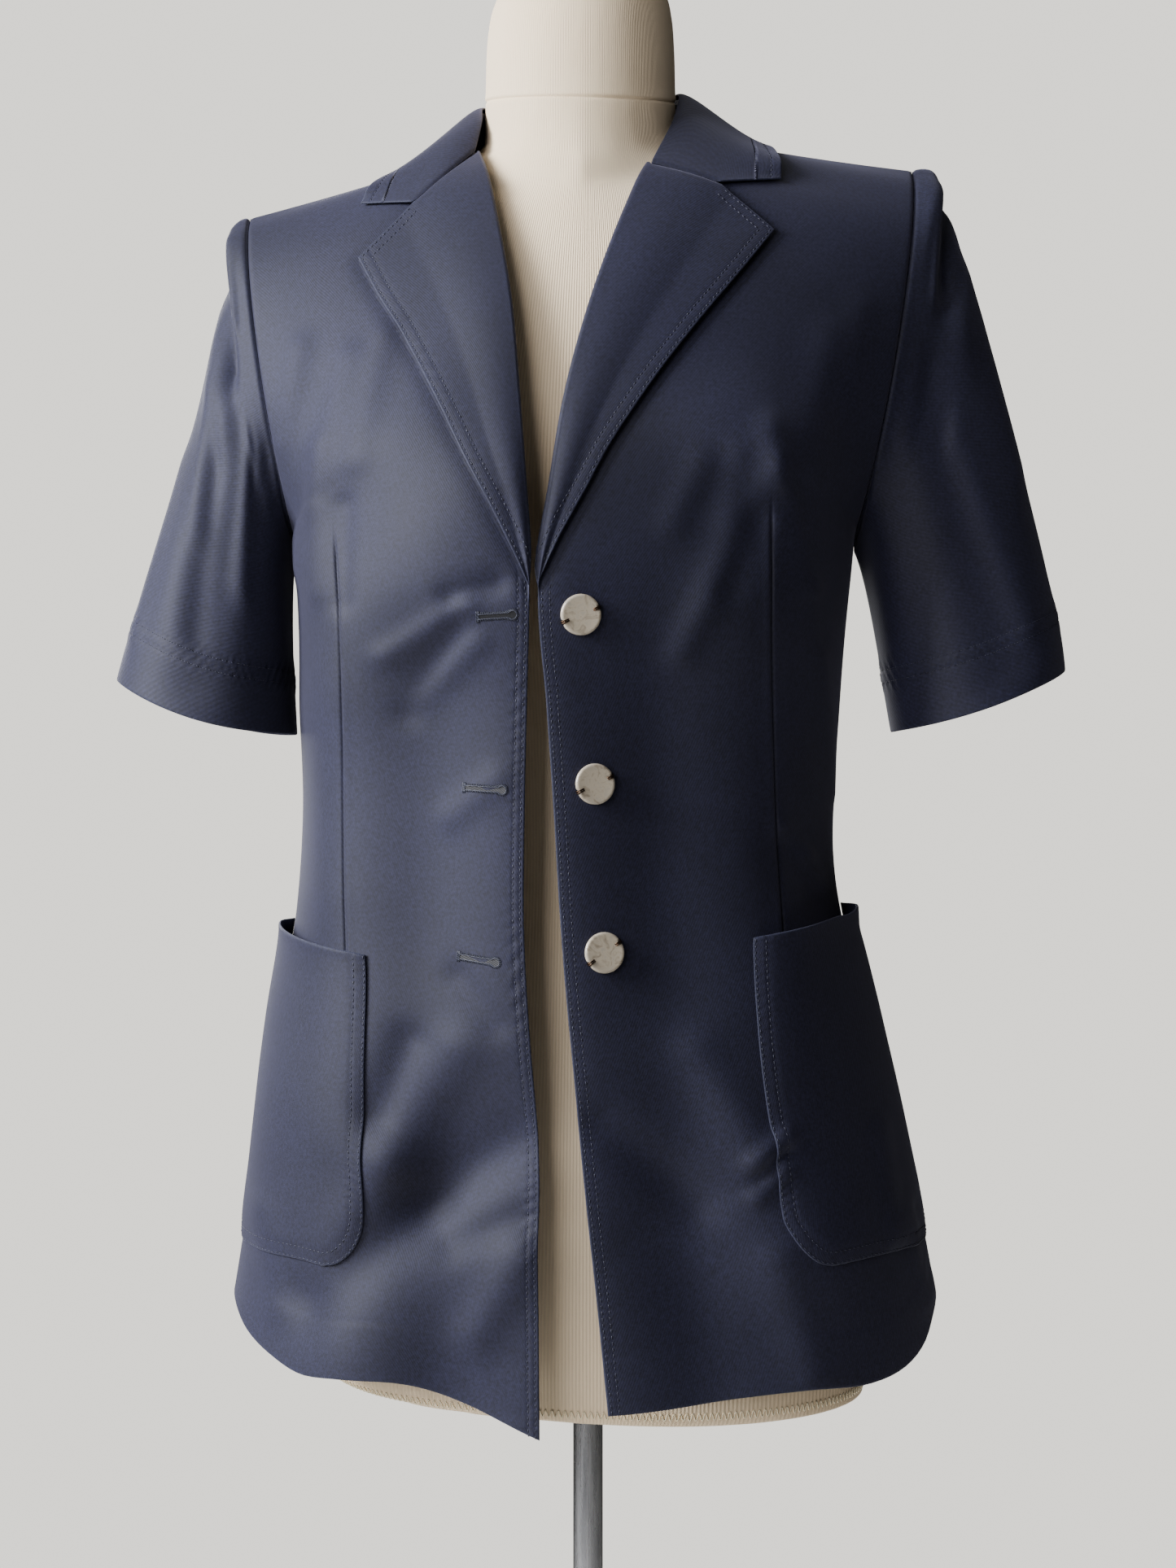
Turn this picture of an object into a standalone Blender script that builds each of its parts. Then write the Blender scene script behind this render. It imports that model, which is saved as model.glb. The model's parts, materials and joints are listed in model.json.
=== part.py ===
"""A short-sleeve blazer that hangs open on a dress form with a pole stand.

Frame: the origin is the centre of the base on the floor and +Z is up. The form faces -Y, so
the wearer's left is +X. Sizes are in millimetres. Heights are counted from the middle button,
which is DATUM above the floor, and a garment x is counted outward from the centre line.

Each piece of cloth is a smooth sheet, P(s, t), turned into a closed wall. The fronts and backs
are panels: s runs from the centre edge to the side, t climbs along the side seam and armhole.
The sleeves, lapels, collar and pockets start from points of those panels.
"""
from collections import namedtuple
import math

import bpy
from mathutils.bvhtree import BVHTree
import numpy as np

MM = 0.001
DATUM = 1070.0            # middle button above the floor
CLOTH = 1.6               # wall of the shell fabric with its fusing
SEAM = 0.2                # each piece stops this far short of its seam line
REST = 0.4                # between a piece and what it lies on

PANEL_WIDTH = 230.0       # a panel's average width along its cloth
FRONT_COLUMNS = 16
ROW_STEP = 36.0           # longest step between rows of the panels' net

SIDES = {"right": -1.0, "left": 1.0}

# The garment leans on its form: it is pushed sideways by Lean.shift at each height, and the
# shoulders slope up to the wearer's left.
Lean = namedtuple("Lean", "height shift")
LEAN = [
    Lean(-345, -2.0), Lean(-266, -2.6), Lean(-200, -5.2), Lean(-117, -10.0), Lean(-18, -11.6),
    Lean(60, -10.0), Lean(130, -7.8), Lean(210, -5.8), Lean(300, -4.4), Lean(420, -4.6),
    Lean(520, -5.0),
]
SHOULDER_SLOPE = 0.072
SLOPE_STARTS = 90.0
SLOPE_FULL = 330.0

# Front edge and, above the break, the roll line of each front, from hem to neck.
Edge = namedtuple("Edge", "x y z")
FRONT_EDGE = {
    "right": [
        Edge(24.6, -141, -360), Edge(25, -137, -290), Edge(22.5, -131, -215),
        Edge(23.2, -126.5, -140), Edge(24.3, -124, -75), Edge(23.5, -123, -15),
        Edge(23.3, -125, 45), Edge(24, -131, 115), Edge(28.5, -126, 165),
        Edge(33.2, -115, 215), Edge(39, -98, 270), Edge(49.5, -70, 330),
        Edge(59, -38, 372), Edge(64, -15, 386), Edge(67, 8, 391),
    ],
    "left": [
        Edge(13, -139, -347), Edge(7.3, -136, -288), Edge(1.7, -131, -215),
        Edge(-1.2, -127, -140), Edge(-4.3, -124, -75), Edge(-7.5, -123, -15),
        Edge(-12.7, -125, 45), Edge(-19, -131, 113), Edge(-13, -124, 165),
        Edge(-6, -114, 215), Edge(6.5, -96, 268), Edge(27.5, -69, 330),
        Edge(46, -42, 368), Edge(58.5, -17, 385), Edge(67, 8, 391),
    ],
}

# Centre back from hem to neck.
Spine = namedtuple("Spine", "y z")
CENTRE_BACK = [
    Spine(126, -318), Spine(122, -280), Spine(114, -212), Spine(103, -140), Spine(94, -70),
    Spine(90, -15), Spine(92, 45), Spine(98, 100), Spine(103, 148), Spine(105, 205),
    Spine(101, 265), Spine(92, 325), Spine(79, 370), Spine(72, 386), Spine(67, 396),
]

# Side seam up to the underarm, then the armhole up to the shoulder tip. turn is the plan angle
# at which a row of cloth arrives there: 90 is straight backward, 0 straight outward.
Side = namedtuple("Side", "x y z turn near far")
SIDE_SEAM = [
    Side(212.8, 6, -305, 90, 0.58, 0.60), Side(208.5, 6, -280, 90, 0.58, 0.60),
    Side(196, 6, -212, 90, 0.58, 0.60), Side(180, 6, -140, 90, 0.58, 0.58),
    Side(164, 6, -70, 90, 0.58, 0.56), Side(159.5, 6, -15, 90, 0.58, 0.56),
    Side(162.5, 6, 45, 90, 0.58, 0.58), Side(165, 4, 100, 90, 0.58, 0.60),
    Side(168, 1, 142, 90, 0.58, 0.62),
]
FRONT_ARMHOLE = [
    Side(172, -36, 166, 62, 0.50, 0.50), Side(181, -53, 212, 40, 0.42, 0.38),
    Side(192, -46, 275, 24, 0.36, 0.34), Side(199.5, -25, 330, 10, 0.34, 0.34),
    Side(201.3, -11, 349, 4, 0.34, 0.34),
]
BACK_ARMHOLE = [
    Side(172, 38, 168, 62, 0.55, 0.50), Side(181, 55, 215, 40, 0.50, 0.40),
    Side(191.5, 49, 277, 24, 0.45, 0.36), Side(199.5, 30, 329, 10, 0.40, 0.34),
    Side(201.3, 16, 348, 4, 0.38, 0.34),
]
UNDERARM = len(SIDE_SEAM) - 1
ARMHOLE_STEPS = [2, 2, 2, 2, 1, 1]   # rows of cloth between the armhole's levels
NECK_POINT = (67.0, 8.0, 391.0)
SHOULDER_TIP = (202.0, 3.0, 360.0)
SHOULDER_HOLLOW = 1.5     # the shoulder seam dips this much below a straight line
NECKLINE_SHARE = 0.32     # share of the back's top edge that is neckline

# Heights of the fronts' hems at even steps from the front edge to the side seam.
HEMS = {
    "right": [-360, -343.4, -332.5, -332, -333.5, -327.5, -319.5, -309.5, -305],
    "left": [-347, -344.2, -340.6, -338.9, -340.3, -336.5, -326.5, -310, -305],
}

# Large soft shapes of the cloth: a ridge is positive, a trough negative. Each runs from
# (x1, z1) to (x2, z2) and fades over its width.
Fold = namedtuple("Fold", "x1 z1 x2 z2 height width")
FRONT_FOLDS = {
    "right": [
        Fold(92, 165, 98, 120, 8.0, 58), Fold(52, -188, 168, -292, -5.5, 36),
        Fold(60, -140, 150, -180, 3.0, 38), Fold(70, -262, 120, -318, 4.0, 34),
        Fold(40, 175, 118, 60, 2.5, 30), Fold(150, 40, 140, -60, 2.5, 30),
    ],
    "left": [
        Fold(92, 165, 98, 120, 8.0, 58), Fold(118, 175, 152, -10, 4.0, 22),
        Fold(130, -35, 160, -78, -3.5, 18), Fold(70, -150, 120, -250, 4.0, 34),
        Fold(40, -250, 95, -310, -4.0, 36), Fold(150, -280, 176, -330, 4.0, 34),
    ],
}
BACK_FOLDS = [
    Fold(62, 265, 68, 200, 6.0, 55), Fold(95, -30, 110, -290, 5.0, 34),
    Fold(45, -120, 52, -300, -4.0, 26),
]

# Sleeves. The cuff is an ellipse that is lower on its inner side by drop and in front and behind
# by dip. The reaches say how far the cloth holds the direction in which it leaves the armhole, at
# the cap and under the arm; the flares how it arrives at the cuff; bow bends the outer side.
Sleeve = namedtuple("Sleeve", "cuff_x cuff_y cuff_z half_width half_depth drop dip "
                              "cap_reach under_reach outer_flare inner_flare bow")
SLEEVES = {
    "right": Sleeve(220.5, -4, 46.5, 54.5, 52, 16.5, 8.5, 34, 58, 58, -8, -7),
    "left": Sleeve(246.5, -4, 50, 51.5, 52, 18.6, 5, 62, 58, 30, 22, -4),
}
UNDERARM_SPLAY = {"right": 0.4, "left": 0.6}   # outward for each unit down, at the underarm
# Folds of a sleeve, from a place around and along it to another, as shares of the sleeve.
Crease = namedtuple("Crease", "around1 along1 around2 along2 height width")
SLEEVE_FOLDS = {
    "right": [
        Crease(0.50, 0.08, 0.48, 0.13, 4.5, 26),
        Crease(0.52, 0.18, 0.36, 0.25, -3.5, 15), Crease(0.52, 0.26, 0.34, 0.34, 3.0, 16),
        Crease(0.45, 0.45, 0.30, 0.85, 3.0, 22), Crease(0.22, 0.35, 0.27, 0.90, -3.0, 20),
        Crease(0.70, 0.35, 0.64, 0.90, 3.0, 24),
    ],
    "left": [
        Crease(0.50, 0.08, 0.48, 0.12, 9.0, 26),
        Crease(0.54, 0.15, 0.40, 0.25, -4.0, 15), Crease(0.54, 0.23, 0.40, 0.34, 3.0, 16),
        Crease(0.43, 0.42, 0.38, 0.92, 3.0, 22), Crease(0.26, 0.30, 0.28, 0.90, -3.0, 20),
        Crease(0.68, 0.40, 0.66, 0.90, 3.0, 24),
    ],
}
SLEEVE_LENGTH = 250.0     # averages that turn those shares into millimetres
SLEEVE_GIRTH = 350.0
SLEEVE_ROWS = [0, 0.035, 0.08, 0.14, 0.21, 0.29, 0.38, 0.48, 0.60, 0.72, 0.86, 1.0]

# Lapels: outer edge from the break to the tip, and the gorge with its notch.
Spot = namedtuple("Spot", "x z")
LAPEL_EDGE = {
    "right": [
        Spot(24, 109), Spot(31.5, 124), Spot(45, 150.5), Spot(59.7, 178), Spot(77.8, 216),
        Spot(98.5, 258), Spot(117, 291), Spot(129, 315),
    ],
    "left": [
        Spot(-19, 111), Spot(-8.3, 136), Spot(5, 162), Spot(17.7, 187), Spot(32.4, 210),
        Spot(50, 235.5), Spot(69.8, 261.5), Spot(92.7, 289), Spot(112.3, 313.4),
    ],
}
Gorge = namedtuple("Gorge", "roll_level notch_x notch_z collar_x collar_z")
GORGE = {
    "right": Gorge(12.55, 98, 347, 130, 352),
    "left": Gorge(11.8, 81, 345, 118, 347),
}
BREAK_LEVEL = 7.0
NOTCH_SHARE = 0.52        # how far along its top edge the lapel has its notch
LAPEL_REST = 0.6
SEARCH_REACH = 12.0       # how far around a point its panel's flat faces are looked for

# Collar: the crest of its roll and the outer edge of the fall, from fore-shoulder to the
# centre back. sag is how far the fall hangs below a straight line.
Collar = namedtuple("Collar", "crest_x crest_y crest_z edge_x edge_z sag roll")
COLLAR = {
    "right": [
        Collar(59.2, -12, 405, 123, 367, 5, 8), Collar(59.6, 3, 416, 114, 381, 6, 9),
        Collar(52, 33, 421, 93, 380, 4, 8), Collar(31, 57, 424, 54, 379, 1, 7),
    ],
    "left": [
        Collar(57, -18, 399, 117, 366, 5, 8), Collar(59.6, 3, 416, 114, 381, 6, 9),
        Collar(52, 33, 421, 93, 380, 4, 8), Collar(31, 57, 424, 54, 379, 1, 7),
    ],
}
COLLAR_BACK = Collar(0, 64.2, 425, 0, 379, 0, 6)
COLLAR_WALL = 1.7
COLLAR_REST = 1.0         # the fall's underside to the cloth it lies on
TIP_LIFT = 0.9            # and more near its fore corners
CREST_RISE = 3.0          # how the roll rises as it turns over
COLLAR_STEPS = 3          # columns of the collar's net between its stations
STAND_SHORT = 1.3         # the stand ends this far below the underside of the fall's roll
STAND_REST = 0.6          # and starts this far above the panels' neck edge

# Patch pockets: x of the front edge at its top and bottom, the gap left to the side seam, and
# heights of the mouth at its front and side, and of the bottom. belly is how far the front edge
# bows forward, gape how far the mouth stands open and fill how far its side bulges.
Pocket = namedtuple("Pocket", "front_top front_bottom back top_front top_side bottom belly "
                              "gape fill")
POCKETS = {
    "right": Pocket(114, 122, 4, -94.5, -81.5, -271, 4, 5, 4),
    "left": Pocket(103, 115, 4, -84.5, -72, -272, 4.5, 6, 6),
}
POCKET_REST = 1.0
POCKET_SLACK = 1.2
POCKET_CORNER = 27.0
POCKET_WALL = 1.7

# Buttons on the left front, from the centre line. turn is the angle of the line through a
# button's two rim notches.
ButtonSpot = namedtuple("ButtonSpot", "name x z turn")
BUTTONS = [
    ButtonSpot("button_top", 4.4, 93.8, 23), ButtonSpot("button_middle", 14.9, 0.0, 24),
    ButtonSpot("button_bottom", 19.4, -93.8, 34),
]
BUTTON_RADIUS = 11.5
BUTTON_THICK = 3.0
BUTTON_NOTCH = 1.3
BUTTON_SIDES = 24
# Rings of a button, as shares of its radius and thickness.
ButtonRing = namedtuple("ButtonRing", "radius rise")
BUTTON_RINGS = [ButtonRing(0.88, 0.0), ButtonRing(1.0, 0.3), ButtonRing(0.98, 0.8),
                ButtonRing(0.88, 1.0)]

# Dress form: rings from the bottom to the top of the neck. square is the power of the ring's
# superellipse: 2 is an ellipse and 1 has straight sides that meet at the shoulder ridge.
Ring = namedtuple("Ring", "z half front back middle square")
FORM = [
    Ring(-358, 164, 117, 104, 4, 2.3), Ring(-300, 165, 117, 106, 4, 2.3),
    Ring(-230, 160, 112, 103, 4, 2.25), Ring(-150, 150, 104, 94, 4, 2.2),
    Ring(-80, 140, 97, 82, 4, 2.15), Ring(-20, 136, 94, 76, 4, 2.15),
    Ring(50, 141, 100, 80, 4, 2.15), Ring(110, 148, 110, 86, 4, 2.15),
    Ring(160, 154, 112, 91, 3, 2.1), Ring(215, 163, 104, 93, 3, 2.05),
    Ring(270, 173, 90, 90, 3, 1.9), Ring(315, 182, 75, 82, 3, 1.65),
    Ring(343, 187, 64, 74, 4, 1.35),
]
FORM_SHOULDER_END = 186.0
FORM_ASIDE = 6.0          # the underside of the form is this far to the wearer's left
FORM_TILT = 0.055         # and its rim is lower there
FORM_FLAT = 60.0          # radius of the level middle of the underside
FORM_BUST = Fold(86, 152, 90, 140, 9.0, 50)
NECK_TOP = 492.0
NECK_CENTRE_Y = 5.0
# Between the shoulders and the neck a ring is the wider of a thin wing and a round neck.
Neck = namedtuple("Neck", "z radius")
NECK_ROOT = [Neck(345, 30), Neck(353, 52), Neck(361, 58.4), Neck(395, 58.2)]
NECK = [Neck(399, 58.2), Neck(430, 58.0), Neck(455, 57.2), Neck(472, 54.8), Neck(483, 50),
        Neck(489, 42), Neck(NECK_TOP, 30)]
NECK_BLEND = 12.0
FORM_AROUND = 36
FORM_LEVELS = [-361, -360, -357, -350, -310, -265, -220, -175, -130, -85, -40, 5, 50, 95, 130,
               165, 200, 240, 275, 305, 328, 345]
SHOULDER_STATIONS = [168, 146, 124, 103, 86, 74]
RIDGE_REST = (1.6, 0.75)  # how far the shoulder ridge is under the cloth, at the neck and outside

POLE_RADIUS = 9.0
FLANGE_RADIUS = 42.0
FLANGE_THICK = 5.0
HUB_RADIUS = 20.0
HUB_HEIGHT = 34.0
BASE_RADIUS = 160.0
BASE_THICK = 11.0
TURNED_SIDES = 36

# Colours as linear RGB.
NAVY = (0.020, 0.027, 0.055)
JERSEY = (0.78, 0.70, 0.58)
PEARL = (0.75, 0.70, 0.58)
CHROME = (0.70, 0.70, 0.71)
ENAMEL = (0.08, 0.08, 0.085)


# Curves

def blend(start, end, share):
    """From start to end by a share between 0 and 1."""
    return start + (end - start) * share


def ramp(low, high, value):
    """0 below low, 1 above high and smooth between."""
    share = np.clip((value - low) / (high - low), 0.0, 1.0)
    return share * share * (3 - 2 * share)


def unit(vectors):
    """Vectors at length 1."""
    return vectors / np.linalg.norm(vectors, axis=-1, keepdims=True)


def slopes_at(rows, knots):
    """Slope of a smooth curve through rows at each knot, and the straight slopes between."""
    steps = np.diff(knots).reshape((-1,) + (1,) * (rows.ndim - 1))
    between = np.diff(rows, axis=0) / steps
    smooth = np.empty_like(rows)
    smooth[0] = between[0]
    smooth[-1] = between[-1]
    share = steps[1:] / (steps[:-1] + steps[1:])
    smooth[1:-1] = between[:-1] * share + between[1:] * (1 - share)
    return smooth, between


def hermite(start, start_slope, end, end_slope, share):
    """Cubic curve between two points with given slopes."""
    square = share * share
    cube = square * share
    return ((2 * cube - 3 * square + 1) * start + (cube - 2 * square + share) * start_slope
            + (3 * square - 2 * cube) * end + (cube - square) * end_slope)


def through(knots, values, places):
    """Smooth curve through one row of values for each knot, read at places."""
    knots = np.asarray(knots, float)
    values = np.asarray(values, float)
    smooth, _ = slopes_at(values, knots)
    places = np.clip(np.asarray(places, float), knots[0], knots[-1])
    cell = np.clip(np.searchsorted(knots, places, side="right") - 1, 0, len(knots) - 2)
    step = knots[cell + 1] - knots[cell]
    share = (places - knots[cell]) / step
    if values.ndim > 1:
        step = step[..., None]
        share = share[..., None]
    return hermite(values[cell], smooth[cell] * step, values[cell + 1],
                   smooth[cell + 1] * step, share)


def bezier(first, second, third, last, share):
    """Cubic curve by its four points."""
    rest = 1 - share
    return (rest ** 3 * first + 3 * rest * rest * share * second
            + 3 * rest * share * share * third + share ** 3 * last)


def run_lengths(points):
    """Distance along a row of points, from 0."""
    steps = np.linalg.norm(np.diff(points, axis=0), axis=1)
    return np.concatenate([[0.0], np.cumsum(steps)])


def spread(points, count):
    """Places of count even steps along a row of points, as fractional indexes."""
    lengths = run_lengths(points)
    return np.interp(np.linspace(0, lengths[-1], count), lengths, np.arange(len(points)))


def fold_height(folds, across, up):
    """Sum of the folds' heights at places on the cloth."""
    total = np.zeros_like(across)
    for fold in folds:
        start = np.array([fold.x1, fold.z1])
        along = np.array([fold.x2, fold.z2]) - start
        share = ((across - start[0]) * along[0] + (up - start[1]) * along[1]) / (along @ along)
        share = np.clip(share, 0, 1)
        gap = np.hypot(across - start[0] - share * along[0], up - start[1] - share * along[1])
        total = total + fold.height * np.exp(-(gap / fold.width) ** 2)
    return total


# Panels

class Panel:
    """A front (facing -1) or back (facing 1): a smooth sheet from its centre edge to its side."""

    def __init__(self, edge, side, facing, folds, hem=None, neckline=False):
        self.edge = np.array(edge, float)
        self.side = np.array([(spot.x, spot.y, spot.z) for spot in side] + [SHOULDER_TIP])
        turns = np.radians([spot.turn for spot in side] + [0.0])
        near = np.array([spot.near for spot in side] + [0.33])
        far = np.array([spot.far for spot in side] + [0.33])
        across = self.side - self.edge
        arrive = np.stack([np.cos(turns), -facing * np.sin(turns), 0 * turns], axis=1)
        reach = np.where(turns > 1.2, np.abs(across[:, 1]), np.linalg.norm(across, axis=1))
        self.near = self.edge + across * [1, 0, 1] * near[:, None]
        self.far = self.side - arrive * (reach * far)[:, None]
        self.near[:, 2] = self.edge[:, 2] + across[:, 2] / 3
        self.far[:, 2] = self.side[:, 2] - across[:, 2] / 3
        self.hem = hem
        self.knots = run_lengths(self.side)
        self.top = self.knots[-1]
        self.underarm = self.knots[UNDERARM]
        self.facing = facing
        self.folds = folds
        self.neckline = neckline
        self.make_finder()

    def top_row(self, s):
        """Shoulder seam, with the neckline before it on the back."""
        share = s
        if self.neckline:
            share = np.clip((s - NECKLINE_SHARE) / (1 - NECKLINE_SHARE), 0, 1)
        points = shoulder_seam(share)
        if self.neckline:
            angle = np.clip(s / NECKLINE_SHARE, 0, 1) * math.pi / 2
            start = self.edge[-1]
            neck = np.array(NECK_POINT)
            curve = np.stack([neck[0] * np.sin(angle),
                              neck[1] + (start[1] - neck[1]) * np.cos(angle),
                              blend(neck[2], start[2], np.cos(angle))], axis=1)
            points = np.where((s < NECKLINE_SHARE)[:, None], curve, points)
        return points

    def smooth(self, s, t):
        """Points of the sheet before its folds."""
        rows = bezier(self.edge[:, None], self.near[:, None], self.far[:, None],
                      self.side[:, None], s[None, :, None])
        if self.hem is not None:
            rows[0, :, 2] = through(np.linspace(0, 1, len(self.hem)), self.hem, s)
        rows[-1] = self.top_row(s)
        slope, between = slopes_at(rows, self.knots)
        corner = (s ** 8)[:, None]
        below = slope.copy()
        below[UNDERARM] = blend(slope[UNDERARM], between[UNDERARM - 1], corner)
        above = slope.copy()
        above[UNDERARM] = blend(slope[UNDERARM], between[UNDERARM], corner)
        t = np.clip(t, 0, self.top)
        cell = np.clip(np.searchsorted(self.knots, t, side="right") - 1, 0, len(self.knots) - 2)
        place = np.arange(len(s))
        step = (self.knots[cell + 1] - self.knots[cell])[:, None]
        share = (t - self.knots[cell])[:, None] / step
        return hermite(rows[cell, place], above[cell, place] * step,
                       rows[cell + 1, place], below[cell + 1, place] * step, share)

    def facing_out(self, surface, s, t):
        """Unit normals of a surface of this panel, away from the form."""
        small_s = 0.004
        small_t = 1.5
        across = (surface(np.minimum(s + small_s, 1), t) - surface(np.maximum(s - small_s, 0), t))
        up = (surface(s, np.minimum(t + small_t, self.top))
              - surface(s, np.maximum(t - small_t, 0)))
        return unit(np.cross(across, up)) * -self.facing

    def point(self, s, t):
        """Points of the sheet's outer face."""
        s, t = np.broadcast_arrays(np.asarray(s, float), np.asarray(t, float))
        shape = s.shape
        s = s.ravel()
        t = t.ravel()
        points = self.smooth(s, t)
        fade = (1 - s ** 6) * ramp(0, 60, self.top - t)
        height = fold_height(self.folds, points[:, 0], points[:, 2]) * fade
        points = points + self.facing_out(self.smooth, s, t) * height[:, None]
        return points.reshape(shape + (3,))

    def normal(self, s, t):
        """Unit normals of the sheet's outer face."""
        s, t = np.broadcast_arrays(np.asarray(s, float), np.asarray(t, float))
        return self.facing_out(self.point, s, t)

    def raised(self, s, t, height):
        """Points a given height off the outer face."""
        return self.point(s, t) + self.normal(s, t) * np.asarray(height, float)[..., None]

    def make_finder(self):
        """Coarse net of points to start a search from."""
        self.find_s, self.find_t = np.meshgrid(np.linspace(0, 1, 22),
                                               np.linspace(0, self.top, 44), indexing="ij")
        self.find_points = self.point(self.find_s, self.find_t)

    def locate(self, x, z):
        """The s and t of the points seen at x and z from the front."""
        x, z = np.broadcast_arrays(np.asarray(x, float), np.asarray(z, float))
        shape = x.shape
        x = x.ravel()
        z = z.ravel()
        flat = self.find_points.reshape(-1, 3)
        gaps = (flat[None, :, 0] - x[:, None]) ** 2 + (flat[None, :, 2] - z[:, None]) ** 2
        nearest = np.argmin(gaps, axis=1)
        s = self.find_s.ravel()[nearest]
        t = self.find_t.ravel()[nearest]
        small = 1e-3
        for _ in range(7):
            here = self.point(s, t)
            by_s = (self.point(np.minimum(s + small, 1), t) - here) / small
            backward = s + small > 1
            by_s[backward] = ((here - self.point(s - small, t)) / small)[backward]
            by_t = self.point(s, np.minimum(t + 0.5, self.top)) - self.point(s, t - 0.5)
            miss_x = x - here[:, 0]
            miss_z = z - here[:, 2]
            area = by_s[:, 0] * by_t[:, 2] - by_s[:, 2] * by_t[:, 0]
            area = np.where(np.abs(area) < 1e-6, 1e-6, area)
            s = np.clip(s + (miss_x * by_t[:, 2] - miss_z * by_t[:, 0]) / area, 0, 1)
            t = np.clip(t + (miss_z * by_s[:, 0] - miss_x * by_s[:, 2]) / area, 0, self.top)
        return s.reshape(shape), t.reshape(shape)

    def over(self, x, z, height):
        """Points a given height above the cloth at x and z."""
        s, t = self.locate(x, z)
        return self.raised(s, t, height)

    def along_row(self, t, from_side):
        """The s that lies from_side millimetres from the side along each row t."""
        shares = np.linspace(0, 1, 60)
        result = np.empty(len(t))
        for index, height in enumerate(t):
            row = self.point(shares, np.full(60, height))
            lengths = run_lengths(row[::-1])
            result[index] = np.interp(from_side[index], lengths, shares[::-1])
        return result

    def from_side(self, x, z):
        """Distance along the cloth from the side seam to the point seen at x and z."""
        s, t = self.locate(np.array([x]), np.array([z]))
        shares = np.linspace(s[0], 1, 40)
        return run_lengths(self.point(shares, np.full(40, t[0])))[-1]


def shoulder_seam(share):
    """Points from the neck point to the shoulder tip."""
    start = np.array(NECK_POINT)
    end = np.array(SHOULDER_TIP)
    points = start + (end - start) * share[:, None]
    points[:, 2] -= SHOULDER_HOLLOW * np.sin(share * math.pi)
    return points


def seam_up():
    """Direction out of the shoulder seam, which both panels share there."""
    along = unit(np.array(SHOULDER_TIP) - np.array(NECK_POINT))
    up = np.array([0.0, 0.0, 1.0])
    return unit(up - along * (up @ along))


def front_panel(side):
    """The front of one side."""
    return Panel(FRONT_EDGE[side], SIDE_SEAM + FRONT_ARMHOLE, -1.0, FRONT_FOLDS[side],
                 hem=HEMS[side])


def back_panel():
    """Half of the back, from the centre seam."""
    edge = [(0.0, spine.y, spine.z) for spine in CENTRE_BACK]
    return Panel(edge, SIDE_SEAM + BACK_ARMHOLE, 1.0, BACK_FOLDS, neckline=True)


# Placing

def place(points, side="left"):
    """Garment points, x outward, to the leaning garment in metres above the floor."""
    x = points[..., 0] * SIDES[side]
    y = points[..., 1]
    z = points[..., 2]
    lean = through([row.height for row in LEAN], [row.shift for row in LEAN], z)
    lift = SHOULDER_SLOPE * x * ramp(SLOPE_STARTS, SLOPE_FULL, z)
    return np.stack([x + lean, y, z + lift + DATUM], axis=-1) * MM


def wall_mesh(outer, inner, ring=False):
    """Vertices and faces of a wall between two nets of points; ring closes it around."""
    rows, columns = outer.shape[:2]
    vertices = np.concatenate([outer.reshape(-1, 3), inner.reshape(-1, 3)])
    skip = rows * columns
    faces = []
    last = columns if ring else columns - 1
    for row in range(rows - 1):
        for column in range(last):
            beside = (column + 1) % columns
            a = row * columns + column
            b = row * columns + beside
            c = (row + 1) * columns + beside
            d = (row + 1) * columns + column
            faces.extend([(a, b, c), (a, c, d)])
            faces.extend([(skip + c, skip + b, skip + a), (skip + d, skip + c, skip + a)])
    for column in range(last):
        beside = (column + 1) % columns
        high = (rows - 1) * columns
        faces.append((beside, column, skip + column, skip + beside))
        faces.append((high + column, high + beside, skip + high + beside, skip + high + column))
    if not ring:
        for row in range(rows - 1):
            a = row * columns
            b = a + columns
            faces.append((a, b, skip + b, skip + a))
            a += columns - 1
            b += columns - 1
            faces.append((b, a, skip + a, skip + b))
    return vertices, faces


def material(name, colour, roughness, metallic=0.0):
    """A plain finish for one kind of piece."""
    made = bpy.data.materials.new(name)
    made.use_nodes = True
    shader = made.node_tree.nodes["Principled BSDF"]
    shader.inputs["Base Color"].default_value = colour + (1.0,)
    shader.inputs["Roughness"].default_value = roughness
    shader.inputs["Metallic"].default_value = metallic
    return made


def add_object(name, vertices, faces, finish, sharp_angle=50.0):
    """One closed body as a named object, its faces turned outward."""
    mesh = bpy.data.meshes.new(name)
    mesh.from_pydata([tuple(vertex) for vertex in vertices], [], faces)
    mesh.validate()
    body = bpy.data.objects.new(name, mesh)
    bpy.context.collection.objects.link(body)
    triangles = [tri.vertices[:] for tri in triangulated(mesh)]
    corners = np.array(vertices)[np.array(triangles)]
    volume = np.einsum("ij,ij->i", corners[:, 0], np.cross(corners[:, 1], corners[:, 2])).sum()
    if volume < 0:
        mesh.flip_normals()
    mesh.materials.append(finish)
    mesh.shade_smooth()
    mesh.set_sharp_from_angle(angle=math.radians(sharp_angle))
    return body


def triangulated(mesh):
    """The mesh's triangles."""
    mesh.calc_loop_triangles()
    return mesh.loop_triangles


def add_wall(name, outer, inner, finish, side="left", ring=False):
    """A cloth wall between two nets of garment points."""
    vertices, faces = wall_mesh(place(outer, side), place(inner, side), ring)
    return add_object(name, vertices, faces, finish)


# Pieces

def net_tree(points):
    """Search tree over the flat faces of a net of points."""
    rows, columns = points.shape[:2]
    faces = []
    for row in range(rows - 1):
        for column in range(columns - 1):
            a = row * columns + column
            d = a + columns
            faces.extend([(a, a + 1, d + 1), (a, d + 1, d)])
    return BVHTree.FromPolygons(points.reshape(-1, 3).tolist(), faces)


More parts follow.
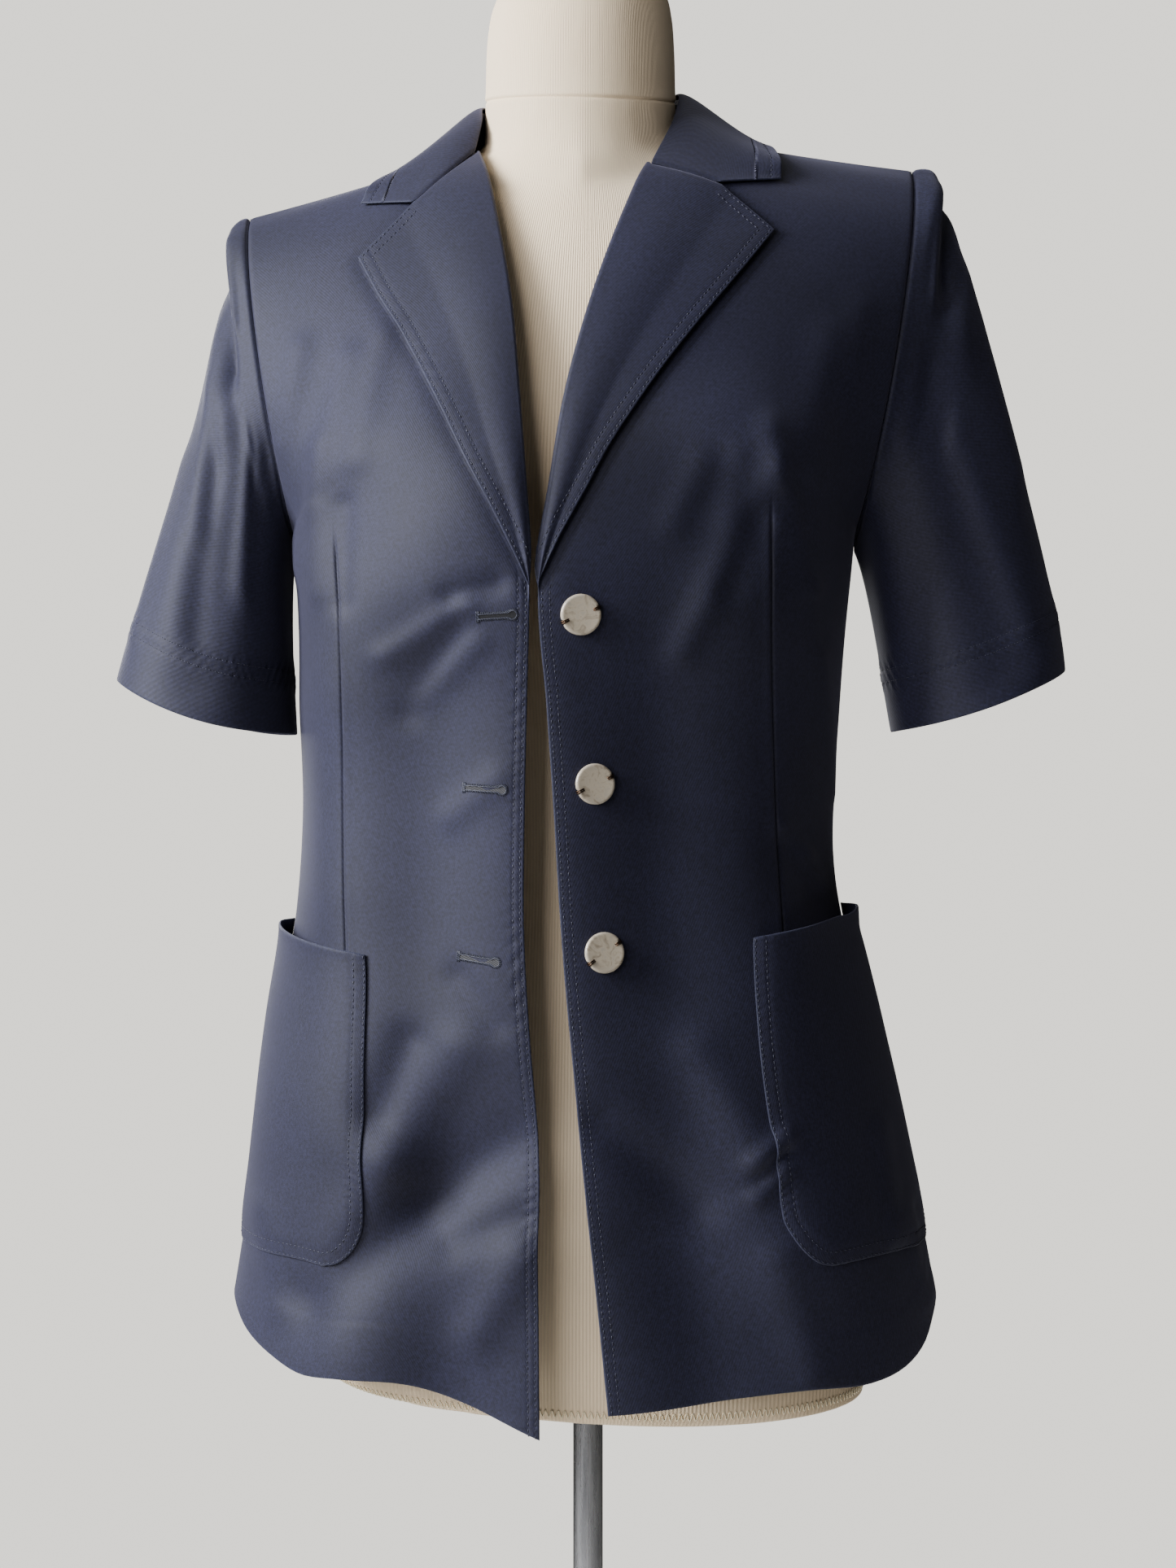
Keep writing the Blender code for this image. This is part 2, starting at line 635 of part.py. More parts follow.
def laid_on(panel, s, t, height):
    """Points a given height off the panel, or off its flat faces where they stand higher."""
    points = panel.point(s, t)
    normals = panel.normal(s, t)
    height = np.array(np.broadcast_to(height, s.shape), float)
    for place_in in np.ndindex(s.shape):
        outward = normals[place_in]
        start = points[place_in] + SEARCH_REACH * outward
        hit = panel.net.ray_cast(start.tolist(), (-outward).tolist(), 2 * SEARCH_REACH)
        if hit[3] is not None:
            height[place_in] += max(0.0, SEARCH_REACH - hit[3])
    return points + normals * height[..., None]


def level_steps(panel, extra):
    """Heights t at each level and between, the last one just short of the top seam."""
    steps = []
    for level, (low, high) in enumerate(zip(panel.knots[:-1], panel.knots[1:])):
        count = max(1, round((high - low) / extra))
        if level >= UNDERARM:
            count = ARMHOLE_STEPS[level - UNDERARM]
        steps.extend(np.linspace(low, high, count, endpoint=False))
    steps.append(panel.top - SEAM)
    return np.array(steps)


def panel_wall(name, panel, s, t, finish, side):
    """A front or back as a wall."""
    s_net, t_net = np.meshgrid(s, t, indexing="xy")
    outer = panel.point(s_net, t_net)
    panel.net = net_tree(outer)
    inward = panel.normal(s_net, t_net)
    on_seam = s >= (NECKLINE_SHARE if panel.neckline else 0.0)
    inward[-1, on_seam] = seam_up()
    add_wall(name, outer, outer - CLOTH * inward, finish, side)


def add_fronts(fronts, finish):
    """Both fronts, each from its edge to the side seam."""
    for side, panel in fronts.items():
        s = np.linspace(0, 1, FRONT_COLUMNS)
        s[-1] = 1 - SEAM / PANEL_WIDTH
        panel_wall("front_" + side, panel, s, level_steps(panel, ROW_STEP), finish, side)


def add_backs(back, finish):
    """Both halves of the back, a seam's gap apart at the centre."""
    neckline = np.linspace(0, NECKLINE_SHARE, 5)
    shoulder = np.linspace(NECKLINE_SHARE, 1, 9)
    s = np.concatenate([neckline, shoulder[1:]])
    s[0] = 1.3 * SEAM / PANEL_WIDTH
    s[-1] = 1 - SEAM / PANEL_WIDTH
    for side in SIDES:
        panel_wall("back_" + side, back, s, level_steps(back, ROW_STEP), finish, side)


class SleeveSheet:
    """A set-in sleeve from its armhole to its cuff."""

    def __init__(self, side, front, back):
        self.sizes = SLEEVES[side]
        self.splay = UNDERARM_SPLAY[side]
        self.folds = [Fold(c.around1 * SLEEVE_GIRTH, c.along1 * SLEEVE_LENGTH,
                           c.around2 * SLEEVE_GIRTH, c.along2 * SLEEVE_LENGTH,
                           c.height, c.width) for c in SLEEVE_FOLDS[side]]
        starts = []
        leaves = []
        faces = []
        seams = []
        steps = []
        for panel, upward in ((front, True), (back, False)):
            t = np.linspace(panel.underarm, panel.top, 60)
            edge = panel.point(np.ones(60), t)
            lengths = run_lengths(edge)
            step = np.interp(level_steps(panel, ROW_STEP), t, lengths / lengths[-1])
            t = np.interp(spread(edge, 41), np.arange(60), t)
            one = np.ones(41)
            edge = panel.point(one, t)
            leave = unit(edge - panel.point(one - 0.01, t))
            face = panel.normal(one, t)
            face[-1] = seam_up()
            along = unit(np.gradient(edge, axis=0))
            seam = unit(leave - along * (leave * along).sum(axis=1, keepdims=True))
            order = slice(None) if upward else slice(None, None, -1)
            starts.append(edge[order])
            leaves.append(leave[order])
            faces.append(face[order])
            seams.append(seam[order])
            step = step[np.argmax(step > 0) - 1:]
            step[-1] = 1.0
            steps.append(step / 2 if upward else 1 - step[:0:-1] / 2)
        leaves[0][-1] = unit(leaves[0][-1] + leaves[1][0])
        seams[0][-1] = leaves[0][-1]
        self.starts = np.concatenate([starts[0], starts[1][1:]])
        self.leaves = np.concatenate([leaves[0], leaves[1][1:]])
        self.faces = np.concatenate([faces[0], faces[1][1:]])
        self.seams = np.concatenate([seams[0], seams[1][1:]])
        self.places = np.linspace(0, 1, len(self.starts))
        self.steps = np.concatenate([steps[0][:-1], steps[1]])

    def read(self, rows, around):
        """A value of the armhole ring at places around it."""
        return through(self.places, rows, around)

    def point(self, around, along):
        """Points of the outer face; around starts at the underarm and climbs the front."""
        around, along = np.broadcast_arrays(np.asarray(around, float), np.asarray(along, float))
        around = around % 1.0
        sizes = self.sizes
        turn = 2 * math.pi * around
        under = np.maximum(np.cos(turn), 0) ** 2
        leave = self.read(self.leaves, around)
        start = self.read(self.starts, around)
        first = unit(blend(self.read(self.seams, around), np.array([1.0, 0.0, 0.0]),
                           under[..., None]))
        start = start + 1.5 * SEAM * first
        down = np.array([self.splay, 0.0, -1.0])
        reach = blend(sizes.cap_reach, sizes.under_reach, under)
        leave = unit(blend(leave, down, under[..., None])) * reach[..., None]
        end = np.stack([sizes.cuff_x - sizes.half_width * np.cos(turn),
                        sizes.cuff_y - sizes.half_depth * np.sin(turn),
                        sizes.cuff_z - sizes.drop * np.cos(turn) - sizes.dip * np.sin(turn) ** 2],
                       axis=-1)
        outer = (1 - np.cos(turn)) / 2
        length = end[..., 2] - start[..., 2]
        arrive = np.stack([blend(sizes.inner_flare, sizes.outer_flare, outer), 0 * length,
                           0.88 * length], axis=-1)
        points = hermite(start, leave, end, arrive, along[..., None])
        bow = sizes.bow * np.sin(along * math.pi) ** 2 * outer
        points[..., 0] += bow
        return points

    def folded(self, around, along):
        """Points of the outer face with its folds."""
        around, along = np.broadcast_arrays(np.asarray(around, float), np.asarray(along, float))
        height = fold_height(self.folds, (around % 1.0) * SLEEVE_GIRTH,
                             along * SLEEVE_LENGTH)
        height = height * ramp(0, 0.12, along)
        return self.point(around, along) + self.normal(around, along) * height[..., None]

    def normal(self, around, along, surface=None):
        """Unit normals of the outer face."""
        surface = surface or self.point
        small = 0.006
        by_around = surface(around + small, along) - surface(around - small, along)
        by_along = (surface(around, np.minimum(along + small, 1))
                    - surface(around, np.maximum(along - small, 0)))
        return unit(np.cross(by_along, by_around))

    def offset(self, around, along):
        """Unit normals that meet the body's wall face to face at the armhole."""
        around, along = np.broadcast_arrays(around, along)
        own = self.normal(around, along, self.folded)
        under = np.maximum(np.cos(2 * math.pi * around), 0)[..., None] ** 2
        seam = unit(blend(self.read(self.faces, around % 1.0), np.array([0, 0, -1.0]), under))
        return np.where((along < 1e-9)[..., None], seam, own)


def add_sleeves(sleeves, finish):
    """Both sleeves as tubes of cloth."""
    for side, sheet in sleeves.items():
        around_net, along_net = np.meshgrid(sheet.steps, SLEEVE_ROWS, indexing="xy")
        outer = sheet.folded(around_net, along_net)
        inner = outer - CLOTH * sheet.offset(around_net, along_net)
        add_wall("sleeve_" + side, outer, inner, finish, side, ring=True)


def roll_level(panel, level):
    """Height t of a level that may lie between two rows."""
    return float(np.interp(level, np.arange(len(panel.knots)), panel.knots))


def lapel_height(share):
    """How far the lapel's outer face stands off the front, from roll line to edge."""
    return LAPEL_REST + CLOTH + 1.2 * np.sin(np.clip(share * 1.6, 0, 1) * math.pi)


def add_lapels(fronts, finish):
    """Both lapels, turned back along the roll line and lying on the fronts."""
    s = np.linspace(0, 1, 8)
    up = np.linspace(0, 1, 15)
    for side, panel in fronts.items():
        outer_edge = np.array(LAPEL_EDGE[side], float)
        lengths = run_lengths(outer_edge)
        outer_edge = through(lengths / lengths[-1], outer_edge, up)
        t = blend(roll_level(panel, BREAK_LEVEL) - 4.0,
                  roll_level(panel, GORGE[side].roll_level), up)
        roll = panel.point(np.zeros(len(up)), t)
        x = roll[:, None, 0] + (outer_edge[:, None, 0] - roll[:, None, 0]) * s[None, :]
        z = roll[:, None, 2] + (outer_edge[:, None, 1] - roll[:, None, 2]) * s[None, :]
        x[0] = roll[0, 0] + np.linspace(0, 2.5, len(s))
        z[0] = roll[0, 2] - np.linspace(0, 1.0, len(s))
        gorge = GORGE[side]
        to_notch = np.clip(s / NOTCH_SHARE, 0, 1)
        past_notch = np.clip((s - NOTCH_SHARE) / (1 - NOTCH_SHARE), 0, 1)
        top_x = blend(roll[-1, 0], gorge.notch_x, to_notch)
        top_z = blend(roll[-1, 2], gorge.notch_z, to_notch) - 2 * SEAM
        x[-1] = blend(top_x, outer_edge[-1, 0], past_notch)
        z[-1] = blend(top_z, outer_edge[-1, 1], past_notch)
        height = np.broadcast_to(lapel_height(s)[None, :], x.shape)
        spot_s, spot_t = panel.locate(x, z)
        spot_s[:, 0] = 0.0
        spot_t[:, 0] = t
        outer = laid_on(panel, spot_s, spot_t, height)
        inner = laid_on(panel, spot_s, spot_t, height - CLOTH)
        add_wall("lapel_" + side, outer, inner, finish, side)


def collar_stations(fronts, back):
    """Rows of the fall and of the stand, from the right gorge round the neck to the left."""
    v = np.linspace(0, 1, 8) ** 1.2
    fall_rows = []
    crest_rows = []
    foot_rows = []
    for side in ("right", "left"):
        panel = fronts[side]
        gorge = GORGE[side]
        sign = np.array([SIDES[side], 1.0, 1.0])
        height = COLLAR_REST + COLLAR_WALL
        to_notch = np.clip(v / NOTCH_SHARE, 0, 1)
        past_notch = np.clip((v - NOTCH_SHARE) / (1 - NOTCH_SHARE), 0, 1)
        start_t = np.array([roll_level(panel, gorge.roll_level)])
        start = panel.point(np.zeros(1), start_t)[0]
        x = blend(blend(start[0], gorge.notch_x, to_notch), gorge.collar_x, past_notch)
        z = blend(blend(start[2], gorge.notch_z, to_notch), gorge.collar_z, past_notch)
        end = panel.over(x, z + 2 * SEAM, np.full(len(v), height + SEAM))
        rows = [end]
        crests = [end[0]]
        feet = [end[0]]
        for index, row in enumerate(COLLAR[side]):
            under = panel if index == 0 else back
            crest = np.array([row.crest_x, row.crest_y, row.crest_z])
            if index == 1:
                edge = np.array([row.edge_x, SHOULDER_TIP[1], row.edge_z])
            else:
                lift = height + TIP_LIFT if index == 0 else height
                edge = under.over(np.array([row.edge_x]), np.array([row.edge_z - 2.0]),
                                  np.array([lift]))[0]
            rows.append(fall_row(crest, edge, row, v))
            crests.append(crest)
            feet.append(neck_foot(crest, fronts[side]))
        side_rows = [part * sign for part in rows]
        side_crests = [part * sign for part in crests]
        side_feet = [part * sign for part in feet]
        if side == "left":
            side_rows.reverse()
            side_crests.reverse()
            side_feet.reverse()
        else:
            crest = np.array([0.0, COLLAR_BACK.crest_y, COLLAR_BACK.crest_z])
            edge = back.over(np.array([0.0]), np.array([COLLAR_BACK.edge_z]),
                             np.array([height]))[0]
            side_rows.append(fall_row(crest, edge, COLLAR_BACK, v))
            side_crests.append(crest)
            side_feet.append(neck_foot(crest, panel))
        fall_rows.extend(side_rows)
        crest_rows.extend(side_crests)
        foot_rows.extend(side_feet)
    return np.array(fall_rows), np.array(crest_rows), np.array(foot_rows)


def fall_row(crest, edge, row, v):
    """One line of the fall from the crest down to its outer edge."""
    out = unit(np.array([crest[0], crest[1] - NECK_CENTRE_Y, 0.0]))
    first = crest + out * row.roll + np.array([0.0, 0.0, CREST_RISE])
    second = blend(edge, crest, 0.35) - np.array([0.0, 0.0, row.sag])
    return bezier(crest, first, second, edge, v[:, None])


def neck_foot(crest, front):
    """Foot of the stand under a crest point, just above the panels' neck edge."""
    point_y = NECK_POINT[1]
    if crest[1] > point_y:
        share = (crest[1] - point_y) / (COLLAR_BACK.crest_y - point_y)
        foot = np.array([NECK_POINT[0] * math.sqrt(1 - share * share),
                         blend(point_y, CENTRE_BACK[-1].y, share),
                         blend(NECK_POINT[2], CENTRE_BACK[-1].z, share)])
    else:
        levels = front.edge[-4:]
        foot = np.array([np.interp(crest[1], levels[:, 1], levels[:, axis]) for axis in range(3)])
    return foot + np.array([0.0, 0.0, STAND_REST])


def add_collar(fronts, back, finish):
    """The collar: a stand round the neck and a fall over it down to the gorges."""
    falls, crests, feet = collar_stations(fronts, back)
    count = len(falls)
    knots = run_lengths(crests)
    places = np.concatenate([np.linspace(a, b, COLLAR_STEPS, endpoint=False)
                             for a, b in zip(knots[:-1], knots[1:])] + [knots[-1:]])
    rows = through(knots, falls.reshape(count, -1), places).reshape(len(places), -1, 3)
    by_v = np.gradient(rows, axis=1)
    by_w = np.gradient(rows, axis=0)
    normal = unit(np.cross(by_v, by_w))
    normal *= np.sign(normal[len(normal) // 2, 4, 1])
    add_wall("collar_fall", rows, rows - COLLAR_WALL * normal, finish)
    top = through(knots, crests, places)
    foot = through(knots, feet, places)
    out = top - np.array([0.0, NECK_CENTRE_Y, 0.0])
    out[:, 2] = 0
    out = unit(out)
    top = top - np.array([0.0, 0.0, COLLAR_WALL + REST + STAND_SHORT])
    foot = foot - CLOTH * out
    levels = np.linspace(0, 1, 4)[None, :, None]
    near = foot[:, None] + (top - foot)[:, None] * levels
    keep = slice(COLLAR_STEPS, -COLLAR_STEPS)
    add_wall("collar_stand", (near + CLOTH * out[:, None])[keep], near[keep], finish)


def add_pockets(fronts, finish):
    """Patch pockets with rounded lower corners, standing open at the top."""
    across = np.array([0, 0.13, 0.27, 0.41, 0.55, 0.69, 0.82, 0.93, 1.0])
    up = np.array([0, 0.03, 0.08, 0.15, 0.27, 0.42, 0.58, 0.75, 0.9, 1.0])
    for side, panel in fronts.items():
        sizes = POCKETS[side]
        outer = np.empty((len(up), len(across), 3))
        inner = np.empty_like(outer)
        side_t = np.linspace(0, panel.underarm, 80)
        side_z = panel.point(np.ones(80), side_t)[:, 2]
        tall = sizes.top_front - sizes.bottom
        from_side = [panel.from_side(x, z) for x, z in
                     ((sizes.front_bottom, sizes.bottom), (sizes.front_top, sizes.top_front))]
        for row, share in enumerate(up):
            cut = POCKET_CORNER - share * tall
            cut = POCKET_CORNER - math.sqrt(max(POCKET_CORNER ** 2 - max(cut, 0) ** 2, 0))
            front = blend(from_side[0], from_side[1], share) - cut
            front += sizes.belly * math.sin(share * math.pi)
            reach = blend(front, sizes.back + cut, across)
            top = blend(sizes.top_front, sizes.top_side, across)
            z = blend(sizes.bottom, top, share)
            t = np.interp(z, side_z, side_t)
            s = panel.along_row(t, reach)
            open_by = sizes.gape * share ** 6 * np.sin(across * math.pi) ** 0.8
            bulge = sizes.fill * ramp(0.1, 0.9, share) * ramp(0.3, 0.9, across)
            bulge *= 1 - 0.6 * ramp(0.93, 1.0, across)
            slack = POCKET_SLACK * math.sin(share * math.pi) * np.sin(across * math.pi)
            lift = POCKET_REST + POCKET_WALL + open_by + bulge + slack
            outer[row] = laid_on(panel, s, t, lift)
            inner[row] = laid_on(panel, s, t, lift - POCKET_WALL)
        add_wall("pocket_" + side, outer, inner, finish, side)


def turned(profile, sides, centre=(0.0, 0.0)):
    """Closed body turned about an upright axis; profile runs bottom to top as (radius, z)."""
    vertices = []
    faces = []
    for radius, z in profile:
        for step in range(sides):
            angle = 2 * math.pi * step / sides
            vertices.append((centre[0] + radius * math.cos(angle),
                             centre[1] + radius * math.sin(angle), z))
    for row in range(len(profile) - 1):
        for step in range(sides):
            beside = (step + 1) % sides
            faces.append((row * sides + step, row * sides + beside,
                          (row + 1) * sides + beside, (row + 1) * sides + step))
    faces.append(tuple(reversed(range(sides))))
    faces.append(tuple(range((len(profile) - 1) * sides, len(profile) * sides)))
    return np.array(vertices) * MM, faces


def add_buttons(panel, finish):
    """Flat discs with two rim notches, each resting on the left front."""
    sides = BUTTON_SIDES
    for spot in BUTTONS:
        s, t = panel.locate(np.array([spot.x]), np.array([spot.z]))
        outward = panel.normal(s, t)[0]
        centre = panel.point(s, t)[0]
        nearest = panel.net.find_nearest((centre + outward * BUTTON_RADIUS).tolist())[3]
        settle = REST + BUTTON_RADIUS - nearest
        centre = place(centre + outward * settle, "left") / MM
        axis_x = unit(np.cross([0.0, 0.0, 1.0], outward))
        axis_y = np.cross(outward, axis_x)
        notch_at = math.radians(spot.turn)
        vertices = []
        for ring in BUTTON_RINGS:
            for step in range(sides):
                angle = 2 * math.pi * step / sides + notch_at
                bite = BUTTON_NOTCH if step % (sides // 2) == 0 else 0.0
                radius = BUTTON_RADIUS * ring.radius - bite
                vertices.append(centre + axis_x * radius * math.cos(angle)
                                + axis_y * radius * math.sin(angle)
                                + outward * BUTTON_THICK * ring.rise)
        faces = []
        for row in range(len(BUTTON_RINGS) - 1):
            for step in range(sides):
                beside = (step + 1) % sides
                faces.append((row * sides + step, row * sides + beside,
                              (row + 1) * sides + beside, (row + 1) * sides + step))
        faces.append(tuple(reversed(range(sides))))
        top = (len(BUTTON_RINGS) - 1) * sides
        faces.append(tuple(range(top, top + sides)))
        add_object(spot.name, np.array(vertices) * MM, faces, finish, 40)


def form_rings():
    """Rings of the form from its underside to the top of its neck."""
    table = np.array(FORM, float)
    rings = [[FORM_LEVELS[0], FORM_FLAT, FORM_FLAT, FORM_FLAT, 0.0, 2.0]]
    for z in FORM_LEVELS:
        z = float(z)
        values = through(table[:, 0], table[:, 1:], np.array([max(z, FORM[0].z)]))[0]
        shrink = 6 * (1 - math.sqrt(1 - min(max((-350 - z) / 11.0, 0), 1) ** 2))
        rings.append([z, values[0] - shrink, values[1] - shrink, values[2] - shrink, values[3],
                      values[4]])
    last = FORM[-1]
    for share in (0.35, 0.7, 1.0):
        rings.append([blend(345.0, 357.0, share), FORM_SHOULDER_END - share,
                      blend(last.front, 60, share), blend(last.back, 52, share),
                      NECK_CENTRE_Y - 1.5 * share, blend(last.square, 1.0, share)])
    ridge = shoulder_seam(np.linspace(0, 1, 40))
    for x in SHOULDER_STATIONS:
        share = (x - SHOULDER_STATIONS[-1]) / (SHOULDER_STATIONS[0] - SHOULDER_STATIONS[-1])
        low = blend(RIDGE_REST[0], RIDGE_REST[1], share ** 0.5)
        z = float(np.interp(x, ridge[:, 0], ridge[:, 2])) - CLOTH - low
        rings.append([z, x, blend(40.0, 58.0, share), blend(42.0, 50.0, share),
                      NECK_CENTRE_Y - 1.5 * share, 1.0])
    for z, half in ((388.2, 60.0), (392, 48.0)):
        rings.append([z, half, 30.0, 30.0, NECK_CENTRE_Y, 1.0])
    for level in NECK:
        rings.append([level.z, level.radius, level.radius, level.radius, NECK_CENTRE_Y, 2.0])
    return rings


def ring_points(ring):
    """Points around one ring of the form."""
    z, half, front, back, middle, power = ring
    points = []
    for step in range(FORM_AROUND):
        angle = 2 * math.pi * step / FORM_AROUND
        across = math.cos(angle)
        deep = math.sin(angle)
        depth = front if deep < 0 else back
        x = half * math.copysign(abs(across) ** (2 / power), across)
        y = depth * math.copysign(abs(deep) ** (2 / power), deep)
        if NECK_ROOT[0].z <= z <= NECK_ROOT[-1].z:
            reach = math.hypot(x, y)
            neck = np.interp(z, [row.z for row in NECK_ROOT], [row.radius for row in NECK_ROOT])
            grow = (reach ** NECK_BLEND + neck ** NECK_BLEND) ** (1 / NECK_BLEND) / reach
            x *= grow
            y *= grow
        points.append((x, y + middle, z))
    points = np.array(points)
    low = 1 - ramp(-330, -200, z)
    reach = np.hypot(points[:, 0], points[:, 1])
    points[:, 2] -= FORM_TILT * low * points[:, 0] * ramp(65, 110, reach)
    points[:, 0] += FORM_ASIDE * low
    swell = fold_height([FORM_BUST], np.abs(points[:, 0]), points[:, 2])
    points[:, 1] -= swell * (points[:, 1] < middle)
    return points


def add_form(finish):
    """Torso and neck of the dress form, one smooth body."""
    nets = [place(ring_points(ring)) for ring in form_rings()]
    count = FORM_AROUND
    faces = []
    for row in range(len(nets) - 1):
        for step in range(count):
            beside = (step + 1) % count
            faces.append((row * count + step, row * count + beside,
                          (row + 1) * count + beside, (row + 1) * count + step))
    faces.append(tuple(reversed(range(count))))
    faces.append(tuple(range((len(nets) - 1) * count, len(nets) * count)))
    add_object("form_torso", np.concatenate(nets), faces, finish)


def add_stand(chrome, enamel):
    """Flange under the form, pole, hub and base."""
    form_bottom = DATUM - 361
    flange_low = form_bottom - REST - FLANGE_THICK
    flange = [(FLANGE_RADIUS - 1, flange_low), (FLANGE_RADIUS, flange_low + 1),
              (FLANGE_RADIUS, form_bottom - REST)]
    hub_top = BASE_THICK + REST + HUB_HEIGHT
    pole = [(POLE_RADIUS, hub_top + REST), (POLE_RADIUS, flange_low - REST)]
    hub = [(HUB_RADIUS, BASE_THICK + REST), (HUB_RADIUS, hub_top - 3), (HUB_RADIUS - 3, hub_top)]
    base = [(BASE_RADIUS - 1, 0.0), (BASE_RADIUS, 1.5), (BASE_RADIUS, BASE_THICK - 5),
            (BASE_RADIUS - 5, BASE_THICK)]
    for name, profile, finish in (("form_flange", flange, enamel), ("pole", pole, chrome),
                                  ("base_hub", hub, chrome), ("base", base, enamel)):
        vertices, faces = turned(profile, TURNED_SIDES)
        add_object(name, vertices, faces, finish, 35)


def main():
    """Build every piece."""
    for old in list(bpy.data.objects):
        bpy.data.objects.remove(old, do_unlink=True)
    twill = material("navy_twill", NAVY, 0.62)
    jersey = material("cream_jersey", JERSEY, 0.85)
    pearl = material("ivory_pearl", PEARL, 0.25)
    chrome = material("chrome", CHROME, 0.12, 1.0)
    enamel = material("dark_enamel", ENAMEL, 0.4)
    fronts = {side: front_panel(side) for side in SIDES}
    back = back_panel()
    sleeves = {side: SleeveSheet(side, fronts[side], back) for side in SIDES}
    add_fronts(fronts, twill)
    add_backs(back, twill)
    add_sleeves(sleeves, twill)
    add_lapels(fronts, twill)
    add_collar(fronts, back, twill)
    add_pockets(fronts, twill)
    add_buttons(fronts["left"], pearl)
    add_form(jersey)
    add_stand(chrome, enamel)


main()
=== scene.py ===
"""Looks of a short-sleeve blazer that hangs open on a dress form with a pole stand.

Garment sizes are millimetres: x outward from the centre line, y backward and z up from the
middle button, which is DATUM above the floor. place() turns them into metres in the frame.
Each piece of cloth is a fine net on its outer face, with relief for seams, stitching and hems,
turned into a thin shell with rounded free edges.
"""

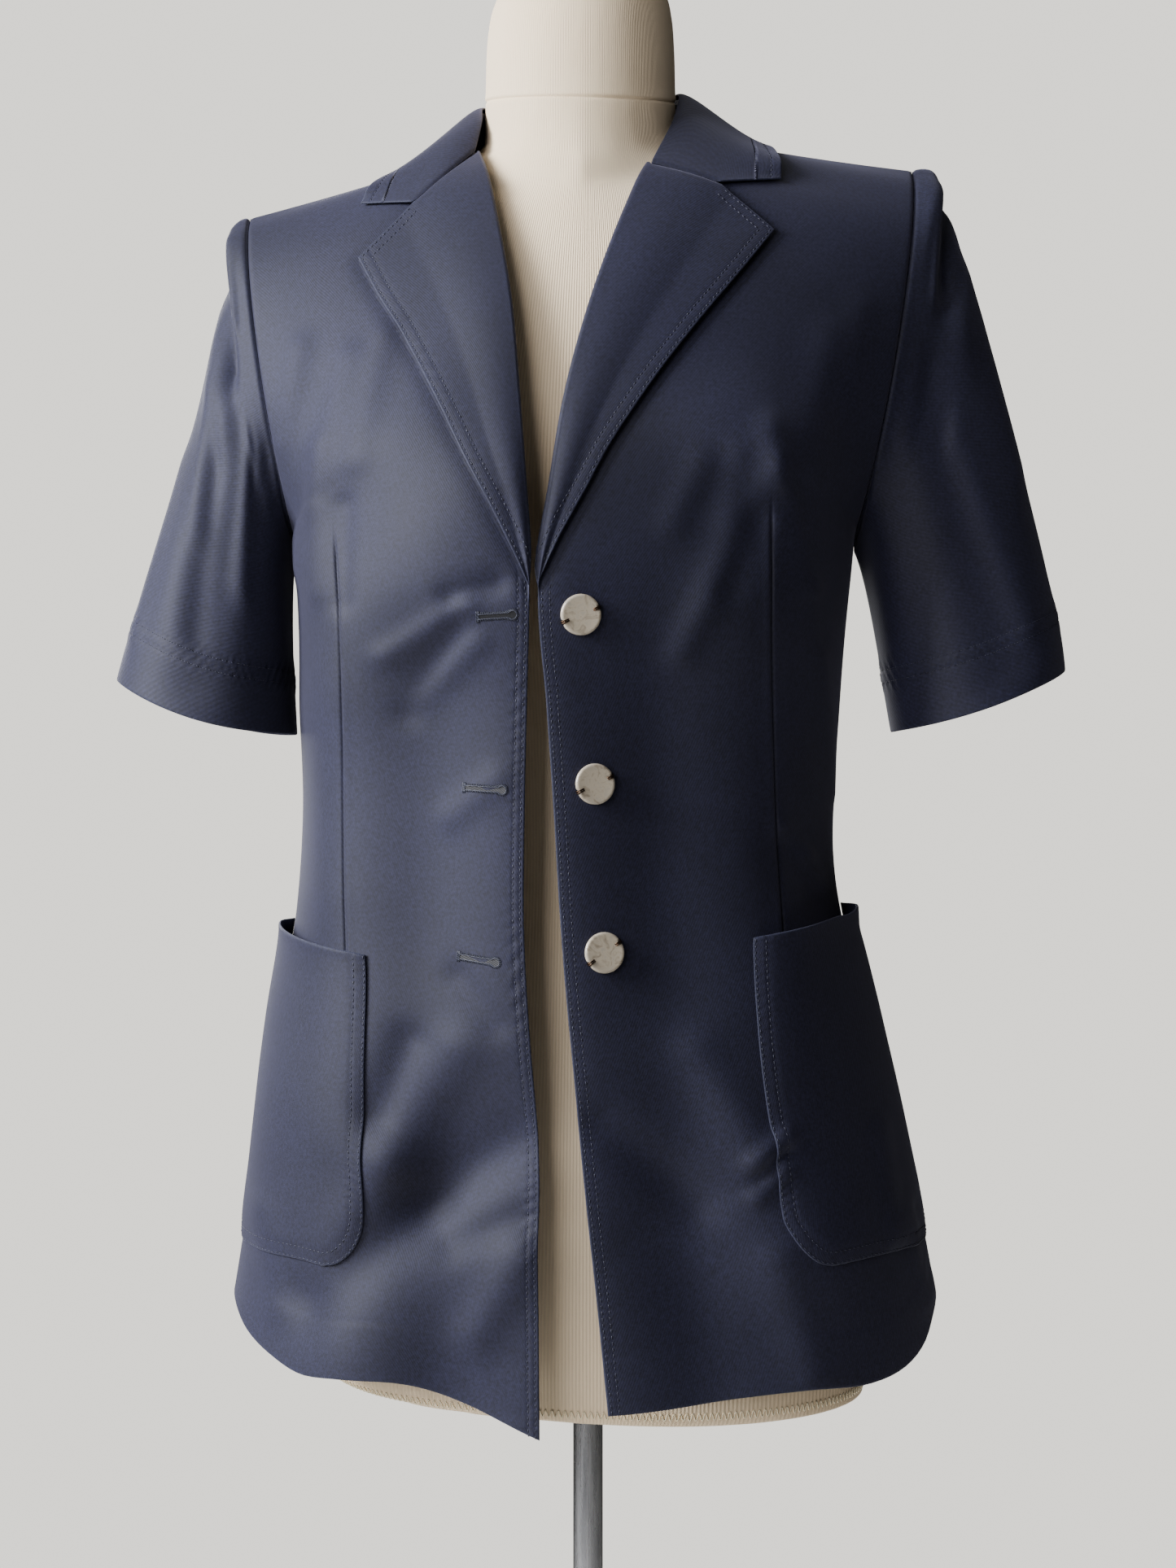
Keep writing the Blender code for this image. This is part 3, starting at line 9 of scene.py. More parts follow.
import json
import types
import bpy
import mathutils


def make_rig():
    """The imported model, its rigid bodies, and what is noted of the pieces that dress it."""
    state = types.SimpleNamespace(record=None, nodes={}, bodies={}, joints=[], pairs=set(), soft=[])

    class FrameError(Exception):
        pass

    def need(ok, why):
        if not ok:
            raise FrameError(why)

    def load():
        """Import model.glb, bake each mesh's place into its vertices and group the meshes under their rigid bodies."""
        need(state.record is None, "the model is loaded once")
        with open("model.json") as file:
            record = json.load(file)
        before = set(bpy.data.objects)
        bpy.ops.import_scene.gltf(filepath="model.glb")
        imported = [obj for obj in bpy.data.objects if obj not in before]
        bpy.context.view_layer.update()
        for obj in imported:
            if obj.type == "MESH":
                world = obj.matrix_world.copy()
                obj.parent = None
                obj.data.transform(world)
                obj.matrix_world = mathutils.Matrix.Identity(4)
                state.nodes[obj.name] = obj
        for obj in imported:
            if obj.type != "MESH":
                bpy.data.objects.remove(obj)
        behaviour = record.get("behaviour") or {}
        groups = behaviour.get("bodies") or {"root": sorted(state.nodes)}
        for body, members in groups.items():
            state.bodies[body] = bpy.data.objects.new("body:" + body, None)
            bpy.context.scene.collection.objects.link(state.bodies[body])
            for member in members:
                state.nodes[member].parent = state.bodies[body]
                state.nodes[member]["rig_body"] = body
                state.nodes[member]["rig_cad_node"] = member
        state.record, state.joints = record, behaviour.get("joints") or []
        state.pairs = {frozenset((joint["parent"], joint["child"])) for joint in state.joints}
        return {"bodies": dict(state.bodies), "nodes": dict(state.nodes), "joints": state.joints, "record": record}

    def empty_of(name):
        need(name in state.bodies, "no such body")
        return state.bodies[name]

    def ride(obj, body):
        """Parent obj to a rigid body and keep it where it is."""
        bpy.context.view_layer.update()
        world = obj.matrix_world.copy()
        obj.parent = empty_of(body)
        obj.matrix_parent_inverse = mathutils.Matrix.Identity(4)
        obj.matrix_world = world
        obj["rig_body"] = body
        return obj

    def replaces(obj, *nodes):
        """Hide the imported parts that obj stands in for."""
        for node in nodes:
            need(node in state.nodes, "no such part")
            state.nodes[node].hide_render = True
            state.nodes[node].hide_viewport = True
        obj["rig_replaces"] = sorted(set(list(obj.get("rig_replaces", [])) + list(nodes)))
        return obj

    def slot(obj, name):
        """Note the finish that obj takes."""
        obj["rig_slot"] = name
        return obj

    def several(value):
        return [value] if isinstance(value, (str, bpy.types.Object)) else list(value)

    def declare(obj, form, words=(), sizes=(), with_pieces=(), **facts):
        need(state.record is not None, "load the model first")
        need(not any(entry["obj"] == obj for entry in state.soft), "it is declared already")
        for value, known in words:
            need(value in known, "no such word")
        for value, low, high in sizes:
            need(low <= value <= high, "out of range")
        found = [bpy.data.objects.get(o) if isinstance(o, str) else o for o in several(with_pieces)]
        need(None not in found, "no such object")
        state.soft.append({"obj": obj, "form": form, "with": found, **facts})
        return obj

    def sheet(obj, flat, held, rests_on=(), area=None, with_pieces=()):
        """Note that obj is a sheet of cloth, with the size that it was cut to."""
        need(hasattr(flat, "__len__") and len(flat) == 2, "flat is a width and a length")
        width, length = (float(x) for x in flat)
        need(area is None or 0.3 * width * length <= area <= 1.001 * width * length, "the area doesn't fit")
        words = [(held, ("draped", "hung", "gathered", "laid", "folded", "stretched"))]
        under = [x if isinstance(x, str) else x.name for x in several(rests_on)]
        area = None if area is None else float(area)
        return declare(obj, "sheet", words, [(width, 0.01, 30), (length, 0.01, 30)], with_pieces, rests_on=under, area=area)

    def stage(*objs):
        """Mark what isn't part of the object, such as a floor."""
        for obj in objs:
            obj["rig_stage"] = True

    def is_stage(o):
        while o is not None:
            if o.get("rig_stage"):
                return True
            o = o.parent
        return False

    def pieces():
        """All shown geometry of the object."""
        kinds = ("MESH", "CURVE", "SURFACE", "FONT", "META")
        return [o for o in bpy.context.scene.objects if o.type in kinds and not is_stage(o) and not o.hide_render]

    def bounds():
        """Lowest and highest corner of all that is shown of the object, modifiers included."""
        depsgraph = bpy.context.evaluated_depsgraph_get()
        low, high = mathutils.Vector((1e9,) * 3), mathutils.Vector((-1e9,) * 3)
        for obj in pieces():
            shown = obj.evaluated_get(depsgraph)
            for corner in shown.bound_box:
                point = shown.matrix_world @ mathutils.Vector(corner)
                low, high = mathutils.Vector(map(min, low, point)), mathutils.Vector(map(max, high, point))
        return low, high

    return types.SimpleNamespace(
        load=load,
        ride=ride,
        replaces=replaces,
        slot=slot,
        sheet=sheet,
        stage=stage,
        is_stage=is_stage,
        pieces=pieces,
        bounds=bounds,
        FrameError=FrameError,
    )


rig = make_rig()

bl_info = {
    "name": "Short-sleeve blazer on a dress form",
    "version": (1, 0, 0),
    "blender": (4, 5, 0),
    "location": "3D View > Sidebar > Blazer",
    "description": "Cloth, stitching, buttons, dress form and stage around the packed frame",
    "category": "Object",
}

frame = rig.load()

from collections import namedtuple
import functools
import json
import math

import bmesh
import bpy
from mathutils.bvhtree import BVHTree
import numpy as np

MM = 0.001
DATUM = 1070.0            # middle button above the floor
SEAM = 0.2                # each piece stops this far short of its seam line
CLOTH = 1.6               # wall of the cloth in the frame, which lapels lie on
SHELL = 1.1               # cloth as it is shown
FOLDED_SHELL = 1.3        # two layers pressed, as in the collar and the pockets
LAPEL_SHELL = 0.9
LEAST_ROUND = 0.12        # an edge keeps at least this share of its thickness
EDGE_FADE = 1.2           # relief fades out this near a free edge
WEAR_WIDTH = 0.8          # how far in from an edge the dye has paled
SIDES = {"right": -1.0, "left": 1.0}
CAD_LOW, CAD_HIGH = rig.bounds()
SIZE_FILE = "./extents.json"
FAR = 999.0               # a distance no edge is at

# The garment leans on its form: shift is sideways at each height, and the shoulders slope.
Lean = namedtuple("Lean", "height shift")
LEAN = [
    Lean(-345, -2.0), Lean(-266, -2.6), Lean(-200, -5.2), Lean(-117, -10.0), Lean(-18, -11.6),
    Lean(60, -10.0), Lean(130, -7.8), Lean(210, -5.8), Lean(300, -4.4), Lean(420, -4.6),
    Lean(520, -5.0),
]
SHOULDER_SLOPE = 0.072
SLOPE_STARTS = 90.0
SLOPE_FULL = 330.0

# Front edge and, above the break, the roll line of each front, from hem to neck.
Edge = namedtuple("Edge", "x y z")
FRONT_EDGE = {
    "right": [
        Edge(24.6, -141, -360), Edge(25, -137, -290), Edge(22.5, -131, -215),
        Edge(23.2, -126.5, -140), Edge(24.3, -124, -75), Edge(23.5, -123, -15),
        Edge(23.3, -125, 45), Edge(24, -131, 115), Edge(28.5, -126, 165),
        Edge(33.2, -115, 215), Edge(39, -98, 270), Edge(49.5, -70, 330),
        Edge(59, -38, 372), Edge(64, -15, 386), Edge(67, 8, 391),
    ],
    "left": [
        Edge(13, -139, -347), Edge(7.3, -136, -288), Edge(1.7, -131, -215),
        Edge(-1.2, -127, -140), Edge(-4.3, -124, -75), Edge(-7.5, -123, -15),
        Edge(-12.7, -125, 45), Edge(-19, -131, 113), Edge(-13, -124, 165),
        Edge(-6, -114, 215), Edge(6.5, -96, 268), Edge(27.5, -69, 330),
        Edge(46, -42, 368), Edge(58.5, -17, 385), Edge(67, 8, 391),
    ],
}

# Unbuttoned fronts stand forward at their edges like a keel, with a hollow beside it and a ridge
# along the dart: how high each is and how far from the front edge.
Keel = namedtuple("Keel", "level lift width hollow hollow_at ridge ridge_at")
KEELS = {
    "right": [
        Keel(-360, 3.0, 30, 6.5, 56, 1.0, 112), Keel(-240, 4.0, 28, 7.0, 58, 1.5, 112),
        Keel(-140, 4.5, 26, 6.5, 58, 3.0, 108), Keel(-20, 4.5, 25, 6.5, 56, 5.0, 106),
        Keel(80, 4.5, 26, 5.0, 60, 4.0, 110), Keel(150, 5.0, 40, 2.0, 76, 2.0, 118),
        Keel(260, 4.5, 50, 0.0, 80, 0.0, 118), Keel(360, 0.0, 50, 0.0, 80, 0.0, 118),
    ],
    "left": [
        Keel(-360, 3.0, 30, 5.0, 58, 1.0, 128), Keel(-240, 4.0, 28, 6.0, 60, 1.5, 128),
        Keel(-140, 4.5, 26, 6.0, 62, 3.0, 126), Keel(-20, 4.5, 25, 6.0, 62, 4.5, 124),
        Keel(80, 4.5, 26, 4.5, 68, 3.0, 128), Keel(150, 5.0, 40, 2.0, 84, 1.5, 130),
        Keel(260, 4.5, 50, 0.0, 84, 0.0, 130), Keel(360, 0.0, 50, 0.0, 84, 0.0, 130),
    ],
}
HOLLOW_WIDTH = 28.0
RIDGE_WIDTH = 24.0

# Centre back from hem to neck.
Spine = namedtuple("Spine", "y z")
CENTRE_BACK = [
    Spine(126, -318), Spine(122, -280), Spine(114, -212), Spine(103, -140), Spine(94, -70),
    Spine(90, -15), Spine(92, 45), Spine(98, 100), Spine(103, 148), Spine(105, 205),
    Spine(101, 265), Spine(92, 325), Spine(79, 370), Spine(72, 386), Spine(67, 396),
]

# Side seam up to the underarm, then the armhole up to the shoulder tip. turn is the plan angle
# at which a row of cloth arrives there: 90 is straight backward, 0 straight outward.
Side = namedtuple("Side", "x y z turn near far")
SIDE_SEAM = [
    Side(212.8, 6, -305, 90, 0.58, 0.60), Side(208.5, 6, -280, 90, 0.58, 0.60),
    Side(196, 6, -212, 90, 0.58, 0.60), Side(180, 6, -140, 90, 0.58, 0.58),
    Side(164, 6, -70, 90, 0.58, 0.56), Side(159.5, 6, -15, 90, 0.58, 0.56),
    Side(162.5, 6, 45, 90, 0.58, 0.58), Side(165, 4, 100, 90, 0.58, 0.60),
    Side(168, 1, 142, 90, 0.58, 0.62),
]
FRONT_ARMHOLE = [
    Side(172, -36, 166, 62, 0.50, 0.50), Side(181, -53, 212, 40, 0.42, 0.38),
    Side(192, -46, 275, 24, 0.36, 0.34), Side(199.5, -25, 330, 10, 0.34, 0.34),
    Side(201.3, -11, 349, 4, 0.34, 0.34),
]
BACK_ARMHOLE = [
    Side(172, 38, 168, 62, 0.55, 0.50), Side(181, 55, 215, 40, 0.50, 0.40),
    Side(191.5, 49, 277, 24, 0.45, 0.36), Side(199.5, 30, 329, 10, 0.40, 0.34),
    Side(201.3, 16, 348, 4, 0.38, 0.34),
]
UNDERARM = len(SIDE_SEAM) - 1
NECK_POINT = (67.0, 8.0, 391.0)
SHOULDER_TIP = (202.0, 3.0, 360.0)
SHOULDER_HOLLOW = 1.5     # the shoulder seam dips this much below a straight line
NECKLINE_SHARE = 0.32     # share of the back's top edge that is neckline

# Heights of the fronts' hems at even steps from the front edge to the side seam.
HEMS = {
    "right": [-360, -343.4, -332.5, -332, -333.5, -327.5, -319.5, -309.5, -305],
    "left": [-347, -344.2, -340.6, -338.9, -340.3, -336.5, -326.5, -310, -305],
}

# Folds and creases: a ridge is positive, a trough negative. Each runs from (x1, z1) to
# (x2, z2) and fades over its width. The wide ones are the frame's own.
Fold = namedtuple("Fold", "x1 z1 x2 z2 height width")
FRONT_FOLDS = {
    "right": [
        Fold(92, 165, 98, 120, 8.0, 58), Fold(52, -188, 168, -292, -5.5, 36),
        Fold(60, -140, 150, -180, 3.0, 38), Fold(70, -262, 120, -318, 4.0, 34),
        Fold(40, 175, 118, 60, 2.5, 30), Fold(150, 40, 140, -60, 2.5, 30),
        # gathered ridge and hollow at the point of the dart
        Fold(147, 198, 144, 112, 3.0, 9), Fold(128, 160, 126, 104, -2.2, 7),
        # soft lines that fan from the armhole over the chest
        Fold(164, 262, 174, 205, 2.9, 9), Fold(131, 250, 148, 165, 2.7, 11),
        Fold(112, 262, 124, 188, 2.2, 10), Fold(178, 200, 160, 130, 3.2, 9),
        # drag lines at the top buttonhole
        Fold(101, 72, 58, 99, 2.7, 8), Fold(66, 104, 42, 110, -2.9, 7),
        Fold(84, 48, 52, 78, 1.8, 8), Fold(66, -18, 40, 2, 1.6, 9),
        # slanting trough across the skirt and the ridges on both sides of it
        Fold(34, -196, 90, -236, -5.1, 17), Fold(88, -236, 158, -291, -5.1, 17),
        Fold(66, -150, 106, -213, 4.1, 15), Fold(104, -213, 148, -276, 3.7, 15),
        Fold(94, -144, 112, -186, -3.1, 10), Fold(36, -262, 60, -304, 3.7, 13),
        Fold(34, -240, 74, -256, -2.5, 10), Fold(62, -108, 42, -134, -2.0, 9),
        Fold(186, -250, 178, -300, 2.7, 12), Fold(118, -215, 140, -330, 4.0, 34),
        Fold(45, -215, 52, -340, -4.0, 30), Fold(62, 88, 92, 40, -1.8, 9),
    ],
    "left": [
        Fold(92, 165, 98, 120, 8.0, 58), Fold(118, 175, 152, -10, 4.0, 22),
        Fold(130, -35, 160, -78, -3.5, 18), Fold(70, -150, 120, -250, 4.0, 34),
        Fold(40, -250, 95, -310, -4.0, 36), Fold(150, -280, 176, -330, 4.0, 34),
        # gathered ridges and hollows at the point of the dart
        Fold(106, 196, 110, 146, 2.2, 8), Fold(102, 170, 62, 74, 2.6, 9),
        Fold(111, 180, 130, 112, 2.6, 6), Fold(130, 112, 157, -4, 2.2, 7),
        Fold(121, 150, 138, 84, -1.9, 6), Fold(96, 148, 84, 110, -1.9, 8),
        Fold(89, 182, 82, 146, 1.4, 8), Fold(69, 178, 54, 145, 1.4, 9),
        # chest hollows beside the armhole
        Fold(146, 250, 134, 200, 1.9, 12), Fold(164, 266, 160, 222, 1.6, 10),
        # drag at the waist and creases by the pocket
        Fold(122, -24, 138, -42, 2.2, 6), Fold(138, -42, 163, -78, 2.6, 7),
        Fold(96, -212, 113, -199, 2.7, 6), Fold(97, -231, 110, -216, 2.4, 6),
        Fold(100, -221, 113, -208, -2.1, 5), Fold(172, -200, 178, -262, 2.4, 7),
        Fold(186, -252, 203, -304, 2.9, 7), Fold(196, -250, 206, -290, -2.2, 6),
        Fold(14, -190, 66, -233, -2.9, 14), Fold(70, -150, 100, -208, 2.2, 13),
        Fold(108, -268, 128, -330, 2.4, 13),
    ],
}
BACK_FOLDS = [
    Fold(62, 265, 68, 200, 6.0, 55), Fold(95, -30, 110, -290, 5.0, 34),
    Fold(45, -120, 52, -300, -4.0, 26),
    Fold(150, 230, 92, 176, 2.2, 12), Fold(158, 196, 104, 150, -1.7, 10),
    Fold(20, 330, 96, 318, 1.7, 14), Fold(148, 20, 96, -18, 2.2, 10),
    Fold(150, -4, 102, -44, -2.1, 9), Fold(60, 16, 18, -6, 1.8, 10),
    Fold(120, -150, 150, -280, 2.5, 14), Fold(30, -200, 24, -300, 2.0, 12),
    Fold(172, -200, 186, -290, -2.2, 12),
]

# Darts, from the point at the bust down under the pocket.
Spot = namedtuple("Spot", "x z")
DARTS = {
    "right": [Spot(137.5, 148), Spot(133.3, 102.5), Spot(130.8, 61.7), Spot(129.3, 20),
              Spot(127.5, -93), Spot(127.5, -128)],
    "left": [Spot(110.3, 160), Spot(112.9, 90.6), Spot(117.8, 16), Spot(123, -81),
             Spot(123, -124)],
    "back": [Spot(84, 150), Spot(80, 60), Spot(78, -10), Spot(84, -120)],
}

# Sleeves. The cuff is an ellipse that is lower on its inner side by drop and in front and behind
# by dip. The reaches say how far the cloth holds the direction in which it leaves the armhole, at
# the cap and under the arm; the flares how it arrives at the cuff; bow bends the outer side.
Sleeve = namedtuple("Sleeve", "cuff_x cuff_y cuff_z half_width half_depth drop dip "
                              "cap_reach under_reach outer_flare inner_flare bow")
SLEEVES = {
    "right": Sleeve(220.5, -4, 46.5, 54.5, 52, 16.5, 8.5, 34, 58, 58, -8, -7),
    "left": Sleeve(246.5, -4, 50, 51.5, 52, 18.6, 5, 62, 58, 30, 22, -4),
}
UNDERARM_SPLAY = {"right": 0.4, "left": 0.6}   # outward for each unit down, at the underarm
# Folds of a sleeve, from a place around and along it to another, as shares of the sleeve.
Crease = namedtuple("Crease", "around1 along1 around2 along2 height width")
SLEEVE_FOLDS = {
    "right": [
        Crease(0.50, 0.07, 0.49, 0.17, 6.5, 26),
        Crease(0.53, 0.25, 0.36, 0.30, -3.8, 13), Crease(0.52, 0.33, 0.34, 0.40, 3.0, 16),
        Crease(0.45, 0.45, 0.30, 0.85, 3.0, 22), Crease(0.22, 0.35, 0.27, 0.90, -3.0, 20),
        Crease(0.70, 0.35, 0.64, 0.90, 3.0, 24),
        Crease(0.47, 0.13, 0.38, 0.20, 2.4, 8), Crease(0.49, 0.22, 0.36, 0.30, -2.0, 8),
        Crease(0.40, 0.42, 0.33, 0.62, 2.4, 10), Crease(0.33, 0.50, 0.28, 0.80, -2.0, 10),
        Crease(0.46, 0.60, 0.42, 0.88, 2.0, 11), Crease(0.24, 0.30, 0.20, 0.62, 2.0, 10),
    ],
    "left": [
        Crease(0.50, 0.08, 0.48, 0.12, 9.0, 26),
        Crease(0.54, 0.15, 0.40, 0.25, -4.0, 15), Crease(0.54, 0.23, 0.40, 0.34, 3.0, 16),
        Crease(0.43, 0.42, 0.38, 0.92, 3.0, 22), Crease(0.26, 0.30, 0.28, 0.90, -3.0, 20),
        Crease(0.68, 0.40, 0.66, 0.90, 3.0, 24),
        Crease(0.36, 0.20, 0.47, 0.14, 1.8, 6), Crease(0.40, 0.27, 0.50, 0.20, -1.6, 6),
        Crease(0.45, 0.34, 0.42, 0.62, 2.3, 10), Crease(0.50, 0.40, 0.48, 0.80, -2.0, 10),
        Crease(0.30, 0.45, 0.34, 0.85, 2.0, 10),
    ],
}
SLEEVE_LENGTH = 250.0     # averages that turn those shares into millimetres
SLEEVE_GIRTH = 350.0
# Rows of a sleeve's net, as shares from the armhole to the cuff.
SLEEVE_SEAM_ROWS = [0, 0.0015, 0.004, 0.008, 0.014, 0.022, 0.034]
SLEEVE_CUFF_ROWS = [0.990, 0.994, 0.9975, 0.9992, 1.0]
SLEEVE_SIDES = 150
BODY_HEM = 32.0
HEM_DENT = 0.22           # how deep the hem's inner edge shows through
HEM_RISE = 0.18           # how much the doubled cloth of a front's hem stands out

# Lapels: outer edge from the break to the tip, and the gorge with its notch.
LAPEL_EDGE = {
    "right": [
        Spot(24, 109), Spot(31.5, 124), Spot(45, 150.5), Spot(59.7, 178), Spot(77.8, 216),
        Spot(98.5, 258), Spot(117, 291), Spot(129, 315),
    ],
    "left": [
        Spot(-19, 111), Spot(-8.3, 136), Spot(5, 162), Spot(17.7, 187), Spot(32.4, 210),
        Spot(50, 235.5), Spot(69.8, 261.5), Spot(92.7, 289), Spot(112.3, 313.4),
    ],
}
Gorge = namedtuple("Gorge", "roll_level notch_x notch_z collar_x collar_z")
GORGE = {
    "right": Gorge(12.55, 98, 347, 130, 352),
    "left": Gorge(11.8, 81, 345, 118, 347),
}
NOTCH_SHARE = 0.52        # how far along its top edge the lapel has its notch
LAPEL_REST = 0.6
LAPEL_SPRING = 0.7        # more at its outer edge
LAPEL_DIP = 1.6           # the front dips under that edge, over this width
LAPEL_DIP_WIDTH = 6.5
LAPEL_DIP_INSIDE = 2.5
ROLL_RADIUS = 1.9         # half the thickness of the cloth folded at the roll line
ROLL_ANGLES = np.radians([-78, -55, -30, -8, 14, 36, 58, 76])
ROLL_SWELL = 0.55         # how much fuller than round the fold is
ROLL_FORWARD = 0.25       # its middle past the roll line
BREAK_ROW = 7             # row of the front's table at which the lapel starts
# Rows of a lapel's net by its top edge, as shares from there.
LAPEL_TOP_ROWS = [0.05, 0.042, 0.035, 0.028, 0.022, 0.016, 0.010, 0.006, 0.003, 0.0012, 0]
GORGE_SEAM = (0.9, 1.2)   # depth and width of the seam between lapel and collar

# Collar: the crest of its roll and the outer edge of the fall, from fore-shoulder to the
# centre back. sag is how far the fall hangs below a straight line.
Collar = namedtuple("Collar", "crest_x crest_y crest_z edge_x edge_z sag roll")
COLLAR_FORE = {
    "right": Collar(59.2, -12, 405, 123, 367, 5, 8),
    "left": Collar(57, -18, 399, 117, 366, 5, 8),
}
COLLAR_ROUND = [Collar(59.6, 3, 416, 114, 381, 6, 9), Collar(52, 33, 421, 93, 380, 4, 8),
                Collar(31, 57, 424, 54, 379, 1, 7)]
COLLAR_BACK = Collar(0, 64.2, 425, 0, 379, 0, 6)
COLLAR_WALL = 1.7
COLLAR_REST = 1.0         # the fall's underside to the cloth it lies on
TIP_LIFT = 2.4            # and more near its fore corners
CREST_RISE = 3.0          # how the roll rises as it turns over
NECK_CENTRE_Y = 5.0
FOOT_RISE = 0.6           # the stand's foot above the neck edge of the body
COLLAR_WIDEST = 78.0
# Rows of the collar's net by its ends, as distances from them.
COLLAR_END_LINES = [0.12, 0.4, 0.9, 1.4, 2, 2.6, 3.2, 3.8, 4.4, 5, 5.6, 6.4, 7.4, 8.6]

# Patch pockets: x of the front edge at its top and bottom, the gap left to the side seam, and
# heights of the mouth at its front and side, and of the bottom. belly is how far the front edge
# bows forward, gape how far the mouth stands open and fill how far its side bulges.
Pocket = namedtuple("Pocket", "front_top front_bottom back top_front top_side bottom belly "
                              "gape fill")
POCKETS = {
    "right": Pocket(114, 122, 4, -94.5, -81.5, -271, 4, 5, 4),
    "left": Pocket(103, 115, 4, -84.5, -72, -272, 4.5, 6, 6),
}
POCKET_REST = 1.0
POCKET_SLACK = 1.2
POCKET_CORNER = 27.0
POCKET_WALL = 1.7
POCKET_PRESSED = 1.1      # how much closer its stitched edges lie
# Lines of a pocket's net by its sides, its bottom and its mouth, as shares of the pocket.
POCKET_SIDE_LINES = np.array([0, 0.0012, 0.0035, 0.006, 0.0085, 0.0115, 0.016, 0.024, 0.034,
                              0.042, 0.048, 0.055, 0.064, 0.08, 0.104])
POCKET_LOW_LINES = [0, 0.0006, 0.002, 0.0045, 0.007, 0.0095, 0.014, 0.022, 0.032, 0.038, 0.043,
                    0.048, 0.054]
POCKET_MOUTH_LINES = [0.945, 0.96, 0.975, 0.987, 0.994, 0.9975, 0.9992, 1.0]

# Buttons on the left front. turn is the angle of the line through a button's two rim notches.
ButtonSpot = namedtuple("ButtonSpot", "name turn")
BUTTONS = [ButtonSpot("button_top", 23), ButtonSpot("button_middle", 24),
           ButtonSpot("button_bottom", 34)]
BUTTON_FOOT = 9.0         # radius at which the cloth under a button is felt
BUTTON_SIDES = 96
# Rings of a button from the back's middle over the rim to the front's middle, as shares of its
# radius and of half its thickness.
ButtonRing = namedtuple("ButtonRing", "reach rise")
BUTTON_RINGS = [
    ButtonRing(0.0, -1.0), ButtonRing(0.80, -1.0), ButtonRing(0.93, -0.8),
    ButtonRing(0.985, -0.4), ButtonRing(1.0, 0.05), ButtonRing(0.987, 0.5),
    ButtonRing(0.955, 0.82), ButtonRing(0.91, 0.96), ButtonRing(0.87, 1.0),
    ButtonRing(0.82, 0.98), ButtonRing(0.74, 0.93), ButtonRing(0.55, 0.88),
    ButtonRing(0.28, 0.85), ButtonRing(0.0, 0.84),
]
WIRE_INSIDE = 2.1         # from the rim to the middle of a wire loop
WIRE_REACH = 2.4          # half the loop's width
WIRE_OVER = 0.55          # how far it stands over the button's faces
WIRE_APART = 0.5          # half the distance between two loops
# Buttonholes on the right front, from the bar to the round eye by the front edge.
Hole = namedtuple("Hole", "bar_x bar_z eye_x eye_z")
BUTTONHOLES = [Hole(51.7, 92.2, 32.5, 93.2), Hole(57.5, -2, 36.1, -3.4),
               Hole(61.3, -96.2, 40.7, -99.1)]
# Outlines round a buttonhole: half the width of the straight part and the radius of the eye.
HoleEdge = namedtuple("HoleEdge", "offset eye")
SLIT_EDGE = HoleEdge(1.2, 2.25)
CORD_EDGE = HoleEdge(1.25, 2.3)
PURL_EDGE = HoleEdge(2.5, 3.6)
EYE_TURN = 0.62 * math.pi
PURLS = 62
PURL_RISE = [0.15, 0.3, 0.3, 0.15, -0.2]
PURL_THICK = [0.14, 0.21, 0.22, 0.2, 0.08]
BAR_SHIFTS = [-0.9, -0.3, 0.3]
BAR_REACH = 3.0
# How high a cord lies on the cloth and its radius.
Cord = namedtuple("Cord", "rise radius")
EDGE_CORD = Cord(0.5, 0.22)
BAR_CORD = Cord(0.3, 0.3)
OVERLOCK_CORD = Cord(0.3, 0.42)
# How high the near-black patch that paints the shade inside each slit lies on the cloth.
SLIT_RISE = 0.12

# Dress form: where its neck is sewn on, in front and behind, and its net and rim.
NECK_SEAM_FRONT = 403.0
NECK_SEAM_BACK = 429.0
FORM_TOP = 490.5
FORM_SIDES = 160
FORM_PROBE = 100.0        # radius at which the height of the underside is read
FORM_BELOW = 500.0        # below the middle button and so below the form
FORM_OUTSIDE = 400.0      # a radius outside the form
RIM_ROW = 4
RIM_LINES = np.array([0.6, 1.6, 3, 4.6, 6.5, 8.5, 11, 14, 18, 23, 29, 36])
NECK_LINES = np.array([-9, -6, -4, -2.6, -1.7, -1.0, -0.5, 0, 0.5, 1.0, 1.7, 2.6, 4, 6, 9])
OVERLOCK_PITCH = 3.6
OVERLOCK_HEIGHT = 2.2
OVERLOCK_STEPS = 8

# How an edge is stitched down: the rows' distances inside it, a seed for its unevenness and one
# for its stitches, the height and spacing of the slanting puckers, the rise of the edge outside
# the last row, the puckers' reach before the first row and past the last, and each row's depth.
Sewing = namedtuple("Sewing", "rows seed draw pucker wave band lead fade groove",
                    defaults=(1.5, 5.0, 0.2))
SEWING = {
    "front_right": Sewing([2.2, 6.4], 1.0, 0, 0.26, 8.6, 0.12),
    "front_left": Sewing([2.2, 6.4], 2.0, 0, 0.08, 8.6, 0.03, groove=0.08),
    "sleeve": Sewing([30.5, 38.0], 4.0, 20, 0.75, 6.2, 0.2, 9.0, 11.0, 0.35),
    "lapel_right": Sewing([2.0, 7.5], 5.0, 30, 0.16, 8.2, 0.06, groove=0.15),
    "lapel_left": Sewing([2.0, 7.5], 6.0, 30, 0.16, 8.2, 0.06, groove=0.15),
    "collar": Sewing([6.4], 8.0, 50, 0.15, 9.0, 0.1),
    "pocket": Sewing([1.3, 7.6], 9.0, 60, 0.22, 5.2, 0.2),
}
GROOVE_WIDTH = 0.75
Stitch = namedtuple("Stitch", "pitch length thick")
TOPSTITCH = Stitch(3.4, 2.2, 0.28)
CUFF_STITCH = Stitch(1.9, 1.3, 0.2)
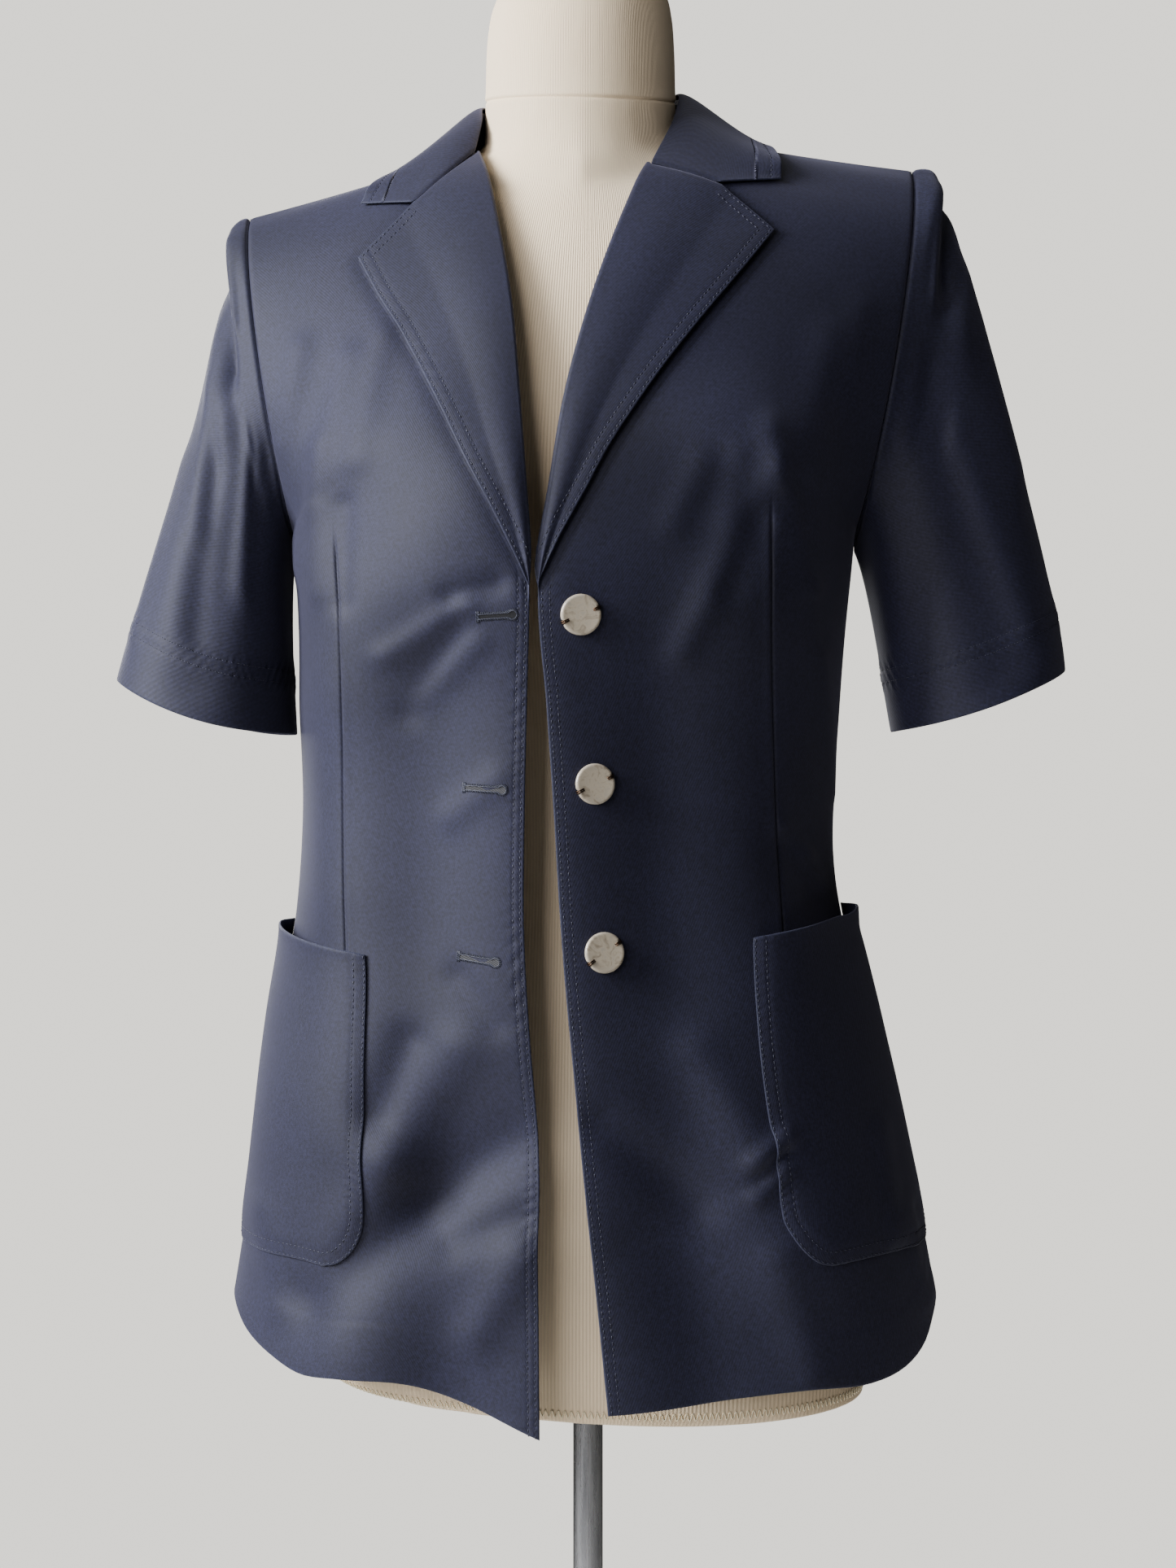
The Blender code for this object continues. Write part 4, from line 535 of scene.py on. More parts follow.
STITCH_SCATTER = 0.06
# A stitch from end to end: place along it, its thickness and its rise, as shares.
StitchRing = namedtuple("StitchRing", "along thick rise")
STITCH_RINGS = [StitchRing(0.0, 0.25, -1.2), StitchRing(0.14, 0.85, 0.1),
                StitchRing(0.5, 1.0, 0.45), StitchRing(0.86, 0.85, 0.1),
                StitchRing(1.0, 0.25, -1.2)]
STITCH_SIDES = 6

# Distances of the nets' lines from an edge, close where the cloth turns or is stitched.
EDGE_LINES = [0, 0.12, 0.4, 0.9, 1.4, 1.9, 2.4, 3.0, 4.0, 5.2, 5.9, 6.4, 6.9, 7.5, 8.2, 9.4,
              11.5, 14, 17]
SEAM_LINES = [0, 0.3, 0.7, 1.3, 2.2, 3.6, 5.6]
HEM_LINES = [0, 0.05, 0.18, 0.45, 0.9]
DART_LINES = [-8, -5, -3, -1.9, -1.2, -0.7, -0.35, 0, 0.35, 0.7, 1.2, 1.9, 3, 5, 8]
DART_DEPTH = 1.5
DART_WIDTH = 0.85
DART_RIDGE = 0.55         # height of the pressed fold beside the groove

# Flat cut of each piece as far as it shows, in metres and square metres.
Cut = namedtuple("Cut", "width length area held rests_on")
CUTS = {
    "front_right": Cut(0.280, 0.813, 0.157, "hung", ["form_jersey"]),
    "front_left": Cut(0.285, 0.807, 0.176, "hung", ["form_jersey"]),
    "back_right": Cut(0.271, 0.759, 0.158, "hung", ["form_jersey"]),
    "back_left": Cut(0.271, 0.759, 0.158, "hung", ["form_jersey"]),
    "sleeve_right": Cut(0.420, 0.313, 0.0645, "hung", ["front_right_cloth"]),
    "sleeve_left": Cut(0.420, 0.316, 0.0716, "hung", ["front_left_cloth"]),
    "lapel_right": Cut(0.109, 0.307, 0.0150, "folded", ["front_right_cloth"]),
    "lapel_left": Cut(0.096, 0.281, 0.0141, "folded", ["front_left_cloth"]),
    "collar_fall": Cut(0.094, 0.396, 0.0225, "folded", ["collar_stand_cloth"]),
    "collar_stand": Cut(0.025, 0.246, 0.0056, "folded", ["back_right_cloth"]),
    "pocket_right": Cut(0.153, 0.209, 0.0263, "laid", ["front_right_cloth"]),
    "pocket_left": Cut(0.164, 0.220, 0.0293, "laid", ["front_left_cloth"]),
}

# Lights of the stage: where each stands and what it aims at, in metres, its size, power and
# colour.
Lamp = namedtuple("Lamp", "name at aim size power colour")
LAMPS = [
    Lamp("window", (-1.95, -0.8, 2.0), (0.0, 0.0, 1.15), (1.1, 1.2), 170, "#F4F6FF"),
    Lamp("room", (-1.6, -2.7, 1.9), (0.0, 0.0, 1.1), (1.8, 1.6), 66, "#FAF8FF"),
    Lamp("back", (-1.5, 2.8, 2.0), (0.0, 0.0, 1.0), (2.4, 2.0), 90, "#FFFFFF"),
    Lamp("top", (0.0, 0.4, 3.4), (0.0, 0.0, 1.0), (2.5, 2.5), 10, "#FFFFFF"),
]
FLOOR_RINGS = [0.0, 0.5, 1.0, 1.5]
FLOOR_SIDES = 96


# Curves

def blend(start, end, share):
    """From start to end by a share between 0 and 1."""
    return start + (end - start) * share


def ramp(low, high, value):
    """0 below low, 1 above high and smooth between."""
    share = np.clip((value - low) / (high - low), 0.0, 1.0)
    return share * share * (3 - 2 * share)


def bump(centre, width, value):
    """1 at the centre, fading over a width to both sides."""
    return np.exp(-((value - centre) / width) ** 2)


def unit(vectors):
    """Vectors at length 1."""
    return vectors / np.maximum(np.linalg.norm(vectors, axis=-1, keepdims=True), 1e-12)


def paired(first, second):
    """Two arrays of places, brought to one shape."""
    return np.broadcast_arrays(np.asarray(first, float), np.asarray(second, float))


def named(rows, name):
    """One named value of every row of a table."""
    return np.array([getattr(row, name) for row in rows], float)


def slopes_at(rows, knots):
    """Slope of a smooth curve through rows at each knot, and the straight slopes between."""
    steps = np.diff(knots).reshape((-1,) + (1,) * (rows.ndim - 1))
    between = np.diff(rows, axis=0) / steps
    smooth = np.empty_like(rows)
    smooth[0] = between[0]
    smooth[-1] = between[-1]
    share = steps[1:] / (steps[:-1] + steps[1:])
    smooth[1:-1] = between[:-1] * share + between[1:] * (1 - share)
    return smooth, between


def cells_at(knots, places):
    """The stretch between knots that each place is in, its length and the share along it."""
    places = np.clip(np.asarray(places, float), knots[0], knots[-1])
    cell = np.clip(np.searchsorted(knots, places, side="right") - 1, 0, len(knots) - 2)
    step = knots[cell + 1] - knots[cell]
    return cell, step, (places - knots[cell]) / step


def hermite(start, start_slope, end, end_slope, share):
    """Cubic curve between two points with given slopes."""
    square = share * share
    cube = square * share
    return ((2 * cube - 3 * square + 1) * start + (cube - 2 * square + share) * start_slope
            + (3 * square - 2 * cube) * end + (cube - square) * end_slope)


def through(knots, values, places):
    """Smooth curve through one row of values for each knot, read at places."""
    knots = np.asarray(knots, float)
    values = np.asarray(values, float)
    smooth, _ = slopes_at(values, knots)
    cell, step, share = cells_at(knots, places)
    if values.ndim > 1:
        step = step[..., None]
        share = share[..., None]
    return hermite(values[cell], smooth[cell] * step, values[cell + 1],
                   smooth[cell + 1] * step, share)


def bezier(first, second, third, last, share):
    """Cubic curve by its four points."""
    rest = 1 - share
    return (rest ** 3 * first + 3 * rest * rest * share * second
            + 3 * rest * share * share * third + share ** 3 * last)


def run_lengths(points, axis=0):
    """Distance along rows of points, from 0."""
    steps = np.linalg.norm(np.diff(points, axis=axis), axis=-1)
    start = np.zeros_like(steps.take([0], axis))
    return np.concatenate([start, np.cumsum(steps, axis=axis)], axis=axis)


def read_line(line, places):
    """Points of a line of points at distances along it."""
    lengths = run_lengths(line)
    return np.stack([np.interp(places, lengths, axis) for axis in line.T], axis=-1)


def closed(line):
    """A ring of points with its first point again at its end."""
    return np.concatenate([line, line[:1]])


def resampled(points, step):
    """A row of points at even steps."""
    length = run_lengths(points)[-1]
    return read_line(points, np.linspace(0, length, max(2, int(length / step) + 1)))


def gap_to(points, line):
    """Distance of points to a line of points, and how far along it the nearest place is."""
    shape = points.shape[:-1]
    flat = points.reshape(-1, points.shape[-1])
    lengths = run_lengths(line)
    best = np.full(len(flat), 1e9)
    along = np.zeros(len(flat))
    for index in range(len(line) - 1):
        step = line[index + 1] - line[index]
        size = max(step @ step, 1e-12)
        share = np.clip((flat - line[index]) @ step / size, 0, 1)
        gap = ((flat - line[index] - share[:, None] * step) ** 2).sum(axis=1)
        nearer = gap < best
        best[nearer] = gap[nearer]
        along[nearer] = lengths[index] + share[nearer] * math.sqrt(size)
    return np.sqrt(best).reshape(shape), along.reshape(shape)


def fold_height(folds, across, up):
    """Sum of the folds' heights at places on the cloth."""
    total = np.zeros_like(across)
    for fold in folds:
        start = np.array([fold.x1, fold.z1])
        along = np.array([fold.x2, fold.z2]) - start
        share = ((across - start[0]) * along[0] + (up - start[1]) * along[1]) / (along @ along)
        share = np.clip(share, 0, 1)
        gap = np.hypot(across - start[0] - share * along[0], up - start[1] - share * along[1])
        total = total + fold.height * np.exp(-(gap / fold.width) ** 2)
    return total


# Panels

class Panel:
    """A front (facing -1) or back (facing 1): a smooth sheet from its centre edge to its side."""

    def __init__(self, edge, side, facing, folds, hem=None, neckline=False, keel=None):
        self.edge = np.array(edge, float)
        self.keel = keel
        spots = np.array(side + [Side(*SHOULDER_TIP, 0.0, 0.33, 0.33)])
        self.side = spots[:, :3]
        turns = np.radians(spots[:, 3])
        across = self.side - self.edge
        arrive = np.stack([np.cos(turns), -facing * np.sin(turns), 0 * turns], axis=1)
        reach = np.where(turns > 1.2, np.abs(across[:, 1]), np.linalg.norm(across, axis=1))
        self.near = self.edge + across * [1, 0, 1] * spots[:, 4:5]
        self.far = self.side - arrive * (reach * spots[:, 5])[:, None]
        self.near[:, 2] = self.edge[:, 2] + across[:, 2] / 3
        self.far[:, 2] = self.side[:, 2] - across[:, 2] / 3
        self.hem = hem
        self.knots = run_lengths(self.side)
        self.top = self.knots[-1]
        self.underarm = self.knots[UNDERARM]
        self.facing = facing
        self.folds = folds
        self.neckline = neckline
        self.find_s, self.find_t = np.meshgrid(np.linspace(0, 1, 22),
                                               np.linspace(0, self.top, 44), indexing="ij")
        self.find_points = self.point(self.find_s, self.find_t)

    def height_at(self, level):
        """Height t of a level that may lie between two rows."""
        return float(np.interp(level, np.arange(len(self.knots)), self.knots))

    def top_row(self, s):
        """Shoulder seam, with the neckline before it on the back."""
        if not self.neckline:
            return shoulder_seam(s)
        points = shoulder_seam(np.clip((s - NECKLINE_SHARE) / (1 - NECKLINE_SHARE), 0, 1))
        angle = np.clip(s / NECKLINE_SHARE, 0, 1) * math.pi / 2
        start = self.edge[-1]
        neck = np.array(NECK_POINT)
        curve = np.stack([neck[0] * np.sin(angle),
                          neck[1] + (start[1] - neck[1]) * np.cos(angle),
                          blend(neck[2], start[2], np.cos(angle))], axis=1)
        return np.where((s < NECKLINE_SHARE)[:, None], curve, points)

    def smooth(self, s, t):
        """Points of the sheet before its folds."""
        rows = bezier(self.edge[:, None], self.near[:, None], self.far[:, None],
                      self.side[:, None], s[None, :, None])
        if self.hem is not None:
            rows[0, :, 2] = through(np.linspace(0, 1, len(self.hem)), self.hem, s)
        rows[-1] = self.top_row(s)
        slope, between = slopes_at(rows, self.knots)
        corner = (s ** 8)[:, None]
        below = slope.copy()
        below[UNDERARM] = blend(slope[UNDERARM], between[UNDERARM - 1], corner)
        above = slope.copy()
        above[UNDERARM] = blend(slope[UNDERARM], between[UNDERARM], corner)
        cell, step, share = cells_at(self.knots, t)
        step = step[:, None]
        column = np.arange(len(s))
        return hermite(rows[cell, column], above[cell, column] * step,
                       rows[cell + 1, column], below[cell + 1, column] * step, share[:, None])

    def facing_out(self, surface, s, t):
        """Unit normals of a surface of this panel, away from the form."""
        small_s = 0.004
        small_t = 1.5
        across = (surface(np.minimum(s + small_s, 1), t) - surface(np.maximum(s - small_s, 0), t))
        up = (surface(s, np.minimum(t + small_t, self.top))
              - surface(s, np.maximum(t - small_t, 0)))
        return unit(np.cross(across, up)) * -self.facing

    def point(self, s, t):
        """Points of the sheet's outer face."""
        s, t = paired(s, t)
        shape = s.shape
        s = s.ravel()
        t = t.ravel()
        points = self.smooth(s, t)
        fade = (1 - s ** 6) * ramp(0, 60, self.top - t)
        height = fold_height(self.folds, points[:, 0], points[:, 2]) * fade
        if self.keel:
            height += self.keel_height(points, t)
        points = points + self.facing_out(self.smooth, s, t) * height[:, None]
        return points.reshape(shape + (3,))

    def keel_height(self, points, t):
        """How far the keel along the front edge and its hollow move points outward."""
        from_edge = points[:, 0] - through(self.knots, self.edge[:, 0], t)
        table = np.array(self.keel, float)
        lift, width, hollow, hollow_at, ridge, ridge_at = through(table[:, 0], table[:, 1:],
                                                                  points[:, 2]).T
        return (lift * bump(0, width, from_edge)
                - hollow * bump(hollow_at, HOLLOW_WIDTH, from_edge)
                + ridge * bump(ridge_at, RIDGE_WIDTH, from_edge))

    def normal(self, s, t):
        """Unit normals of the sheet's outer face."""
        s, t = paired(s, t)
        return self.facing_out(self.point, s.ravel(), t.ravel()).reshape(s.shape + (3,))

    def raised(self, s, t, height):
        """Points a given height off the outer face."""
        return self.point(s, t) + self.normal(s, t) * np.asarray(height, float)[..., None]

    def locate(self, x, z):
        """The s and t of the points seen at x and z from the front."""
        x, z = paired(x, z)
        shape = x.shape
        x = x.ravel()
        z = z.ravel()
        flat = self.find_points.reshape(-1, 3)
        gaps = (flat[None, :, 0] - x[:, None]) ** 2 + (flat[None, :, 2] - z[:, None]) ** 2
        nearest = np.argmin(gaps, axis=1)
        s = self.find_s.ravel()[nearest]
        t = self.find_t.ravel()[nearest]
        small = 1e-3
        for _ in range(7):
            here = self.point(s, t)
            by_s = (self.point(np.minimum(s + small, 1), t) - here) / small
            backward = s + small > 1
            by_s[backward] = ((here - self.point(s - small, t)) / small)[backward]
            by_t = self.point(s, np.minimum(t + 0.5, self.top)) - self.point(s, t - 0.5)
            miss_x = x - here[:, 0]
            miss_z = z - here[:, 2]
            area = by_s[:, 0] * by_t[:, 2] - by_s[:, 2] * by_t[:, 0]
            area = np.where(np.abs(area) < 1e-6, 1e-6, area)
            s = np.clip(s + (miss_x * by_t[:, 2] - miss_z * by_t[:, 0]) / area, 0, 1)
            t = np.clip(t + (miss_z * by_s[:, 0] - miss_x * by_s[:, 2]) / area, 0, self.top)
        return s.reshape(shape), t.reshape(shape)

    def over(self, flat, height):
        """Points a given height above the cloth at flat places, each an x and a z."""
        s, t = self.locate(flat[..., 0], flat[..., 1])
        return self.raised(s, t, height)

    def row_line(self, t):
        """Shares across one row, its points and the distances along it."""
        shares = np.linspace(0, 1, 90)
        line = self.point(shares, np.full(90, t))
        return shares, line, run_lengths(line)

    def from_side(self, x, z):
        """Distance along the cloth from the side seam to the point seen at x and z."""
        s, t = self.locate(np.array([x]), np.array([z]))
        shares = np.linspace(s[0], 1, 40)
        return run_lengths(self.point(shares, np.full(40, t[0])))[-1]


def shoulder_seam(share):
    """Points from the neck point to the shoulder tip."""
    start = np.array(NECK_POINT)
    end = np.array(SHOULDER_TIP)
    points = start + (end - start) * share[:, None]
    points[:, 2] -= SHOULDER_HOLLOW * np.sin(share * math.pi)
    return points


def seam_up():
    """Direction out of the shoulder seam, which both panels share there."""
    along = unit(np.array(SHOULDER_TIP) - np.array(NECK_POINT))
    up = np.array([0.0, 0.0, 1.0])
    return unit(up - along * (up @ along))


@functools.cache
def front_panel(side):
    """The front of one side."""
    return Panel(FRONT_EDGE[side], SIDE_SEAM + FRONT_ARMHOLE, -1.0, FRONT_FOLDS[side],
                 hem=HEMS[side], keel=KEELS[side])


@functools.cache
def back_panel():
    """Half of the back, from the centre seam."""
    edge = [(0.0, spine.y, spine.z) for spine in CENTRE_BACK]
    return Panel(edge, SIDE_SEAM + BACK_ARMHOLE, 1.0, BACK_FOLDS, neckline=True)


def place(points, side="left"):
    """Garment points, x outward, to the leaning garment in metres above the floor."""
    x = points[..., 0] * SIDES[side]
    y = points[..., 1]
    z = points[..., 2]
    lean = through(named(LEAN, "height"), named(LEAN, "shift"), z)
    lift = SHOULDER_SLOPE * x * ramp(SLOPE_STARTS, SLOPE_FULL, z)
    return np.stack([x + lean, y, z + lift + DATUM], axis=-1) * MM


# Sheets of cloth

def grid_faces(rows, columns, ring=False):
    """Corner indexes of a net's faces; a ring's last column meets its first."""
    row, column = np.meshgrid(np.arange(rows - 1), np.arange(columns if ring else columns - 1),
                              indexing="ij")
    beside = (column + 1) % columns
    low = row * columns
    high = low + columns
    return np.stack([low + column, low + beside, high + beside, high + column],
                    axis=-1).reshape(-1, 4)


class Sheet:
    """A net of points on the outer face of a piece, with unit normals, in garment millimetres.

    relief lifts the outer face alone, rim is the distance to the nearest free edge and wear
    says where the dye has paled.
    """

    def __init__(self, points, normals, ring=False, thick=SHELL):
        self.points = points
        self.normals = normals
        self.ring = ring
        self.thick = thick
        self.relief = np.zeros(points.shape[:2])
        self.rim = np.full(points.shape[:2], FAR)
        self.wear = np.zeros(points.shape[:2])
        self.tree = None

    def faces(self):
        """Corner indexes of the net's faces."""
        return grid_faces(*self.points.shape[:2], self.ring)

    def outer(self):
        """The outer face with its relief."""
        return self.points + self.normals * self.relief[..., None]

    def seat(self, points, height):
        """Points moved onto the outer face and a height off it, with the normals there."""
        faces = self.faces()
        if self.tree is None:
            self.tree = BVHTree.FromPolygons(self.outer().reshape(-1, 3).tolist(),
                                             faces.tolist())
        normals = self.normals.reshape(-1, 3)
        seated = np.empty_like(points)
        upward = np.empty_like(points)
        for index, point in enumerate(points):
            found, _, face, _ = self.tree.find_nearest(point.tolist())
            seated[index] = found
            upward[index] = normals[faces[face]].mean(axis=0)
        upward = unit(upward)
        return seated + upward * np.broadcast_to(height, len(points))[:, None], upward

    def free_edge(self, line):
        """Count a line as a free edge."""
        gap, _ = gap_to(self.points, line)
        self.rim = np.minimum(self.rim, gap)
        self.wear = np.maximum(self.wear, np.exp(-gap / WEAR_WIDTH))

    def stitched(self, line, sewing):
        """Relief of an edge that is stitched down, its puckers unevenly spaced and deep."""
        gap, along = gap_to(self.points, line)
        first = min(sewing.rows)
        last = max(sewing.rows)
        seed = sewing.seed
        self.relief += sewing.band * (1 - ramp(last - 1.4, last - 0.2, gap))
        for distance in sewing.rows:
            self.relief -= sewing.groove * bump(distance, GROOVE_WIDTH, gap)
        uneven = 2.1 * np.sin(along / 31.0 + seed) + 1.3 * np.sin(along / 12.7 + 2 * seed)
        drawn = np.sin(2 * math.pi * (along + 0.5 * gap + 2.2 * uneven) / sewing.wave)
        strength = 0.65 + 0.35 * np.sin(along / 23.0 + 3 * seed)
        reach = ramp(first - sewing.lead, first + 0.6, gap)
        reach = reach * (1 - ramp(last, last + sewing.fade, gap))
        self.relief += sewing.pucker * drawn * strength * reach

    def seamed(self, line, depth=1.5, width=1.0):
        """Relief of an edge that turns into a seam."""
        gap, _ = gap_to(self.points, line)
        drop = depth * np.exp(-(gap / width) ** 1.5)
        self.points = self.points - self.normals * drop[..., None]

    def hemmed(self, line, width):
        """Relief where a body hem's inner edge shows through, this wide; returns the gap."""
        gap, along = gap_to(self.points, line)
        self.relief -= HEM_DENT * bump(BODY_HEM, width, gap) * (0.6 + 0.4 * np.sin(along / 17))
        return gap


def add_object(name, data):
    """An object in the scene."""
    made = bpy.data.objects.new(name, data)
    bpy.context.scene.collection.objects.link(made)
    return made


def add_mesh(name, vertices, faces, finish, places=None, wear=None):
    """An object of one mesh, with its flat places as UVs and its wear as an attribute."""
    mesh = bpy.data.meshes.new(name)
    mesh.from_pydata(np.asarray(vertices).tolist(), [], [list(face) for face in faces])
    mesh.validate()
    mesh.materials.append(finish)
    mesh.shade_smooth()
    if places is not None:
        layer = mesh.uv_layers.new(name="flat")
        corners = np.zeros(len(mesh.loops), np.int32)
        mesh.loops.foreach_get("vertex_index", corners)
        layer.data.foreach_set("uv", (np.asarray(places)[corners] * MM).ravel())
    if wear is not None:
        attribute = mesh.attributes.new("wear", "FLOAT", "POINT")
        attribute.data.foreach_set("value", np.asarray(wear, np.float32))
    return add_object(name, mesh)


def close_up(made, distance=0.0):
    """Join vertices that lie within a distance and turn the closed mesh's faces outward."""
    net = bmesh.new()
    net.from_mesh(made.data)
    if distance:
        bmesh.ops.remove_doubles(net, verts=net.verts, dist=distance)
    bmesh.ops.recalc_face_normals(net, faces=net.faces)
    net.to_mesh(made.data)
    net.free()
    made.data.shade_smooth()


def state(made, slot_name, node=None):
    """State what a piece moves with, its slot and the frame's node that it stands for."""
    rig.ride(made, "root")
    if node:
        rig.replaces(made, node)
    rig.slot(made, slot_name)
    return made


def add_shell(name, sheet, side="left"):
    """A sheet as a thin closed shell whose free edges are round."""
    half = sheet.thick / 2
    share = 1 - np.minimum(sheet.rim / half, 1)
    round_by = half * np.maximum(np.sqrt(1 - share ** 2), LEAST_ROUND)
    middle = sheet.points - sheet.normals * half
    relief = sheet.relief * ramp(0, EDGE_FADE, sheet.rim)
    outer = middle + sheet.normals * (round_by + relief)[..., None]
    inner = middle - sheet.normals * round_by[..., None]
    rows, columns = sheet.points.shape[:2]
    count = rows * columns
    vertices = place(np.concatenate([outer.reshape(-1, 3), inner.reshape(-1, 3)]), side)
    front = sheet.faces()
    behind = front[:, ::-1] + count
    first = np.arange(columns)
    rings = [first, (rows - 1) * columns + first[::-1]]
    if sheet.ring:
        rings = [closed(ring) for ring in rings]
    else:
        upward = np.arange(rows) * columns
        rings.extend([upward[::-1], upward + columns - 1])
    strips = [np.stack([ring[1:], ring[:-1], ring[:-1] + count, ring[1:] + count], axis=1)
              for ring in rings]
    faces = np.concatenate([front, behind] + strips)
    corners = vertices[front[:, :3]]
    flat = np.cross(corners[:, 1] - corners[:, 0], corners[:, 2] - corners[:, 0])
    toward = vertices[front[:, 0]] - vertices[behind[:, 3]]
    if (flat * toward).sum() < 0:
        faces = faces[:, ::-1]
    places = np.stack([run_lengths(sheet.points, 1), run_lengths(sheet.points, 0)], axis=-1)
    places = places.reshape(-1, 2)
    wear = sheet.wear.ravel()
    made = add_mesh(name + "_cloth", vertices, faces.tolist(), finish("navy_twill"),
                    np.concatenate([places, places]), np.concatenate([wear, 0.5 * wear]))
    return state(made, "navy_twill", name)


def declare(name, made, extras):
    """State the cut of a sheet and the pieces sewn on it."""
    cut = CUTS[name]
    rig.sheet(made, flat=(cut.width, cut.length), held=cut.held, rests_on=cut.rests_on,
             area=cut.area, with_pieces=extras)


# Thread

def inset_line(sheet, line, distance):
    """A line a distance inside an edge of a sheet, with mitred corners."""
    line = np.asarray(line, float)
    _, upward = sheet.seat(line, np.zeros(len(line)))
    ahead = unit(np.diff(line, axis=0))
    middle = sheet.points.reshape(-1, 3).mean(axis=0)
    inward = unit(np.cross((upward[1:] + upward[:-1]) / 2, ahead))
    centre = line.mean(axis=0)
    if ((middle - centre) * inward).sum() < 0:
        inward = -inward
    before = np.concatenate([inward[:1], inward])
    after = np.concatenate([inward, inward[-1:]])
    joined = before + after
    joined *= 2 / np.maximum((joined ** 2).sum(axis=1), 0.5)[:, None]
    return line + distance * joined


def inset_round(sheet, first, second, distance):
    """A line a distance inside two edges that meet at a corner."""
    corner = first[-1]
    kept = [part[np.linalg.norm(part - corner, axis=1) > distance] for part in (first, second)]
    return inset_line(sheet, np.concatenate([kept[0], [corner], kept[1]]), distance)


def swept(centres, upward, radius, sides=STITCH_SIDES):
    """Vertices and faces of tubes along several lines of points, closed at both ends."""
    count, stations = centres.shape[:2]
    ahead = unit(np.gradient(centres, axis=1))
    aside = unit(np.cross(ahead, upward))
    over = np.cross(aside, ahead)
    angle = np.linspace(0, 2 * math.pi, sides, endpoint=False)
    around = (aside[:, :, None] * np.cos(angle)[None, None, :, None]
              + over[:, :, None] * np.sin(angle)[None, None, :, None])
    vertices = centres[:, :, None] + around * radius[..., None, None]
    size = stations * sides
    one = grid_faces(stations, sides, True).tolist()
    one.append(list(range(sides))[::-1])
    one.append(list(range(size - sides, size)))
    faces = [[corner + index * size for corner in face] for index in range(count)
             for face in one]
    return vertices.reshape(-1, 3), faces


def tube(line, upward, radius, sides=STITCH_SIDES):
    """Vertices and faces of one even tube along a line of points."""
    return swept(line[None], np.broadcast_to(upward, line.shape)[None],
                 np.full((1, len(line)), radius), sides)


def stitch_row(sheet, line, seed, stitch):
    """Vertices and faces of a row of stitches along a line on a sheet's outer face."""
    chance = np.random.default_rng(seed)
    count = int(run_lengths(line)[-1] / stitch.pitch)
    starts = (np.arange(count) + 0.5 * (1 - stitch.length / stitch.pitch)) * stitch.pitch
    starts = starts + chance.normal(0, STITCH_SCATTER, count)
    along = starts[:, None] + stitch.length * named(STITCH_RINGS, "along")
    spots = read_line(line, along)
    heights = np.broadcast_to(named(STITCH_RINGS, "rise") * stitch.thick, along.shape)
    seated, upward = sheet.seat(spots.reshape(-1, 3), heights.ravel())
    radius = np.broadcast_to(stitch.thick * named(STITCH_RINGS, "thick"), along.shape)
    return swept(seated.reshape(spots.shape), upward.reshape(spots.shape), radius)


def joined(parts):
    """Vertices and faces of several meshes as one."""
    vertices = []
    faces = []
    skip = 0
    for points, corners in parts:
        vertices.append(points)
        faces.extend([[corner + skip for corner in face] for face in corners])
        skip += len(points)
    return np.concatenate(vertices), faces


def add_thread(name, parts, side, finish_name="topstitch_thread"):
    """All the stitches of one piece as an object, or the near-black patches of painted shade in the buttonhole slits.
    """
    vertices, faces = joined(parts)
    made = add_mesh(name, place(vertices, side), faces, finish(finish_name))
    return state(made, "navy_twill")


def add_rows(name, sheet, lines, sewing, side="left", stitch=TOPSTITCH):
    """Rows of stitches along lines on a sheet, as one object."""
    rows = [stitch_row(sheet, line, sewing.draw + number, stitch)
            for number, line in enumerate(lines)]
    return add_thread(name + "_stitches", rows, side)


# Materials

def linear(text):
    """Linear colour of an sRGB hex value."""
    parts = [int(text[place_in:place_in + 2], 16) / 255 for place_in in (1, 3, 5)]
    return tuple(part / 12.92 if part <= 0.04045 else ((part + 0.055) / 1.055) ** 2.4
                 for part in parts) + (1.0,)


def set_inputs(node, inputs):
    """Set a node's inputs, each to a value or to a (node, output name) that feeds it."""
    for name, value in inputs.items():
        socket = node.inputs[name]
        if isinstance(value, tuple) and isinstance(value[0], bpy.types.Node):
            node.id_data.links.new(value[0].outputs[value[1]], socket)
        else:
            socket.default_value = value


def add_node(tree, kind, settings=None, inputs=None, stops=()):
    """One node with its settings, its inputs and any (place, hex) stops of its colours."""
    made = tree.nodes.new(kind)
    for name, value in (settings or {}).items():
        setattr(made, name, value)
    set_inputs(made, inputs or {})
    if stops:
        marks = made.color_ramp.elements
        while len(marks) < len(stops):
            marks.new(0.5)
        for mark, (where, text) in zip(marks, stops):
            mark.position = where
            mark.color = linear(text)
    return made


def new_material(name, sockets):
    """A material with its shader's even values set, with its tree, its shader and a source of
    places on the object."""
    made = bpy.data.materials.new(name)
    made.use_nodes = True
    tree = made.node_tree
    shader = tree.nodes["Principled BSDF"]
    set_inputs(shader, sockets)
    places = add_node(tree, "ShaderNodeTexCoord")
    return made, tree, shader, (places, "Object")


def band_scale(spacing):
    """Scale of a wave texture for bands a spacing in millimetres apart, in metres."""
    return 2 * math.pi / (20 * spacing * MM)


